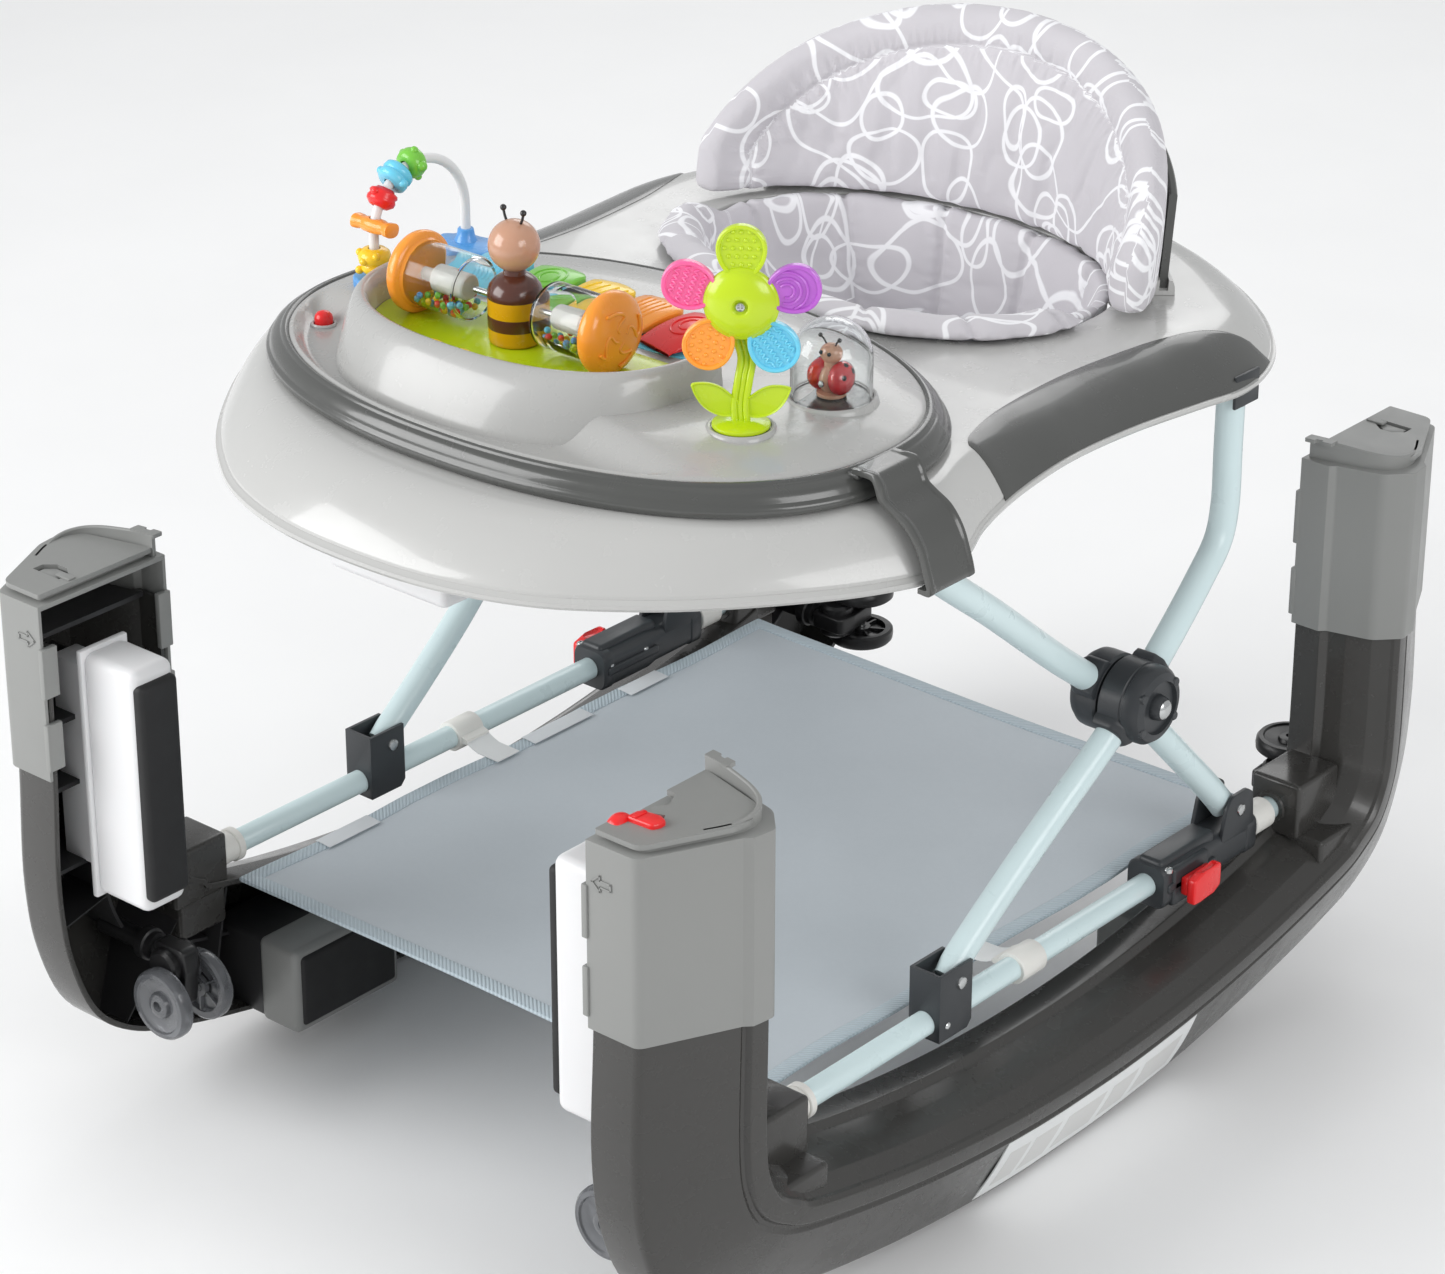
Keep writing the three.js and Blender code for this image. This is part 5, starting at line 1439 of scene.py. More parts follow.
# lime base plate in the trough, with a wavy rib
plate_pts = [(q.x + 10, q.y) for q in pod_plan(117.6, -139.0, 81.9, 0, e=2.4)]
make("trough_plate", *prism(plate_pts, 519.0, 535.2, xy), MAT["lime"], "seat", "toy_lime", bevel=0.5, seg=2)
wv = catmull([np.array((POD_X - 68 + i * 12.0, -207 + (2.0 if i % 2 else -2.0), 535.6)) for i in range(15)], 5)
make("trough_wave", *tube_mesh(wv, 1.3, 10), MAT["yellow"], "seat", "toy_yellow")

# ------------------------------------------------------------------ rattle drums
def star_wave(r0, r1, a0, a1, n):
    return [(r0 + (r1 - r0) * i / n, a0 + (a1 - a0) * i / n) for i in range(n + 1)]


def drum(sgn, name, body):
    ax = lambda part: moved(part, lambda p: V(POD_X + sgn * p.x, DRUM_Y + p.y, DRUM_Z + p.z))
    shell = [(0, 31.4), (19.3, 31.4), (20.4, 32.8), (20.5, 34.5), (20.5, 72.6), (19.1, 72.6), (19.1, 34.8), (18.2, 33.0), (0, 33.0)]
    s = make(name + "_shell", *ax(lathe(shell, 72, "x")), MAT["clear"], body, "clear_plastic", angle=30)
    core = [(0, 36), (7.4, 36), (8.2, 37), (8.2, 60), (7.0, 61.5), (4.0, 61.8), (4.0, 72.6), (0, 72.6)]
    make(name + "_core", *ax(lathe(core, 40, "x")), MAT["collar"], body, "clear_plastic")
    end = [(0, 72.4), (21.0, 72.4), (22.0, 74.2), (25.0, 75.2), (25.9, 76.6), (26.0, 79.2), (25.4, 81.6), (23.6, 83.8), (20.4, 85.8), (15, 87.6), (8, 88.7), (0, 89.0)]
    cap_ = make("tool_end", *ax(lathe(end, 72, "x")), None)
    parts = [cap_]
    # raised wave lines on the outer face
    for ph in range(4):
        pts = []
        for i in range(13):
            q = i / 12
            rr = 4.0 + 15.0 * q
            an = ph * math.pi / 2 + 0.45 * math.sin(q * 7.0 + ph) + 0.2
            pts.append(np.array((88.6 - 0.0036 * rr * rr * (1 if rr < 15 else 1.15), rr * math.cos(an), rr * math.sin(an))))
        v, f = tube_mesh(catmull(pts, 3), 1.1, 8)
        parts.append(make("tool_wv", *ax((v, f)), None))
    o = join_objects(name + "_end", parts)
    finishing(o, MAT["orange"], 40)
    place(o, body, [body])
    # loose balls lying at the bottom of the drum
    rng = np.random.RandomState(11 if sgn > 0 else 23)
    cols = ["red", "yellow", "sky", "green", "lime", "blue"]
    groups = {c: [] for c in cols}
    placed, tries = [], 0
    while len(placed) < 46 and tries < 5000:
        tries += 1
        r = 2.2
        x = rng.uniform(36.5, 70.0)
        t = rng.uniform(-1.15, 1.15)
        rad = 19.0 - r - rng.choice([0, 3.9], p=[0.72, 0.28])
        p = np.array((x, rad * math.sin(t), -rad * math.cos(t)))
        if all(np.linalg.norm(p - q) > 2 * r - 0.1 for q in placed):
            placed.append(p)
    for i, p in enumerate(placed):
        prof = [(0, -2.2)] + [(2.2 * math.cos(a), 2.2 * math.sin(a)) for a in np.linspace(-1.2, 1.2, 6)] + [(0, 2.2)]
        groups[cols[i % 6]].append(ax(lathe(prof, 12, "z", tuple(p))))
    for c, ps in groups.items():
        if ps:
            make(f"{name}_balls_{c}", *merge(*ps), MAT[c], body)


drum(1, "rattle_right", "rattle_drum_right")
drum(-1, "rattle_left", "rattle_drum_left")
# steel pin that carries both drums
make("rattle_axle", *lathe([(0, -32), (2.0, -32), (2.0, 32), (0, 32)], 20, "x", (POD_X, DRUM_Y, DRUM_Z)), MAT["steel"], "seat", "tube_paint")

# ------------------------------------------------------------------ bee
BX, BY = POD_X + 2, DRUM_Y


def bee_piece(name, prof, mat, slot, n=56, node=()):
    return make(name, *lathe(prof, n, "z", (BX, BY, 0)), MAT[mat], "bee", slot, node, angle=40)


bee_piece("bee_band_bottom", [(0, 535.4), (15.2, 535.4), (16.2, 536.2), (16.6, 538.0), (16.9, 545.6), (0, 545.6)], "gold", "toy_yellow")
bee_piece("bee_band_dark", [(0, 545.4), (16.9, 545.4), (17.0, 546.2), (17.0, 552.8), (16.9, 553.6), (0, 553.6)], "brown", "toy_brown")
bee_piece("bee_band_top", [(0, 553.4), (16.9, 553.4), (17.0, 554.2), (16.9, 564.4), (0, 564.4)], "gold", "toy_yellow")
bee_piece("bee_shoulder", [(0, 564.0), (16.9, 564.2), (17.1, 565.2), (16.9, 568.0), (15.8, 571.4), (13.4, 574.6), (10.0, 577.4), (7.0, 578.8), (6.6, 582), (0, 582)], "brown", "toy_brown")
hp = [(0, 580.6)] + [(15.9 * math.cos(a), 596.6 + 16.1 * math.sin(a)) for a in np.linspace(-1.38, 1.5, 24)] + [(0, 612.7)]
bee_piece("bee_head", hp, "skin", "toy_brown", node=["bee"])
ants = []
for sg in (1, -1):
    pts = catmull([np.array((BX + sg * 5.0, BY, 609.5)), np.array((BX + sg * 7.0, BY, 613.5)), np.array((BX + sg * 8.0, BY, 617.0))], 4)
    ants.append(tube_mesh(pts, 0.85, 10))
    pr = [(0, -2.0)] + [(2.0 * math.cos(a), 2.0 * math.sin(a)) for a in np.linspace(-1.3, 1.3, 8)] + [(0, 2.0)]
    ants.append(lathe(pr, 20, "z", (BX + sg * 8.2, BY, 618.6)))
make("bee_antennae", *merge(*ants), MAT["dot"], "bee", "castor_black")
eyes = []
for sg in (1, -1):
    e = [(0, -0.6)] + [(2.1 * math.cos(a), 0.9 * math.sin(a) + 0.2) for a in np.linspace(-0.2, 1.45, 6)] + [(0, 1.1)]
    eyes.append(moved(lathe(e, 20, "y", (0, 0, 0)), lambda p, sg=sg: V(BX + sg * 5.6 + p.x, BY + 14.5 + p.y - 0.4, 599.0 + p.z)))
sm = [np.array((BX + 7.0 * math.sin(t), BY + math.sqrt(max(0, 15.75 ** 2 - (7.0 * math.sin(t)) ** 2 - (592.5 - 3.2 * math.cos(t) - 596.6) ** 2)), 592.5 - 3.2 * math.cos(t))) for t in np.linspace(-1.2, 1.2, 9)]
eyes.append(tube_mesh(catmull(sm, 3), 0.5, 8))
make("bee_eyes", *merge(*eyes), MAT["dot"], "bee", "castor_black")

# ------------------------------------------------------------------ piano keys
KEYCOL = [("light_blue", "sky", "toy_light_blue"), ("green", "green", "toy_green"), ("yellow", "yellow", "toy_yellow"), ("orange", "orange", "toy_orange"), ("red", "red", "toy_red")]
for i, (nm, mt, slt) in enumerate(KEYCOL):
    a = (i - 2) * -7 * math.pi / 180
    cx, cy = POD_X + (i - 2) * 39.5, -100 - abs(i - 2) ** 2 * 1.2

    def kp(p, a=a, cx=cx, cy=cy):
        return V(cx + p.x * math.cos(a) - p.y * math.sin(a), cy + p.x * math.sin(a) + p.y * math.cos(a), p.z)
    rings = []
    rows = 15
    for r in range(rows):
        v = r / (rows - 1)
        y = -23.6 + 48.6 * v
        hw = 16.6 + 1.2 * min(1, v * 1.4) - 9.0 * max(0, (v - 0.86) / 0.14) ** 2
        zt = 536.9 + 7.6 * (1 - (1 - min(1, v / 0.72)) ** 2) - 1.4 * max(0, (v - 0.8) / 0.2) ** 2
        ring = [V(-hw, y, 536.5), V(hw, y, 536.5), V(hw, y, zt - 1.6), V(hw - 0.7, y, zt - 0.5), V(hw - 2.0, y, zt)]
        ring += [V(hw - 2.0 - (2 * hw - 4) * q, y, zt + 0.5 * math.sin(math.pi * q)) for q in (0.25, 0.5, 0.75)]
        ring += [V(-hw + 2.0, y, zt), V(-hw + 0.7, y, zt - 0.5), V(-hw, y, zt - 1.6)]
        rings.append([kp(p) for p in ring])
    parts = [make("tool_k", *loft(rings), None, bevel=0.8, seg=2)]
    # embossed lines, one of three kinds of figure on each key
    if i in (0, 3):
        for q in (-9.5, -4.8, 0.0, 4.8, 9.5):
            pts = [np.array(tuple(kp(V(q * (0.75 + 0.25 * t) + (1.2 * math.sin(t * 6) if i == 0 else 0), -14 + 31 * t, 537.2 + 7.5 * (1 - (1 - min(1, (9.6 + 31 * t) / 35)) ** 2))))) for t in np.linspace(0, 1, 8)]
            parts.append(make("tool_l", *tube_mesh(catmull(pts, 2), 0.75, 8), None))
    elif i in (1, 4):
        for w in (1.0, 0.55):
            pts = [np.array(tuple(kp(V(10.5 * w * math.sin(t), 4 + 13 * w * math.cos(t), 537.5 + 7.3 * (1 - (1 - min(1, (27.6 + 13 * w * math.cos(t)) / 35)) ** 2))))) for t in np.linspace(0, 2 * math.pi, 20)]
            parts.append(make("tool_l", *tube_mesh(catmull(pts[:-1], 2, loop=True) + [pts[0]], 0.75, 8), None))
    else:
        for q in (-11, -3.6, 3.8, 11.2):
            pts = [np.array(tuple(kp(V(q - 3.0 + 6.0 * t, -8 + 24 * t, 537.5 + 7.3 * (1 - (1 - min(1, (15.6 + 24 * t) / 35)) ** 2))))) for t in np.linspace(0, 1, 6)]
            parts.append(make("tool_l", *tube_mesh(catmull(pts, 2), 0.75, 8), None))
    o = join_objects("key_" + nm + "_top", parts)
    finishing(o, MAT[mt], 40)
    place(o, "key_" + nm, ["key_" + nm])

panel = []
for i in range(72):
    t = 2 * math.pi * i / 72
    x, y = oval(t, 108, 29, 3.4)
    panel.append((POD_X + x, -99 + y + (-5.5 * (x / 108) ** 2)))
make("key_panel", *prism(panel, 532.2, 533.9, xy), MAT["sky"], "seat", "toy_light_blue", bevel=0.6, seg=3)

# ------------------------------------------------------------------ bead arch
def arch_point(s):
    leg_ = ARCH_Z - TRAY_Z - 0.35
    arc = math.pi * ARCH_R
    if s < leg_:
        return np.array((ARCH_X, ARCH_Y + ARCH_R, ARCH_Z - leg_ + s))
    if s > leg_ + arc:
        return np.array((ARCH_X, ARCH_Y - ARCH_R, ARCH_Z - (s - leg_ - arc)))
    a = (s - leg_) / ARCH_R
    return np.array((ARCH_X, ARCH_Y + ARCH_R * math.cos(a), ARCH_Z + ARCH_R * math.sin(a)))


ALL = 2 * (ARCH_Z - TRAY_Z - 0.35) + math.pi * ARCH_R
arch_path = [arch_point(ALL * i / 72) for i in range(73)]
make("bead_arch_wire", *tube_mesh(arch_path, ARCH_T, 24), MAT["white"], "seat", "pad_white", ["bead_arch"])


def wavy_base(cx, cy, rx, ry, lobes, amp, z0, z1, name):
    pts = []
    for i in range(96):
        t = 2 * math.pi * i / 96
        k = 1 + amp * abs(math.sin(lobes * t / 2))
        pts.append((cx + rx * k * math.cos(t), cy + ry * k * math.sin(t)))
    return make(name, *prism(pts, z0, z1, xy), MAT["blue"], "seat", "toy_blue", bevel=1.6, seg=3)


wavy_base(ARCH_X + 9, -72, 26, 13, 7, 0.10, 528.5, 537.5, "arch_cloud_rear")
make("arch_foot_rear", *lathe([(0, 536), (8.4, 536), (7.2, 538.4), (5.8, 541.2), (5.2, 545), (4.6, 545.6), (3.3, 545.6), (3.3, 536), (0, 536)][:7] + [(0, 545.6)], 32, "z", (ARCH_X, ARCH_Y + ARCH_R, 0)), MAT["blue"], "seat", "toy_blue")
wavy_base(ARCH_X + 1, -152, 15, 12.5, 6, 0.08, 528.5, 536.2, "arch_cloud_front")


def bead_mesh(prof, n=40):
    return lathe(prof, n, "z")


def on_arch(part, deg):
    a = math.radians(deg)
    R = Matrix.Rotation(a + math.pi / 2, 3, "X")
    t = V(ARCH_X, ARCH_Y - ARCH_R * math.sin(a), ARCH_Z + ARCH_R * math.cos(a))
    return moved(part, lambda p: R @ p + t)


def blob(cx, cy, cz, r, sz=1.0, n=20):
    pr = [(0, -r * sz)] + [(r * math.cos(a), r * sz * math.sin(a)) for a in np.linspace(-1.35, 1.35, 10)] + [(0, r * sz)]
    return lathe(pr, n, "z", (cx, cy, cz))


gp = [(4.0, -6.4), (7.0, -6.2), (9.0, -4.4), (10.0, -1.4), (9.9, 2.2), (8.6, 4.9), (6.2, 6.3), (4.0, 6.4), (4.0, -6.4)]
make("bead_green_turtle", *on_arch(merge(bead_mesh(gp), blob(9.4, 0, 0.5, 3.6), blob(-8.6, 4, -2, 2.6), blob(-8.6, -4, -2, 2.6), blob(3.0, 9.0, -1, 2.6), blob(3.0, -9.0, -1, 2.6)), 8), MAT["green"], "bead_green", "toy_green", ["bead_green"], angle=60)
bp = [(4.0, -6.3), (8.2, -6.2), (10.2, -4.6), (10.5, -1.5), (9.4, 0.0), (10.5, 1.5), (10.2, 4.6), (8.2, 6.2), (4.0, 6.3), (4.0, -6.3)]
make("bead_blue_whale", *on_arch(merge(bead_mesh(bp), blob(9.6, 0, 3.2, 3.0), blob(-8, 5, 2, 2.8)), 30), MAT["sky"], "bead_blue", "toy_blue", ["bead_blue"], angle=60)
rp = [(4.0, -6.3), (5.6, -6.3), (6.6, -5.0), (8.8, -4.2), (9.5, -2.6), (8.6, -1.0), (9.5, 0.8), (9.3, 3.0), (7.4, 4.8), (6.0, 6.0), (4.0, 6.3), (4.0, -6.3)]
make("bead_red_turned", *on_arch(merge(bead_mesh(rp), blob(0, -8.0, -1.8, 3.0), blob(0, 8.0, -1.8, 3.0)), 53), MAT["red"], "bead_red", "toy_red", ["bead_red"], angle=60)
rings = []
for x, hy, hz in ((-16, 4.6, 3.4), (-15.4, 6.2, 4.8), (-12, 6.0, 4.6), (-9.4, 4.6, 4.0), (-6, 5.8, 4.8), (0, 6.5, 5.0), (6, 5.8, 4.8), (9.4, 4.6, 4.0), (12, 6.0, 4.6), (15.4, 6.2, 4.8), (16, 4.6, 3.4)):
    rings.append([V(x, hy * math.copysign(abs(math.cos(t)) ** 0.8, math.cos(t)), hz * math.copysign(abs(math.sin(t)) ** 0.8, math.sin(t))) for t in np.linspace(0, 2 * math.pi, 25)[:-1]])
ob = make("bead_orange_bar", *on_arch(loft(rings), 78), None)
a_ = math.radians(78)
R_ = Matrix.Rotation(a_ + math.pi / 2, 3, "X")
t_ = V(ARCH_X, ARCH_Y - ARCH_R * math.sin(a_), ARCH_Z + ARCH_R * math.cos(a_))
boolean(ob, tool(moved(lathe([(0, -12), (4.0, -12), (4.0, 12), (0, 12)], 28, "z"), lambda p: R_ @ p + t_)))
finishing(ob, MAT["orange"], 60)
place(ob, "bead_orange", ["bead_orange"])
yp = [(4.0, -8.0), (7.0, -8.0), (8.2, -6.6), (9.0, -4.4), (8.0, -2.2), (10.0, -0.4), (10.6, 2.6), (9.8, 5.6), (7.2, 7.6), (4.0, 8.0), (4.0, -8.0)]
make("bead_yellow_bear", *moved(merge(bead_mesh(yp), blob(6.4, -7.2, -6.2, 2.8), blob(-6.4, -7.2, -6.2, 2.8), blob(7.2, -5.6, 5.0, 2.6), blob(-7.2, -5.6, 5.0, 2.6), blob(0, -9.0, 1.4, 3.4, 0.8)), lambda p: V(p.x + ARCH_X, p.y + ARCH_Y - ARCH_R, p.z + 547)), MAT["yellow"], "bead_yellow", "toy_yellow", ["bead_yellow"], angle=60)

# ------------------------------------------------------------------ flower
FACE = V(math.sin(FTURN), -math.cos(FTURN), 0)
FSIDE = V(math.cos(FTURN), math.sin(FTURN), 0)


def on_flower(part, off=0.0):
    """Local x to the side, y up, z towards the viewer of the flower."""
    o = V(*FLOWER) + FACE * off
    return moved(part, lambda p: o + FSIDE * p.x + V(0, 0, 1) * p.y + FACE * p.z)


def petal(ang, kind, mat, name, slot):
    a = math.radians(ang)
    c, s = math.cos(a), math.sin(a)
    rot = lambda p: V(p.x * c - p.y * s, p.x * s + p.y * c, p.z)
    plan = []
    for i in range(56):
        t = 2 * math.pi * i / 56
        x, y = 16.4 * math.cos(t), 14.6 * math.sin(t)
        y *= 1 + 0.10 * math.cos(t)
        plan.append((31.2 + x, y))
    inset = [(31.2 + (x - 31.2) * 0.87, y * 0.85) for x, y in plan]
    deep = [(31.2 + (x - 31.2) * 0.83, y * 0.81) for x, y in plan]
    rings = [[V(x, y, -2.4) for x, y in inset], [V(x, y, -2.2) for x, y in plan], [V(31.2 + (x - 31.2) * 1.01, y * 1.01, 0) for x, y in plan], [V(x, y, 1.9) for x, y in plan],
             [V(31.2 + (x - 31.2) * 0.96, y * 0.95, 2.45) for x, y in plan], [V(x, y, 2.1) for x, y in inset], [V(x, y, 0.9) for x, y in deep], [V(31.2 + (x - 31.2) * 0.5, y * 0.5, 0.8) for x, y in plan]]
    parts = [moved(loft(rings), rot)]
    if kind == "dots":
        for ix in range(-2, 3):
            for iy in range(-2, 3):
                x, y = 33.4 + ix * 4.9, iy * 4.9 + (2.4 if ix % 2 else 0)
                if ((x - 32.2) / 12.6) ** 2 + (y / 11.2) ** 2 < 1:
                    parts.append(moved(lathe([(0, 0.2), (1.5, 0.2), (1.35, 1.1), (0.8, 1.75), (0, 1.95)], 14, "z", (x, y, 0)), rot))
    elif kind == "waves":
        for q in (-8.0, -2.7, 2.7, 8.0):
            pts = []
            for i in range(15):
                t = i / 14
                u = -11 + 22 * t
                wv_ = 1.25 * (1 if i % 2 else -1)
                x, y = 32.5 + (u if ang in (306,) else q + wv_), (q + wv_ if ang in (306,) else u)
                if ((x - 32.0) / 13.0) ** 2 + (y / 11.6) ** 2 < 1:
                    pts.append(np.array((x, y, 1.0)))
            if len(pts) > 3:
                parts.append(moved(tube_mesh(catmull(pts, 3), 0.85, 8), rot))
    else:
        for rr in (11.4, 7.8, 4.2):
            pts = [np.array((27.0 + rr * 0.10 + rr * math.cos(t), rr * math.sin(t), 1.0)) for t in np.linspace(-2.2, 2.2, 22)]
            pts = [p for p in pts if ((p[0] - 31.8) / 13.4) ** 2 + (p[1] / 12.2) ** 2 < 1.0]
            if len(pts) > 3:
                parts.append(moved(tube_mesh(pts, 0.95, 8), rot))
    make(name, *on_flower(merge(*parts)), MAT[mat], "flower_head", slot, angle=45)


petal(90, "dots", "lime", "petal_lime", "toy_lime")
petal(162, "waves", "pink", "petal_pink", "toy_red")
petal(18, "rings", "purple", "petal_purple", "toy_blue")
petal(234, "dots", "orange", "petal_orange", "toy_orange")
petal(306, "waves", "sky", "petal_light_blue", "toy_light_blue")
hd = [(0, -3.6), (19.6, -3.6), (21.4, -2.8), (22, -1.2), (22, 1.0), (21.2, 1.9), (20.6, 2.1), (20.2, 2.7), (18.6, 4.2), (15.5, 6.0), (11.6, 7.3), (7.4, 8.0), (5.2, 8.2), (4.7, 7.9), (4.3, 6.6), (3.7, 6.0), (0, 6.0)]
make("flower_centre", *on_flower(lathe(hd, 72, "z")), MAT["lime"], "flower_head", "toy_lime", ["flower_head"], angle=50)
fs = make("flower_screw", *on_flower(moved(lathe([(0, 5.4), (3.0, 5.4), (3.0, 6.6), (2.5, 7.3), (1.4, 7.7), (0, 7.8)], 24, "z"), lambda p: p)), None, None)
for w_, h_ in ((1.9, 0.42), (0.42, 1.9)):
    boolean(fs, tool(on_flower(boxm(-w_, w_, -h_, h_, 6.9, 9))))
finishing(fs, MAT["steel"], 34)
place(fs, "flower_head")


def stem_path(dx):
    """Double ridge of the stem, behind the head."""
    pts = [(0, -73, 0), (-0.6, -62, -1.0), (1.2, -48, -3.2), (2.6, -36, -6.8), (-0.6, -24, -8.8), (-1.2, -10, -9.2), (0, 0, -9.2)]
    return catmull([np.array((x + dx * (1.0 if y < -20 else 0.9), y, z)) for x, y, z in pts], 6)


st_parts = []
for dx in (-3.4, 0.0, 3.4):
    st_parts.append(on_flower(tube_mesh(stem_path(dx), 2.15 if dx else 1.7, 14)))
path0 = stem_path(0)
webr = []
for p in path0:
    webr.append([V(p[0] - 3.6, p[1], p[2] - 1.3), V(p[0] + 3.6, p[1], p[2] - 1.3), V(p[0] + 3.6, p[1], p[2] + 0.5), V(p[0] - 3.6, p[1], p[2] + 0.5)])
st_parts.append(on_flower(loft(webr)))
make("flower_stem_ridges", *merge(*st_parts), MAT["lime"], "seat", "toy_lime", ["flower_stem"], angle=60)
st_parts = [on_flower(lathe([(0, 9.0), (3.0, 9.0), (3.0, 4.0), (0, 4.0)], 20, "z"), -13.0)]
make("flower_pin", *st_parts[0], MAT["steel"], "seat", "tube_paint")
for sg, nm in ((1, "right"), (-1, "left")):
    mid = [(0, -69), (6, -70.5), (13, -69.2), (19.5, -65.4), (24, -60), (27.0, -53.4), (27.4, -50.6), (22, -49.4), (15.5, -50.0), (9.5, -52.6), (4, -57.0), (0, -60)]
    pl = catmull([np.array((sg * (1.5 + x), y)) for x, y in mid], 4, loop=True)
    n_ = len(pl)
    cx_ = sum(p[0] for p in pl) / n_
    cy_ = sum(p[1] for p in pl) / n_
    sc = lambda k: [(cx_ + (p[0] - cx_) * k, cy_ + (p[1] - cy_) * k) for p in pl]
    rings = [[V(x, y, -1.3) for x, y in sc(0.97)], [V(x, y, -0.6) for x, y in sc(1.0)], [V(x, y, 1.0) for x, y in sc(1.0)], [V(x, y, 1.7) for x, y in sc(0.965)], [V(x, y, 1.5) for x, y in sc(0.91)], [V(x, y, 0.5) for x, y in sc(0.87)], [V(x, y, 0.45) for x, y in sc(0.4)]]
    bend = lambda p: V(p.x, p.y, p.z - 1.2 + 0.07 * abs(p.x))
    make("flower_leaf_" + nm, *on_flower(moved(loft(rings), bend)), MAT["lime"], "seat", "toy_lime", angle=50)
make("flower_base", *lathe([(0, 533.3), (17.0, 533.3), (17.3, 534.0), (17.0, 535.4), (16.2, 536.0), (8, 536.9), (0, 537.2)], 64, "z", (FLOWER[0], FLOWER[1], 0)), MAT["lime"], "seat", "toy_lime", angle=40)

# ------------------------------------------------------------------ ladybird under its dome
LX, LY = LADY


def squashed(part, kx, ky, kz, at, rz=0.0):
    c, s = math.cos(rz), math.sin(rz)
    return moved(part, lambda p: V(at[0] + (p.x * kx) * c - (p.y * ky) * s, at[1] + (p.x * kx) * s + (p.y * ky) * c, at[2] + p.z * kz))


sph = lambda r, n=32: lathe([(0, -r)] + [(r * math.cos(a), r * math.sin(a)) for a in np.linspace(-1.45, 1.45, 18)] + [(0, r)], n, "z")
lz0 = TRAY_Z + 1.0
belly = merge(squashed(sph(8.4), 0.72, 1.12, 1.12, (LX, LY, lz0 + 10.2)), lathe([(0, lz0), (9, lz0), (9, lz0 + 2), (0, lz0 + 3)], 32, "z", (LX, LY, 0)))
make("ladybird_belly", *belly, MAT["skin"], "ladybird", "toy_brown")
wing = merge(squashed(sph(9.4), 0.80, 1.22, 1.08, (LX + 6.6, LY + 1.0, lz0 + 11.4), 0.25), squashed(sph(9.4), 0.80, 1.22, 1.08, (LX - 6.6, LY + 1.0, lz0 + 11.4), -0.25))
make("ladybird_wings", *wing, MAT["ladyred"], "ladybird", "toy_red", ["ladybird"])
make("ladybird_head", *merge(squashed(sph(6.8), 1.05, 0.95, 0.92, (LX, LY - 0.5, lz0 + 26.0)), lathe([(0, lz0 + 17), (4.6, lz0 + 17), (4.2, lz0 + 22), (0, lz0 + 22)], 24, "z", (LX, LY - 0.3, 0))), MAT["skin"], "ladybird", "toy_brown")
spots = []
for sg in (1, -1):
    for th, ph, r in ((0.25, 0.5, 2.0), (-0.75, 0.35, 1.7), (1.2, 0.3, 1.8), (0.4, -0.35, 1.6), (-0.2, 1.1, 1.7), (2.2, 0.4, 1.7)):
        ex, ey, ez = 9.4 * 0.80, 9.4 * 1.22, 9.4 * 1.08
        d = V(math.cos(ph) * math.cos(th), math.cos(ph) * math.sin(th), math.sin(ph))
        p0 = V(d.x * ex * sg, d.y * ey, d.z * ez)
        nrm = V(p0.x / ex ** 2, p0.y / ey ** 2, p0.z / ez ** 2).normalized()
        rz = 0.25 * sg
        rotz = lambda q: V(q.x * math.cos(rz) - q.y * math.sin(rz), q.x * math.sin(rz) + q.y * math.cos(rz), q.z)
        pc, nn = rotz(p0) + V(LX + sg * 6.6, LY + 1.0, lz0 + 11.4), rotz(nrm)
        q = nn.to_track_quat("Z", "Y").to_matrix()
        spots.append(moved(lathe([(0, -0.5), (r, -0.5), (r * 0.9, 0.12), (0, 0.35)], 18, "z"), lambda p, q=q, pc=pc: q @ p + pc))
pe = []
for sg in (1, -1):
    pe.append(squashed(sph(1.25, 14), 1, 1, 1, (LX + sg * 3.0, LY - 6.4, lz0 + 27.4)))
    pts = catmull([np.array((LX + sg * 3.2, LY - 1.0, lz0 + 31.0)), np.array((LX + sg * 5.0, LY - 1.4, lz0 + 34.0)), np.array((LX + sg * 6.6, LY - 1.8, lz0 + 35.4))], 4)
    pe.append(tube_mesh(pts, 0.55, 8))
    pe.append(squashed(sph(1.35, 16), 1, 1, 1, (LX + sg * 7.2, LY - 2.0, lz0 + 36.0)))
make("ladybird_spots", *merge(*(spots + pe)), MAT["dot"], "ladybird", "castor_black")
make("ladybird_screw", *moved(lathe([(0, -0.4), (2.1, -0.4), (2.1, 0.5), (1.5, 1.1), (0, 1.3)], 20, "y"), lambda p: V(LX + p.x, LY - 9.6 - p.y, lz0 + 9.2 + p.z)), MAT["steel"], "ladybird", "tube_paint")
make("ladybird_well", *lathe([(0, 532.0), (24.2, 532.0), (24.2, 533.4), (23.2, 533.6), (22.6, 532.9), (0, 532.9)], 64, "z", (LX, LY, 0)), MAT["trim"], "seat", "trim_plastic")
zc = TRAY_Z + 24.5
do = [(22.9, TRAY_Z + 0.4), (24.5, TRAY_Z + 0.4), (24.5, zc - 6)] + [(24.5 * math.cos(a), zc + 24.4 * math.sin(a)) for a in np.linspace(0, math.pi / 2, 16)][:-1] + [(0.01, zc + 24.4)]
di = [(0.01, zc + 23.1)] + [(23.2 * math.cos(a), zc + 23.1 * math.sin(a)) for a in np.linspace(math.pi / 2, 0, 16)][1:] + [(23.0, zc - 6), (22.9, TRAY_Z + 0.4)]
make("ladybird_dome_shell", *lathe(do + di, 64, "z", (LX, LY, 0)), MAT["clear"], "seat", "clear_plastic", ["ladybird_dome"], angle=50)
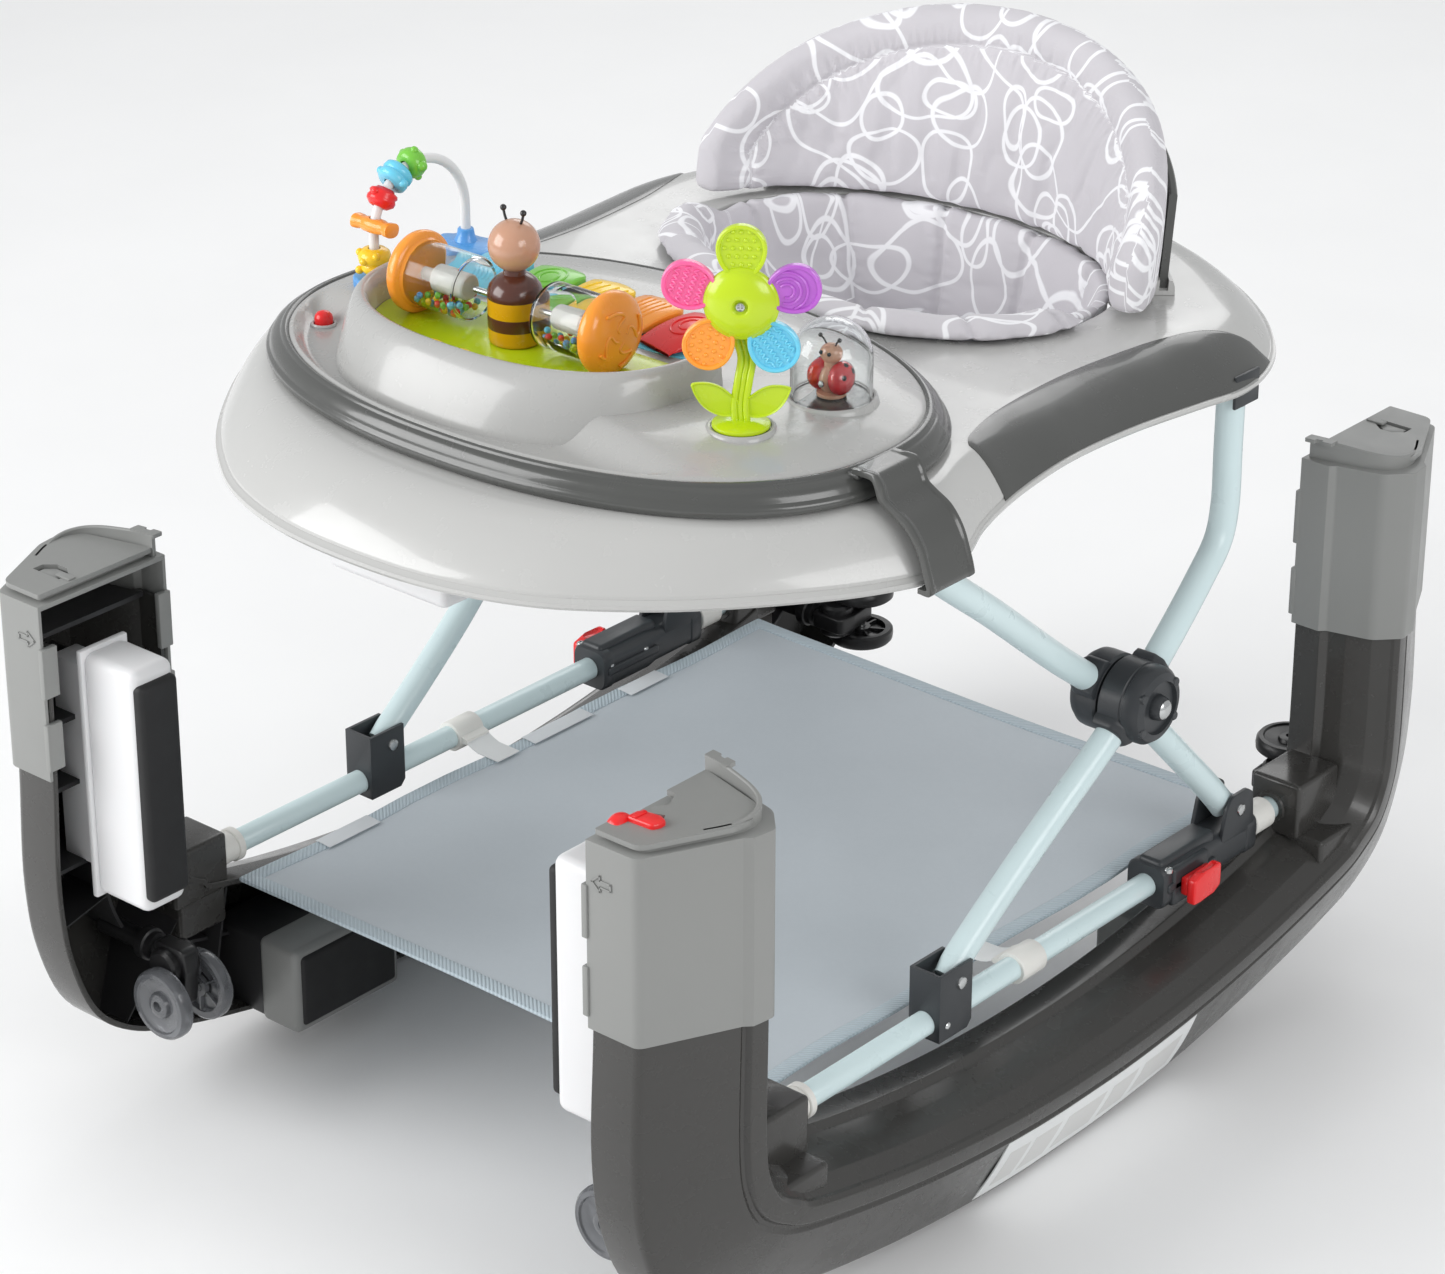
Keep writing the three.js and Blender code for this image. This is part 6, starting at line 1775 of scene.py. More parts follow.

# ------------------------------------------------------------------ button and the right tray strap
make("red_button_top", *lathe([(0, 512.6), (5.5, 512.6), (5.8, 518.6), (5.9, 520.4), (5.4, 522.6), (4.0, 524.3), (2.0, 525.2), (0, 525.4)], 36, "z", (-180, -196, 0)), MAT["red"], "red_button", "toy_red", ["red_button"])
make("red_button_collar", *lathe([(6.3, 513), (8.4, 513), (8.4, 517.2), (7.8, 518.0), (6.9, 518.0), (6.3, 517.4), (6.3, 513)], 40, "z", (-180, -196, 0)), MAT["ring"], "seat", "ring_plastic")


def strap():
    outer = [(224, 525.0), (233, 525.2), (240.5, 524.6), (245.2, 519.5), (248.2, 512.4), (254.0, 508.4), (264.8, 502.6), (271.0, 496.2), (275.8, 488.6), (279.6, 478.6), (282.7, 469.0), (283.6, 464.0), (282.0, 461.7), (273.6, 461.7)]
    inner = [(224, 521.9), (233, 522.0), (238.6, 521.3), (241.2, 517.0), (244.0, 510.0), (251.6, 505.2), (262.2, 499.6), (267.6, 494.0), (272.0, 487.4), (275.8, 478.4), (278.8, 469.2), (279.9, 465.4), (278.6, 464.8), (273.6, 464.8)]
    o_, i_ = catmull([np.array(p) for p in outer], 4), catmull([np.array(p) for p in inner], 4)
    ys = [(-172.0, 0.0), (-171.6, 0.6), (-170.2, 0.9), (-168.6, 0.45), (-167.8, -0.25), (-166.0, -0.35), (-138.0, -0.35), (-136.2, -0.25), (-135.4, 0.45), (-133.8, 0.9), (-132.4, 0.6), (-132.0, 0.0)]
    rings = []
    for y, h in ys:
        top = []
        for k, p in enumerate(o_):
            a, b = o_[max(k - 1, 0)], o_[min(k + 1, len(o_) - 1)]
            d = (b - a) / (np.linalg.norm(b - a) + 1e-9)
            n_ = np.array((-d[1], d[0]))
            if n_[1] < 0 and k < len(o_) - 6:
                n_ = -n_
            if n_[0] < 0 and k >= 12:
                n_ = -n_
            top.append(p + n_ * (h if 3 < k < len(o_) - 8 else min(h, 0)))
        rings.append([V(p[0], y, p[1]) for p in top] + [V(p[0], y, p[1]) for p in i_[::-1]])
    return loft(rings)


make("tray_strap_right", *strap(), MAT["trim"], "tray_clip_right", "trim_plastic", ["tray_clip_right"], angle=38)
# hinge block where the strap leaves the tray
make("strap_hinge_right", *boxm(216, 228, -171, -133, 518.4, 521.4), MAT["trim"], "seat", "trim_plastic", bevel=1.0)


# ------------------------------------------------------------------ printed fabric
def fabric(name, base, line):
    """Grey cloth printed with thin white loops; the cloth's own coordinates are in millimetres in cloth_uv."""
    m, nt, b = nodes_of(name)
    at = N(nt, "Attribute")
    at.attribute_name = "cloth_uv"
    uv = at.outputs["Vector"]

    def vm(op, a, b_=None, out="Vector"):
        n = N(nt, "VectorMath", operation=op)
        for i, v in enumerate((a, b_)):
            if v is None:
                continue
            if isinstance(v, tuple):
                n.inputs[i].default_value = v
            else:
                nt.links.new(v, n.inputs[i])
        return n.outputs[out]

    ns = N(nt, "TexNoise")
    ns.inputs["Scale"].default_value = 1 / 74.0
    ns.inputs["Detail"].default_value = 1.2
    ns.inputs["Roughness"].default_value = 0.35
    nt.links.new(uv, ns.inputs["Vector"])
    wob = vm("SUBTRACT", ns.outputs["Color"], (0.5, 0.5, 0.5))
    wob = vm("MULTIPLY", wob, (46.0, 46.0, 0.0))
    p = vm("ADD", uv, wob)
    fams = [(22, 27, 14, 12, 4.3, 3.9, 20), (14, 17, 71, 44, 5.9, 5.2, -35), (30, 24, 33, 90, 3.9, 4.3, 62), (19, 24, 40, 5, 4.6, 5.3, 33), (25, 18, 5, 61, 4.2, 5.1, -70), (16, 13, 52, 81, 6.6, 7.3, 8)]
    best = None
    for rx, ry, ox, oy, lx, ly, rot in fams:
        mp = N(nt, "Mapping", vector_type="POINT")
        mp.inputs["Location"].default_value = (ox / rx, oy / ry, 0)
        mp.inputs["Rotation"].default_value = (0, 0, math.radians(rot))
        mp.inputs["Scale"].default_value = (1 / rx, 1 / ry, 0)
        nt.links.new(p, mp.inputs["Vector"])
        w = N(nt, "VectorMath", operation="WRAP")
        nt.links.new(mp.outputs[0], w.inputs[0])
        w.inputs[1].default_value = (lx / 2, ly / 2, 1)
        w.inputs[2].default_value = (-lx / 2, -ly / 2, -1)
        ln = vm("LENGTH", w.outputs[0], None, "Value")
        dd = math_node(nt, "MULTIPLY", math_node(nt, "ABSOLUTE", math_node(nt, "SUBTRACT", ln, 1.0)), (rx + ry) / 2.0)
        best = dd if best is None else math_node(nt, "MINIMUM", best, dd)
    sep = N(nt, "SeparateXYZ")
    nt.links.new(p, sep.inputs[0])
    for kx, ky, per, amp, k in ((0.35, 0.94, 58.0, 17.0, 17.0), (0.87, -0.5, 74.0, 19.0, 21.0)):
        along = math_node(nt, "ADD", math_node(nt, "MULTIPLY", sep.outputs[0], ky), math_node(nt, "MULTIPLY", sep.outputs[1], -kx))
        cross_ = math_node(nt, "ADD", math_node(nt, "MULTIPLY", sep.outputs[0], kx), math_node(nt, "MULTIPLY", sep.outputs[1], ky))
        wv_ = math_node(nt, "ADD", cross_, math_node(nt, "MULTIPLY", math_node(nt, "SINE", math_node(nt, "DIVIDE", along, k)), amp))
        pp = math_node(nt, "PINGPONG", wv_, per)
        best = math_node(nt, "MINIMUM", best, pp)
    mask = remap(nt, best, 1.1, 1.9, 1.0, 0.0)
    # faint tone change of the cloth, and its weave
    tone = remap(nt, noise_tex(nt, 14.0, 3.0), 0.3, 0.7, 0.0, 1.0)
    g = mix_rgb(nt, tone, srgb(*[c - 3 for c in base]), srgb(*[min(255, c + 3) for c in base]))
    nt.links.new(mix_rgb(nt, mask, g, srgb(*line)), b.inputs["Base Color"])
    nt.links.new(remap(nt, noise_tex(nt, 420.0, 2.0), 0.3, 0.7, 0.78, 0.92), b.inputs["Roughness"])
    weave = noise_tex(nt, 1500.0, 2.0)
    bump(nt, b, weave, 0.16, 0.0004)
    b.inputs["Sheen Weight"].default_value = 0.22
    b.inputs["Sheen Roughness"].default_value = 0.5
    return m


def satin(name, rgb, rib=None):
    m, nt, b = nodes_of(name)
    tone = remap(nt, noise_tex(nt, 9.0, 3.0), 0.3, 0.7, 0.0, 1.0)
    c = mix_rgb(nt, tone, srgb(*[v - 2 for v in rgb]), srgb(*[v + 3 for v in rgb]))
    if rib:
        at = N(nt, "Attribute")
        at.attribute_name = "cloth_uv"
        sep = N(nt, "SeparateXYZ")
        nt.links.new(at.outputs["Vector"], sep.inputs[0])
        ph = math_node(nt, "MULTIPLY", math_node(nt, "ADD", sep.outputs[0], sep.outputs[1]), 2 * math.pi / rib)
        wv_ = math_node(nt, "SINE", ph)
        c = mix_rgb(nt, remap(nt, wv_, -1.0, 1.0, 0.0, 0.55), c, srgb(*[v - 26 for v in rgb]))
        bump(nt, b, wv_, 0.5, 0.0006)
    else:
        bump(nt, b, noise_tex(nt, 900.0, 2.0), 0.10, 0.0004)
    nt.links.new(c, b.inputs["Base Color"])
    nt.links.new(remap(nt, noise_tex(nt, 300.0, 2.0), 0.3, 0.7, 0.52, 0.66), b.inputs["Roughness"])
    b.inputs["Sheen Weight"].default_value = 0.15
    return m


MAT["print"] = fabric("seat_fabric_print", (200, 197, 202), (240, 240, 243))
MAT["mat"] = satin("mat_fabric", (180, 188, 194))
MAT["binding"] = satin("mat_binding", (184, 198, 206), rib=3.4)
MAT["label"] = satin("blank_label", (208, 212, 215))


def verts_of(o):
    co = np.zeros(len(o.data.vertices) * 3)
    o.data.vertices.foreach_get("co", co)
    return co.reshape(-1, 3) * 1000.0


def normals_of(o):
    n = np.zeros(len(o.data.vertices) * 3)
    o.data.vertices.foreach_get("normal", n)
    return n.reshape(-1, 3)


def set_verts(o, co):
    o.data.vertices.foreach_set("co", (co / 1000.0).ravel())
    o.data.update()


def put_uv(o, uvw):
    a = o.data.attributes.get("cloth_uv") or o.data.attributes.new("cloth_uv", "FLOAT_VECTOR", "POINT")
    a.data.foreach_set("vector", np.asarray(uvw, np.float32).ravel())


def voxel(o, size):
    m = o.modifiers.new("Remesh", "REMESH")
    m.mode, m.voxel_size = "VOXEL", size * MM
    bake(o)


def inflate(o, pin, cap, pressure=4.0, frames_=20, stiff=15.0):
    """Blow the cloth up a little round its pinned seams, then keep the result. cap is the largest move of each point."""
    start = verts_of(o)
    g = o.vertex_groups.new(name="seams")
    g.add([int(i) for i in np.nonzero(pin)[0]], 1.0, "REPLACE")
    c = o.modifiers.new("Cloth", "CLOTH")
    s = c.settings
    s.quality = 5
    s.mass = 0.3
    s.tension_stiffness = s.compression_stiffness = s.shear_stiffness = stiff
    s.bending_stiffness = 0.35
    s.use_pressure = True
    s.uniform_pressure_force = pressure
    s.vertex_group_mass = "seams"
    s.pin_stiffness = 1.0
    s.effector_weights.gravity = 0.0
    c.collision_settings.use_collision = False
    c.collision_settings.use_self_collision = False
    for f in range(1, frames_ + 1):
        SCENE.frame_set(f)
    dg = bpy.context.evaluated_depsgraph_get()
    ev = o.evaluated_get(dg)
    me = ev.to_mesh()
    co = np.zeros(len(me.vertices) * 3)
    me.vertices.foreach_get("co", co)
    ev.to_mesh_clear()
    o.modifiers.remove(c)
    o.vertex_groups.clear()
    SCENE.frame_set(1)
    d = co.reshape(-1, 3) * 1000.0 - start
    ln = np.linalg.norm(d, axis=1)
    k = np.minimum(1.0, cap / np.maximum(ln, 1e-9))
    set_verts(o, start + d * k[:, None])


def polyline_distance(P, Q):
    """Distance of 2-D points P to polyline Q, and how far along it the nearest place is."""
    best = np.full(len(P), 1e9)
    along = np.zeros(len(P))
    run = 0.0
    for a, b in zip(Q[:-1], Q[1:]):
        ab = b - a
        L = np.linalg.norm(ab)
        if L < 1e-9:
            continue
        t = np.clip(((P - a) @ ab) / L ** 2, 0, 1)
        d = np.linalg.norm(P - (a + t[:, None] * ab), axis=1)
        w = d < best
        best[w] = d[w]
        along[w] = run + t[w] * L
        run += L
    return best, along


def pucker(along, seed, period=10.0):
    """A broken wave along a seam, for the gathers beside it."""
    return np.sin(2 * np.pi * along / period + 1.7 * np.sin(along / 23.0 + seed)) * (0.55 + 0.45 * np.sin(along / 37.0 + 2.1 * seed)) + 0.45 * np.sin(2 * np.pi * along / (period * 0.57) + seed)


# ------------------------------------------------------------------ back cushion
CA, CB, CY0 = 178.0, 125.0, 140.0
T0, T1 = 7.0, 173.0


def cushion_top(s):
    return 507.2 + 138 * max(s, 0.001) ** 0.62


def cushion_section(s, deg):
    zt = cushion_top(s)
    endd = min(deg - T0, T1 - deg)
    e = min(1.0, endd / 3.2)
    h = 11.6 * math.sqrt(max(0.02, 1 - (1 - e) ** 2))
    z0 = 509.0
    zt = zt - 2.5
    n = 16
    pts = []
    H = zt - z0
    rr = min(12.0, H * 0.35)
    for i in range(n + 1):                                 # outer face, upwards
        q = i / n
        z = z0 + 4 + (H - 4 - rr) * q
        pts.append((h + 0.8 * math.sin(math.pi * q), z))
    for i in range(1, 10):                                 # over the top
        a = math.pi * i / 10
        pts.append((h * math.cos(a), zt - rr + rr * math.sin(a)))
    for i in range(n + 1):                                 # inner face, downwards
        q = 1 - i / n
        z = z0 + 6 + (H - 6 - rr) * q
        lobe = 8.5 * math.exp(-((z - (z0 + 9)) / 17.0) ** 2) * min(1.0, max(0.0, (endd - 2) / 14.0))
        crown = 2.4 * math.sin(math.pi * min(1.0, q * 1.15)) * min(1.0, H / 80)
        pts.append((-h - lobe - crown, z))
    lb = 8.0 * min(1.0, max(0.0, (endd - 2) / 14.0))
    pts += [(-h - lb * 0.72, z0 + 1.8), (-h - lb * 0.2, z0), (0.0, z0 + 0.2), (h - 2, z0 + 0.4), (h, z0 + 2)]
    return pts


def cushion_wall(t0, t1, n, section):
    rings = []
    for i in range(n + 1):
        deg = t0 + (t1 - t0) * i / n
        t = math.radians(deg)
        c, s = math.cos(t), math.sin(t)
        nx, ny = c / CA, s / CB
        ln = math.hypot(nx, ny)
        rings.append([V(CA * c + nx / ln * d, CY0 + CB * s + ny / ln * d + lean(z), z) for d, z in section(max(s, 0.001), deg)])
    return rings


# arc length of the cushion's centre line, to lay the print without stretch
_deg = np.linspace(0, 180, 361)
_pts = np.stack([CA * np.cos(np.radians(_deg)), CB * np.sin(np.radians(_deg))], 1)
_arc = np.concatenate([[0], np.cumsum(np.linalg.norm(np.diff(_pts, axis=0), axis=1))])
_arc -= _arc[180]
_out_deg = np.linspace(T0, T1, 140)
OUTLINE = np.stack([np.interp(_out_deg, _deg, _arc), [cushion_top(math.sin(math.radians(d))) for d in _out_deg]], 1)
OUTLINE = np.concatenate([[[OUTLINE[0, 0], 507.2]], OUTLINE, [[OUTLINE[-1, 0], 507.2]]])


def cushion_coords(co):
    """arc, height, offset of points on or near the cushion."""
    y = co[:, 1] - 0.12 * (co[:, 2] - 507) - CY0
    th = np.degrees(np.arctan2(y / CB, co[:, 0] / CA))
    c, s = np.cos(np.radians(th)), np.sin(np.radians(th))
    nx, ny = c / CA, s / CB
    ln = np.hypot(nx, ny)
    d = ((co[:, 0] - CA * c) * nx + (y - CB * s) * ny) / ln
    return np.interp(th, _deg, _arc), co[:, 2], d, th


cu = make("back_cushion", *loft(cushion_wall(T0, T1, 150, cushion_section)), MAT["print"], None, angle=180)
voxel(cu, 4.2)
co = verts_of(cu)
arc, z, d, th = cushion_coords(co)
dist, along = polyline_distance(np.stack([arc, z], 1), OUTLINE)
face = d < -4
SEAM = 27.0
pin = (face & (np.abs(dist - SEAM) < 2.6)) | (z < 511.0) | ((d > 4) & (np.abs(dist - 5.0) < 2.2)) | ((d > 4) & (z < 516))
inflate(cu, pin, np.where(face & (dist < SEAM), 2.2, 7.5), pressure=5.0)
m_ = cu.modifiers.new("Subsurf", "SUBSURF")
m_.levels = m_.render_levels = 1
bake(cu)
co, nr = verts_of(cu), normals_of(cu)
arc, z, d, th = cushion_coords(co)
dist, along = polyline_distance(np.stack([arc, z], 1), OUTLINE)
face = np.clip((-d - 3) / 3, 0, 1)
back_ = np.clip((d - 3) / 3, 0, 1)
k1 = np.exp(-((dist - SEAM) / 2.4) ** 2) * face
k2 = np.exp(-((dist - 5.0) / 2.0) ** 2) * back_
near = np.exp(-((dist - SEAM) / 11.0) ** 2) * face
flap = np.exp(-((z - 524.0) / 16.0) ** 2) * face * np.clip((dist - 26) / 10, 0, 1)
move = -1.3 * k1 - 1.0 * k2 + 0.75 * near * pucker(along, 0.4, 12.0) * (1 - k1)
rng = np.random.RandomState(5)
fold = np.zeros(len(co))
for i in range(16):                                        # soft creases that fan out from the lower edge
    a0 = rng.uniform(-205, 205)
    sl = rng.uniform(-0.55, 0.55)
    w = rng.uniform(5, 10)
    ln_ = rng.uniform(22, 60)
    x = arc - a0 - sl * (z - 512)
    fold += rng.uniform(0.5, 1.3) * np.exp(-(x / w) ** 2) * np.exp(-np.clip((z - 512) / ln_, 0, 9) ** 1.6) * rng.choice([-1, 1])
for i in range(14):                                        # and from the top seam
    a0 = rng.uniform(-200, 200)
    zt_ = np.interp(a0, OUTLINE[1:-1, 0][::-1] if OUTLINE[1, 0] > OUTLINE[-2, 0] else OUTLINE[1:-1, 0], OUTLINE[1:-1, 1][::-1] if OUTLINE[1, 0] > OUTLINE[-2, 0] else OUTLINE[1:-1, 1])
    sl = rng.uniform(-0.5, 0.5)
    x = arc - a0 - sl * (z - zt_)
    fold += rng.uniform(0.4, 1.0) * np.exp(-(x / rng.uniform(4, 8)) ** 2) * np.exp(-np.clip((zt_ - 22 - z) / rng.uniform(16, 38), 0, 9) ** 1.6) * rng.choice([-1, 1]) * (z < zt_ - 20)
move += fold * face * np.clip((dist - SEAM) / 6, 0, 1)
bol = np.clip(1 - dist / SEAM, 0, 1) * face
move += 0.9 * np.sin(along / 19.0 + np.sin(along / 41.0)) * np.sin(np.pi * np.clip(dist / SEAM, 0, 1)) * face
co = co + nr * move[:, None]
set_verts(cu, co)
v_ = np.where(d > 0, z + 0.9 * (d + 12), z)
u_ = arc + np.where((dist < SEAM), 61.0, 0.0)
put_uv(cu, np.stack([u_, v_ + np.where(dist < SEAM, 37.0, 0.0), np.zeros(len(co))], 1))
place(cu, "seat", ["seat_back_cushion"])


def seam_cord(name, pts, r, mat, body="seat", slot="seat_fabric", n=10):
    return make(name, *tube_mesh(pts, r, n), mat, body, slot, angle=180)


# points for piping along the lower edge of the back rest; no piping is built from them
pp = []
for deg in np.linspace(16, 164, 90):
    t = math.radians(deg)
    c, s = math.cos(t), math.sin(t)
    nx, ny = c / CA, s / CB
    ln = math.hypot(nx, ny)
    endd = min(deg - T0, T1 - deg)
    dd = -11.6 - 8.0 * min(1.0, max(0.0, (endd - 2) / 14.0)) * 0.55
    pp.append(V(CA * c + nx / ln * dd, CY0 + CB * s + ny / ln * dd + lean(509), 508.9))

# ------------------------------------------------------------------ seat pad
def pad_section(t):
    """Closed section at angle t of the opening: (d, z, scale) points, roll at the front, lining at the rear."""
    cy = math.sin(t)
    k = min(1.0, max(0.0, (cy * SEAT_B + 30) / 26))
    fr = [(12.4, 505.6), (12.8, 511), (6, 517.4), (-6, 518.4), (-14, 512.5), (-17.5, 500)]
    re = [(10.5, 505.2), (10.8, 506.2), (-2.5, 507.0), (-8.0, 507.6), (-12.8, 503.5), (-14.8, 493)]
    m = [(a[0] + (b[0] - a[0]) * k, a[1] + (b[1] - a[1]) * k, 1.0) for a, b in zip(fr, re)]
    inner = [(-18, 480, 1.0), (-17, 462, 0.97), (-13, 444, 0.88), (0, 427, 0.73), (0, 411, 0.60), (0, 400, 0.45), (0, 393.5, 0.28), (0, 391.5, 0.12)]
    outer = [(0, 384.5, 0.12), (0, 385.5, 0.28), (0, 390.5, 0.44), (0, 402, 0.62), (0, 418, 0.765), (-9, 444, 0.95), (-8.5, 462, 0.985), (-7.5, 478, 1.0), (-6.0, 492, 1.0), (-5.6, 502.5, 1.0), (0, 505.2, 1.0)]
    return m + inner + outer


def pad_point(t, d, z_, sc):
    c, s = math.cos(t), math.sin(t)
    x, y = opening(c * SEAT_A, SEAT_Y + s * SEAT_B, d)
    return V(x * sc, SEAT_Y + (y - SEAT_Y) * sc, z_)


rings = []
NS = 150
for i in range(NS):
    t = 2 * math.pi * i / NS
    pts = [np.array(tuple(pad_point(t, *q))) for q in pad_section(t)]
    rings.append([V(*p) for p in catmull(pts, 3, loop=True)])
pv, pf = loft(rings, loop=True)
# close the bowl's middle, inside and outside
m_n = len(rings[0])
inner_i = max(range(m_n), key=lambda j: -(rings[0][j] - V(0, SEAT_Y, 391.5)).length if rings[0][j].z > 388 else -1e9)
sp = make("seat_pad_cloth", pv, pf, MAT["print"], None, angle=180)
plug = tool(lathe([(0, 384.6), (22, 384.8), (24, 388), (22, 391.6), (0, 391.4)], 48, "z", (0, SEAT_Y, 0)))
sp = join_objects("seat_pad_cloth", [sp, plug])
voxel(sp, 4.8)
finishing(sp, MAT["print"], 180)
for sg in (1, -1):
    boolean(sp, tool(lathe([(0, -60), (33.5, -60), (33.5, 125), (0, 125)], 48, "y", (sg * 62, 0, 436))))
voxel(sp, 4.8)
finishing(sp, MAT["print"], 180)


def pad_coords(co):
    x, y = co[:, 0], co[:, 1] - SEAT_Y
    t = np.arctan2(y / SEAT_B, x / SEAT_A)
    e = 2.2
    k = (np.abs(np.cos(t)) ** e + np.abs(np.sin(t)) ** e) ** (-1 / e)
    rr = np.hypot(SEAT_A * np.cos(t) * k, SEAT_B * np.sin(t) * k)
    d = np.hypot(x, y) - rr
    return t, d, co[:, 2]


SEAMS = [math.radians(a) for a in (45, 75, 105, 135, 168, 12, 196, 222, 248, 270, 292, 318, 344)]
co = verts_of(sp)
t, d, z = pad_coords(co)


def seam_gap(t, rad=132.0):
    best = np.full(len(t), 1e9)
    for a in SEAMS:
        df = np.abs((t - a + np.pi) % (2 * np.pi) - np.pi) * rad
        best = np.minimum(best, df)
    return best


hole = np.minimum(np.hypot(co[:, 0] - 62, co[:, 2] - 436), np.hypot(co[:, 0] + 62, co[:, 2] - 436))
hole = np.where(co[:, 1] < 100, hole, 1e9)
gap = seam_gap(t)
pin = ((gap < 2.6) & (z > 420)) | (z < 400) | (hole < 37) | ((d > 9) & (z < 508)) | (np.abs(z - 424) < 2.5)
inflate(sp, pin, 5.5, pressure=4.0)
m_ = sp.modifiers.new("Subsurf", "SUBSURF")
m_.levels = m_.render_levels = 1
bake(sp)
co, nr = verts_of(sp), normals_of(sp)
t, d, z = pad_coords(co)
gap = seam_gap(t)
up = np.clip((z - 418) / 10, 0, 1)
inside = (nr[:, 2] > 0.2) | ((nr[:, 0] * co[:, 0] + nr[:, 1] * (co[:, 1] - SEAT_Y)) < 0)
vis = np.where(inside, 1.0, 0.35)
k1 = np.exp(-(gap / 2.7) ** 2) * up
near = np.exp(-(gap / 10.0) ** 2) * up * (1 - k1)
move = (-3.3 * k1 + 0.7 * near * pucker(z + 0.6 * d, 1.3, 9.0)) * vis
move += 0.8 * np.sin(t * 17 + np.sin(z / 15.0) * 1.6) * np.exp(-((z - 505) / 26.0) ** 2) * vis * np.clip(gap / 8, 0, 1)
kz = np.exp(-((z - 426) / 2.2) ** 2) * np.where(inside, 1.0, 0.0)
move -= 1.4 * kz
co = co + nr * move[:, None]
set_verts(sp, co)
u_ = 138.0 * t + np.floor((t + 0.4) / 0.52) * 0.0
put_uv(sp, np.stack([u_ * np.clip((z - 380) / 90 + 0.35, 0.35, 1.0) + 300, np.where(z > 500, z + (-d) * 0.0, z) - np.clip(d, -20, 16) * 0.9, np.zeros(len(co))], 1))
place(sp, "seat", ["seat_pad"])

# ------------------------------------------------------------------ foot mat
MX, MY0, MY1 = 215.0, -259.0, 265.0


def mat_z(x, y):
    q = (1 - (x / MX) ** 2) * (1 - ((y - 3) / 262.0) ** 2)
    edge = 1 - (x / MX) ** 2
    wv_ = 0.35 * math.sin(x / 33.0 + y / 57.0) + 0.3 * math.sin(y / 41.0 - x / 61.0)
    return 136.4 - 1.5 * q - 0.5 * edge + wv_ * 0.6


def mat_corner(x, y):
    """Rounded corners, and long sides that pull in a little between the clips."""
    px_, py_ = x, y
    pull = 1.6 * math.cos(math.pi * (y - 3) / 90.0) * abs(x / MX) ** 6
    px_ -= math.copysign(max(0.0, 1.2 + pull), x) * abs(x / MX) ** 4
    fy = 1.0 - (x / MX) ** 2
    py_ += (3.0 if y < 0 else -3.0) * fy * abs((y - 3) / 262.0) ** 8
    return px_, py_


nx_, ny_ = 56, 68
top_v, bot_v, uvm = [], [], []
for j in range(ny_ + 1):
    for i in range(nx_ + 1):
        x = -MX + 2 * MX * i / nx_
        y = MY0 + (MY1 - MY0) * j / ny_
        cx, cy = mat_corner(x, y)
        zz = mat_z(x, y)
        top_v.append(V(cx, cy, zz))
        bot_v.append(V(cx, cy, zz - 1.1))
        uvm.append((x, y, 0))
o_ = len(top_v)
fc = []
w_ = nx_ + 1
for j in range(ny_):
    for i in range(nx_):
        a = j * w_ + i
        fc.append((a, a + 1, a + w_ + 1, a + w_))
        fc.append((a + o_, a + w_ + o_, a + w_ + 1 + o_, a + 1 + o_))
bd = [i for i in range(nx_)] + [j * w_ + nx_ for j in range(ny_)] + [ny_ * w_ + nx_ - i for i in range(nx_)] + [(ny_ - j) * w_ for j in range(ny_)]
for a, b in zip(bd, bd[1:] + bd[:1]):
    fc.append((a, a + o_, b + o_, b))
mo = make("foot_mat_sheet", top_v + bot_v, fc, MAT["mat"], "base_frame", "mat_fabric", ["foot_mat"], angle=50)
put_uv(mo, np.array(uvm + uvm))


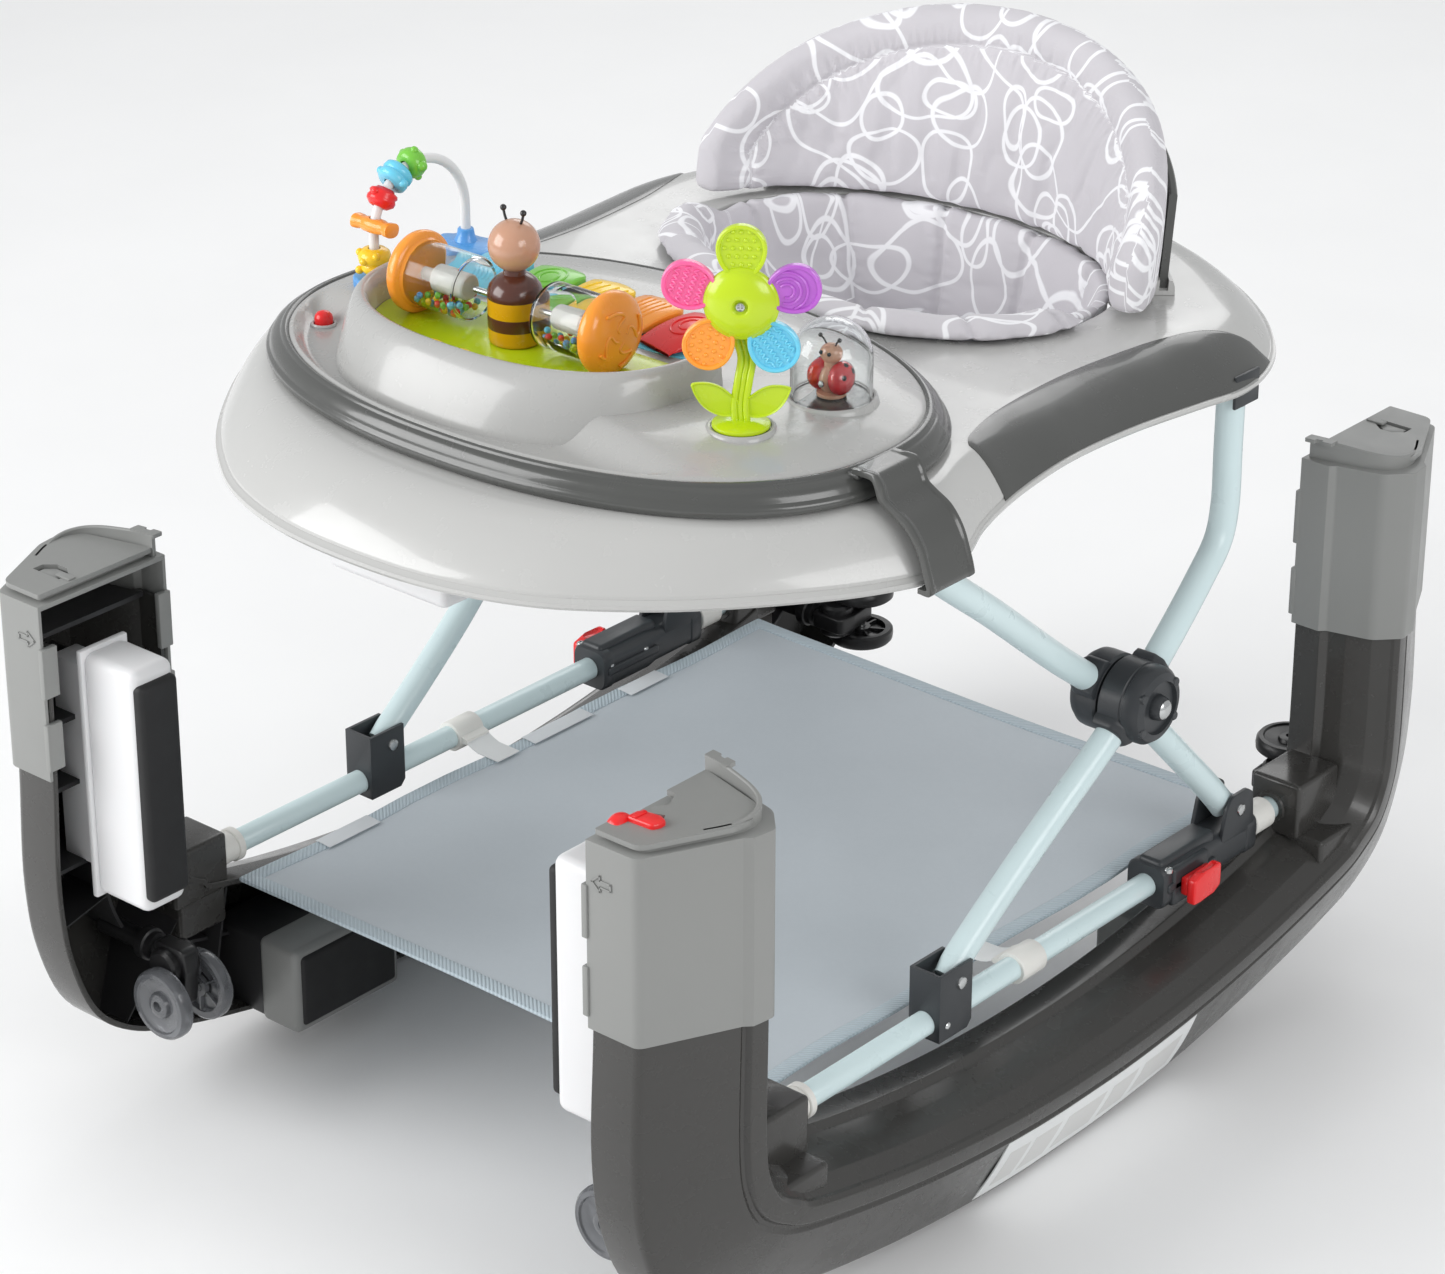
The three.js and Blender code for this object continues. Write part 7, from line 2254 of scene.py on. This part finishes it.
def binding(path_pts, name):
    """Folded tape over an edge: path_pts is (point, inward direction)."""
    rings, uvs = [], []
    run = 0.0
    prev = None
    for p, inw in path_pts:
        if prev is not None:
            run += (p - prev).length
        prev = p
        W = 10.5
        sec = [(W, 0.55), (W - 0.8, 1.0), (W * 0.5, 1.15), (1.2, 1.15), (-0.6, 0.7), (-1.1, -0.5), (-0.6, -1.7), (1.2, -2.0), (W - 0.8, -2.0), (W, -1.5)]
        rings.append([V(p.x + inw.x * a, p.y + inw.y * a, mat_z(p.x + inw.x * max(a, 0), p.y + inw.y * max(a, 0)) + b) for a, b in sec])
        uvs += [(run, a, 0) for a, b in sec]
    o = make(name, *loft(rings), MAT["binding"], "base_frame", "mat_fabric", angle=50)
    put_uv(o, np.array(uvs))
    return o


def edge_run(side):
    out = []
    n = 90
    for i in range(n + 1):
        q = i / n
        if side in ("front", "rear"):
            x = -MX + 2 * MX * q
            y = MY0 if side == "front" else MY1
            cx, cy = mat_corner(x, y)
            out.append((V(cx, cy, 0), V(0, 1 if side == "front" else -1, 0)))
        else:
            x = MX if side == "right" else -MX
            y = MY0 + (MY1 - MY0) * q
            cx, cy = mat_corner(x, y)
            out.append((V(cx, cy, 0), V(-1 if side == "right" else 1, 0, 0)))
    return out


edges_ = [binding(edge_run(s), "mat_binding_" + s) for s in ("front", "rear", "right", "left")]
loops = []
for sg in (1, -1):
    for yc, hw in ((-19, 11),):
        rings = []
        for x, z0, z1 in ((200, 137.6, 138.6), (214, 137.9, 138.9), (219, 138.0, 139.0), (224, 139.5, 140.5), (229, 142.0, 143.0), (234.4, 143.6, 144.4)):
            rings.append([V(sg * x, yc - hw, z0), V(sg * x, yc + hw, z0), V(sg * x, yc + hw, z1), V(sg * x, yc - hw, z1)])
        loops.append(loft(rings))
lp = make("mat_webbing_loops", *merge(*loops), MAT["webbing"], "base_frame", "mat_fabric", bevel=0.4, seg=2)
# blank labels sewn into the left edge
labs = []
for yc, hl in ((-168, 24), (38, 30), (128, 20)):
    if hl:
        rings = []
        for x, dz in ((-213.5, 1.5), (-210, 1.7), (-206, 1.6), (-203, 1.4), (-200, 1.3)):
            rings.append([V(x, yc - hl, mat_z(x, yc - hl) + dz), V(x, yc + hl, mat_z(x, yc + hl) + dz), V(x, yc + hl, mat_z(x, yc + hl) + dz + 0.35), V(x, yc - hl, mat_z(x, yc - hl) + dz + 0.35)])
        labs.append(loft(rings))
lb = make("mat_labels", *merge(*labs), MAT["label"], "base_frame", "mat_fabric", bevel=0.15)
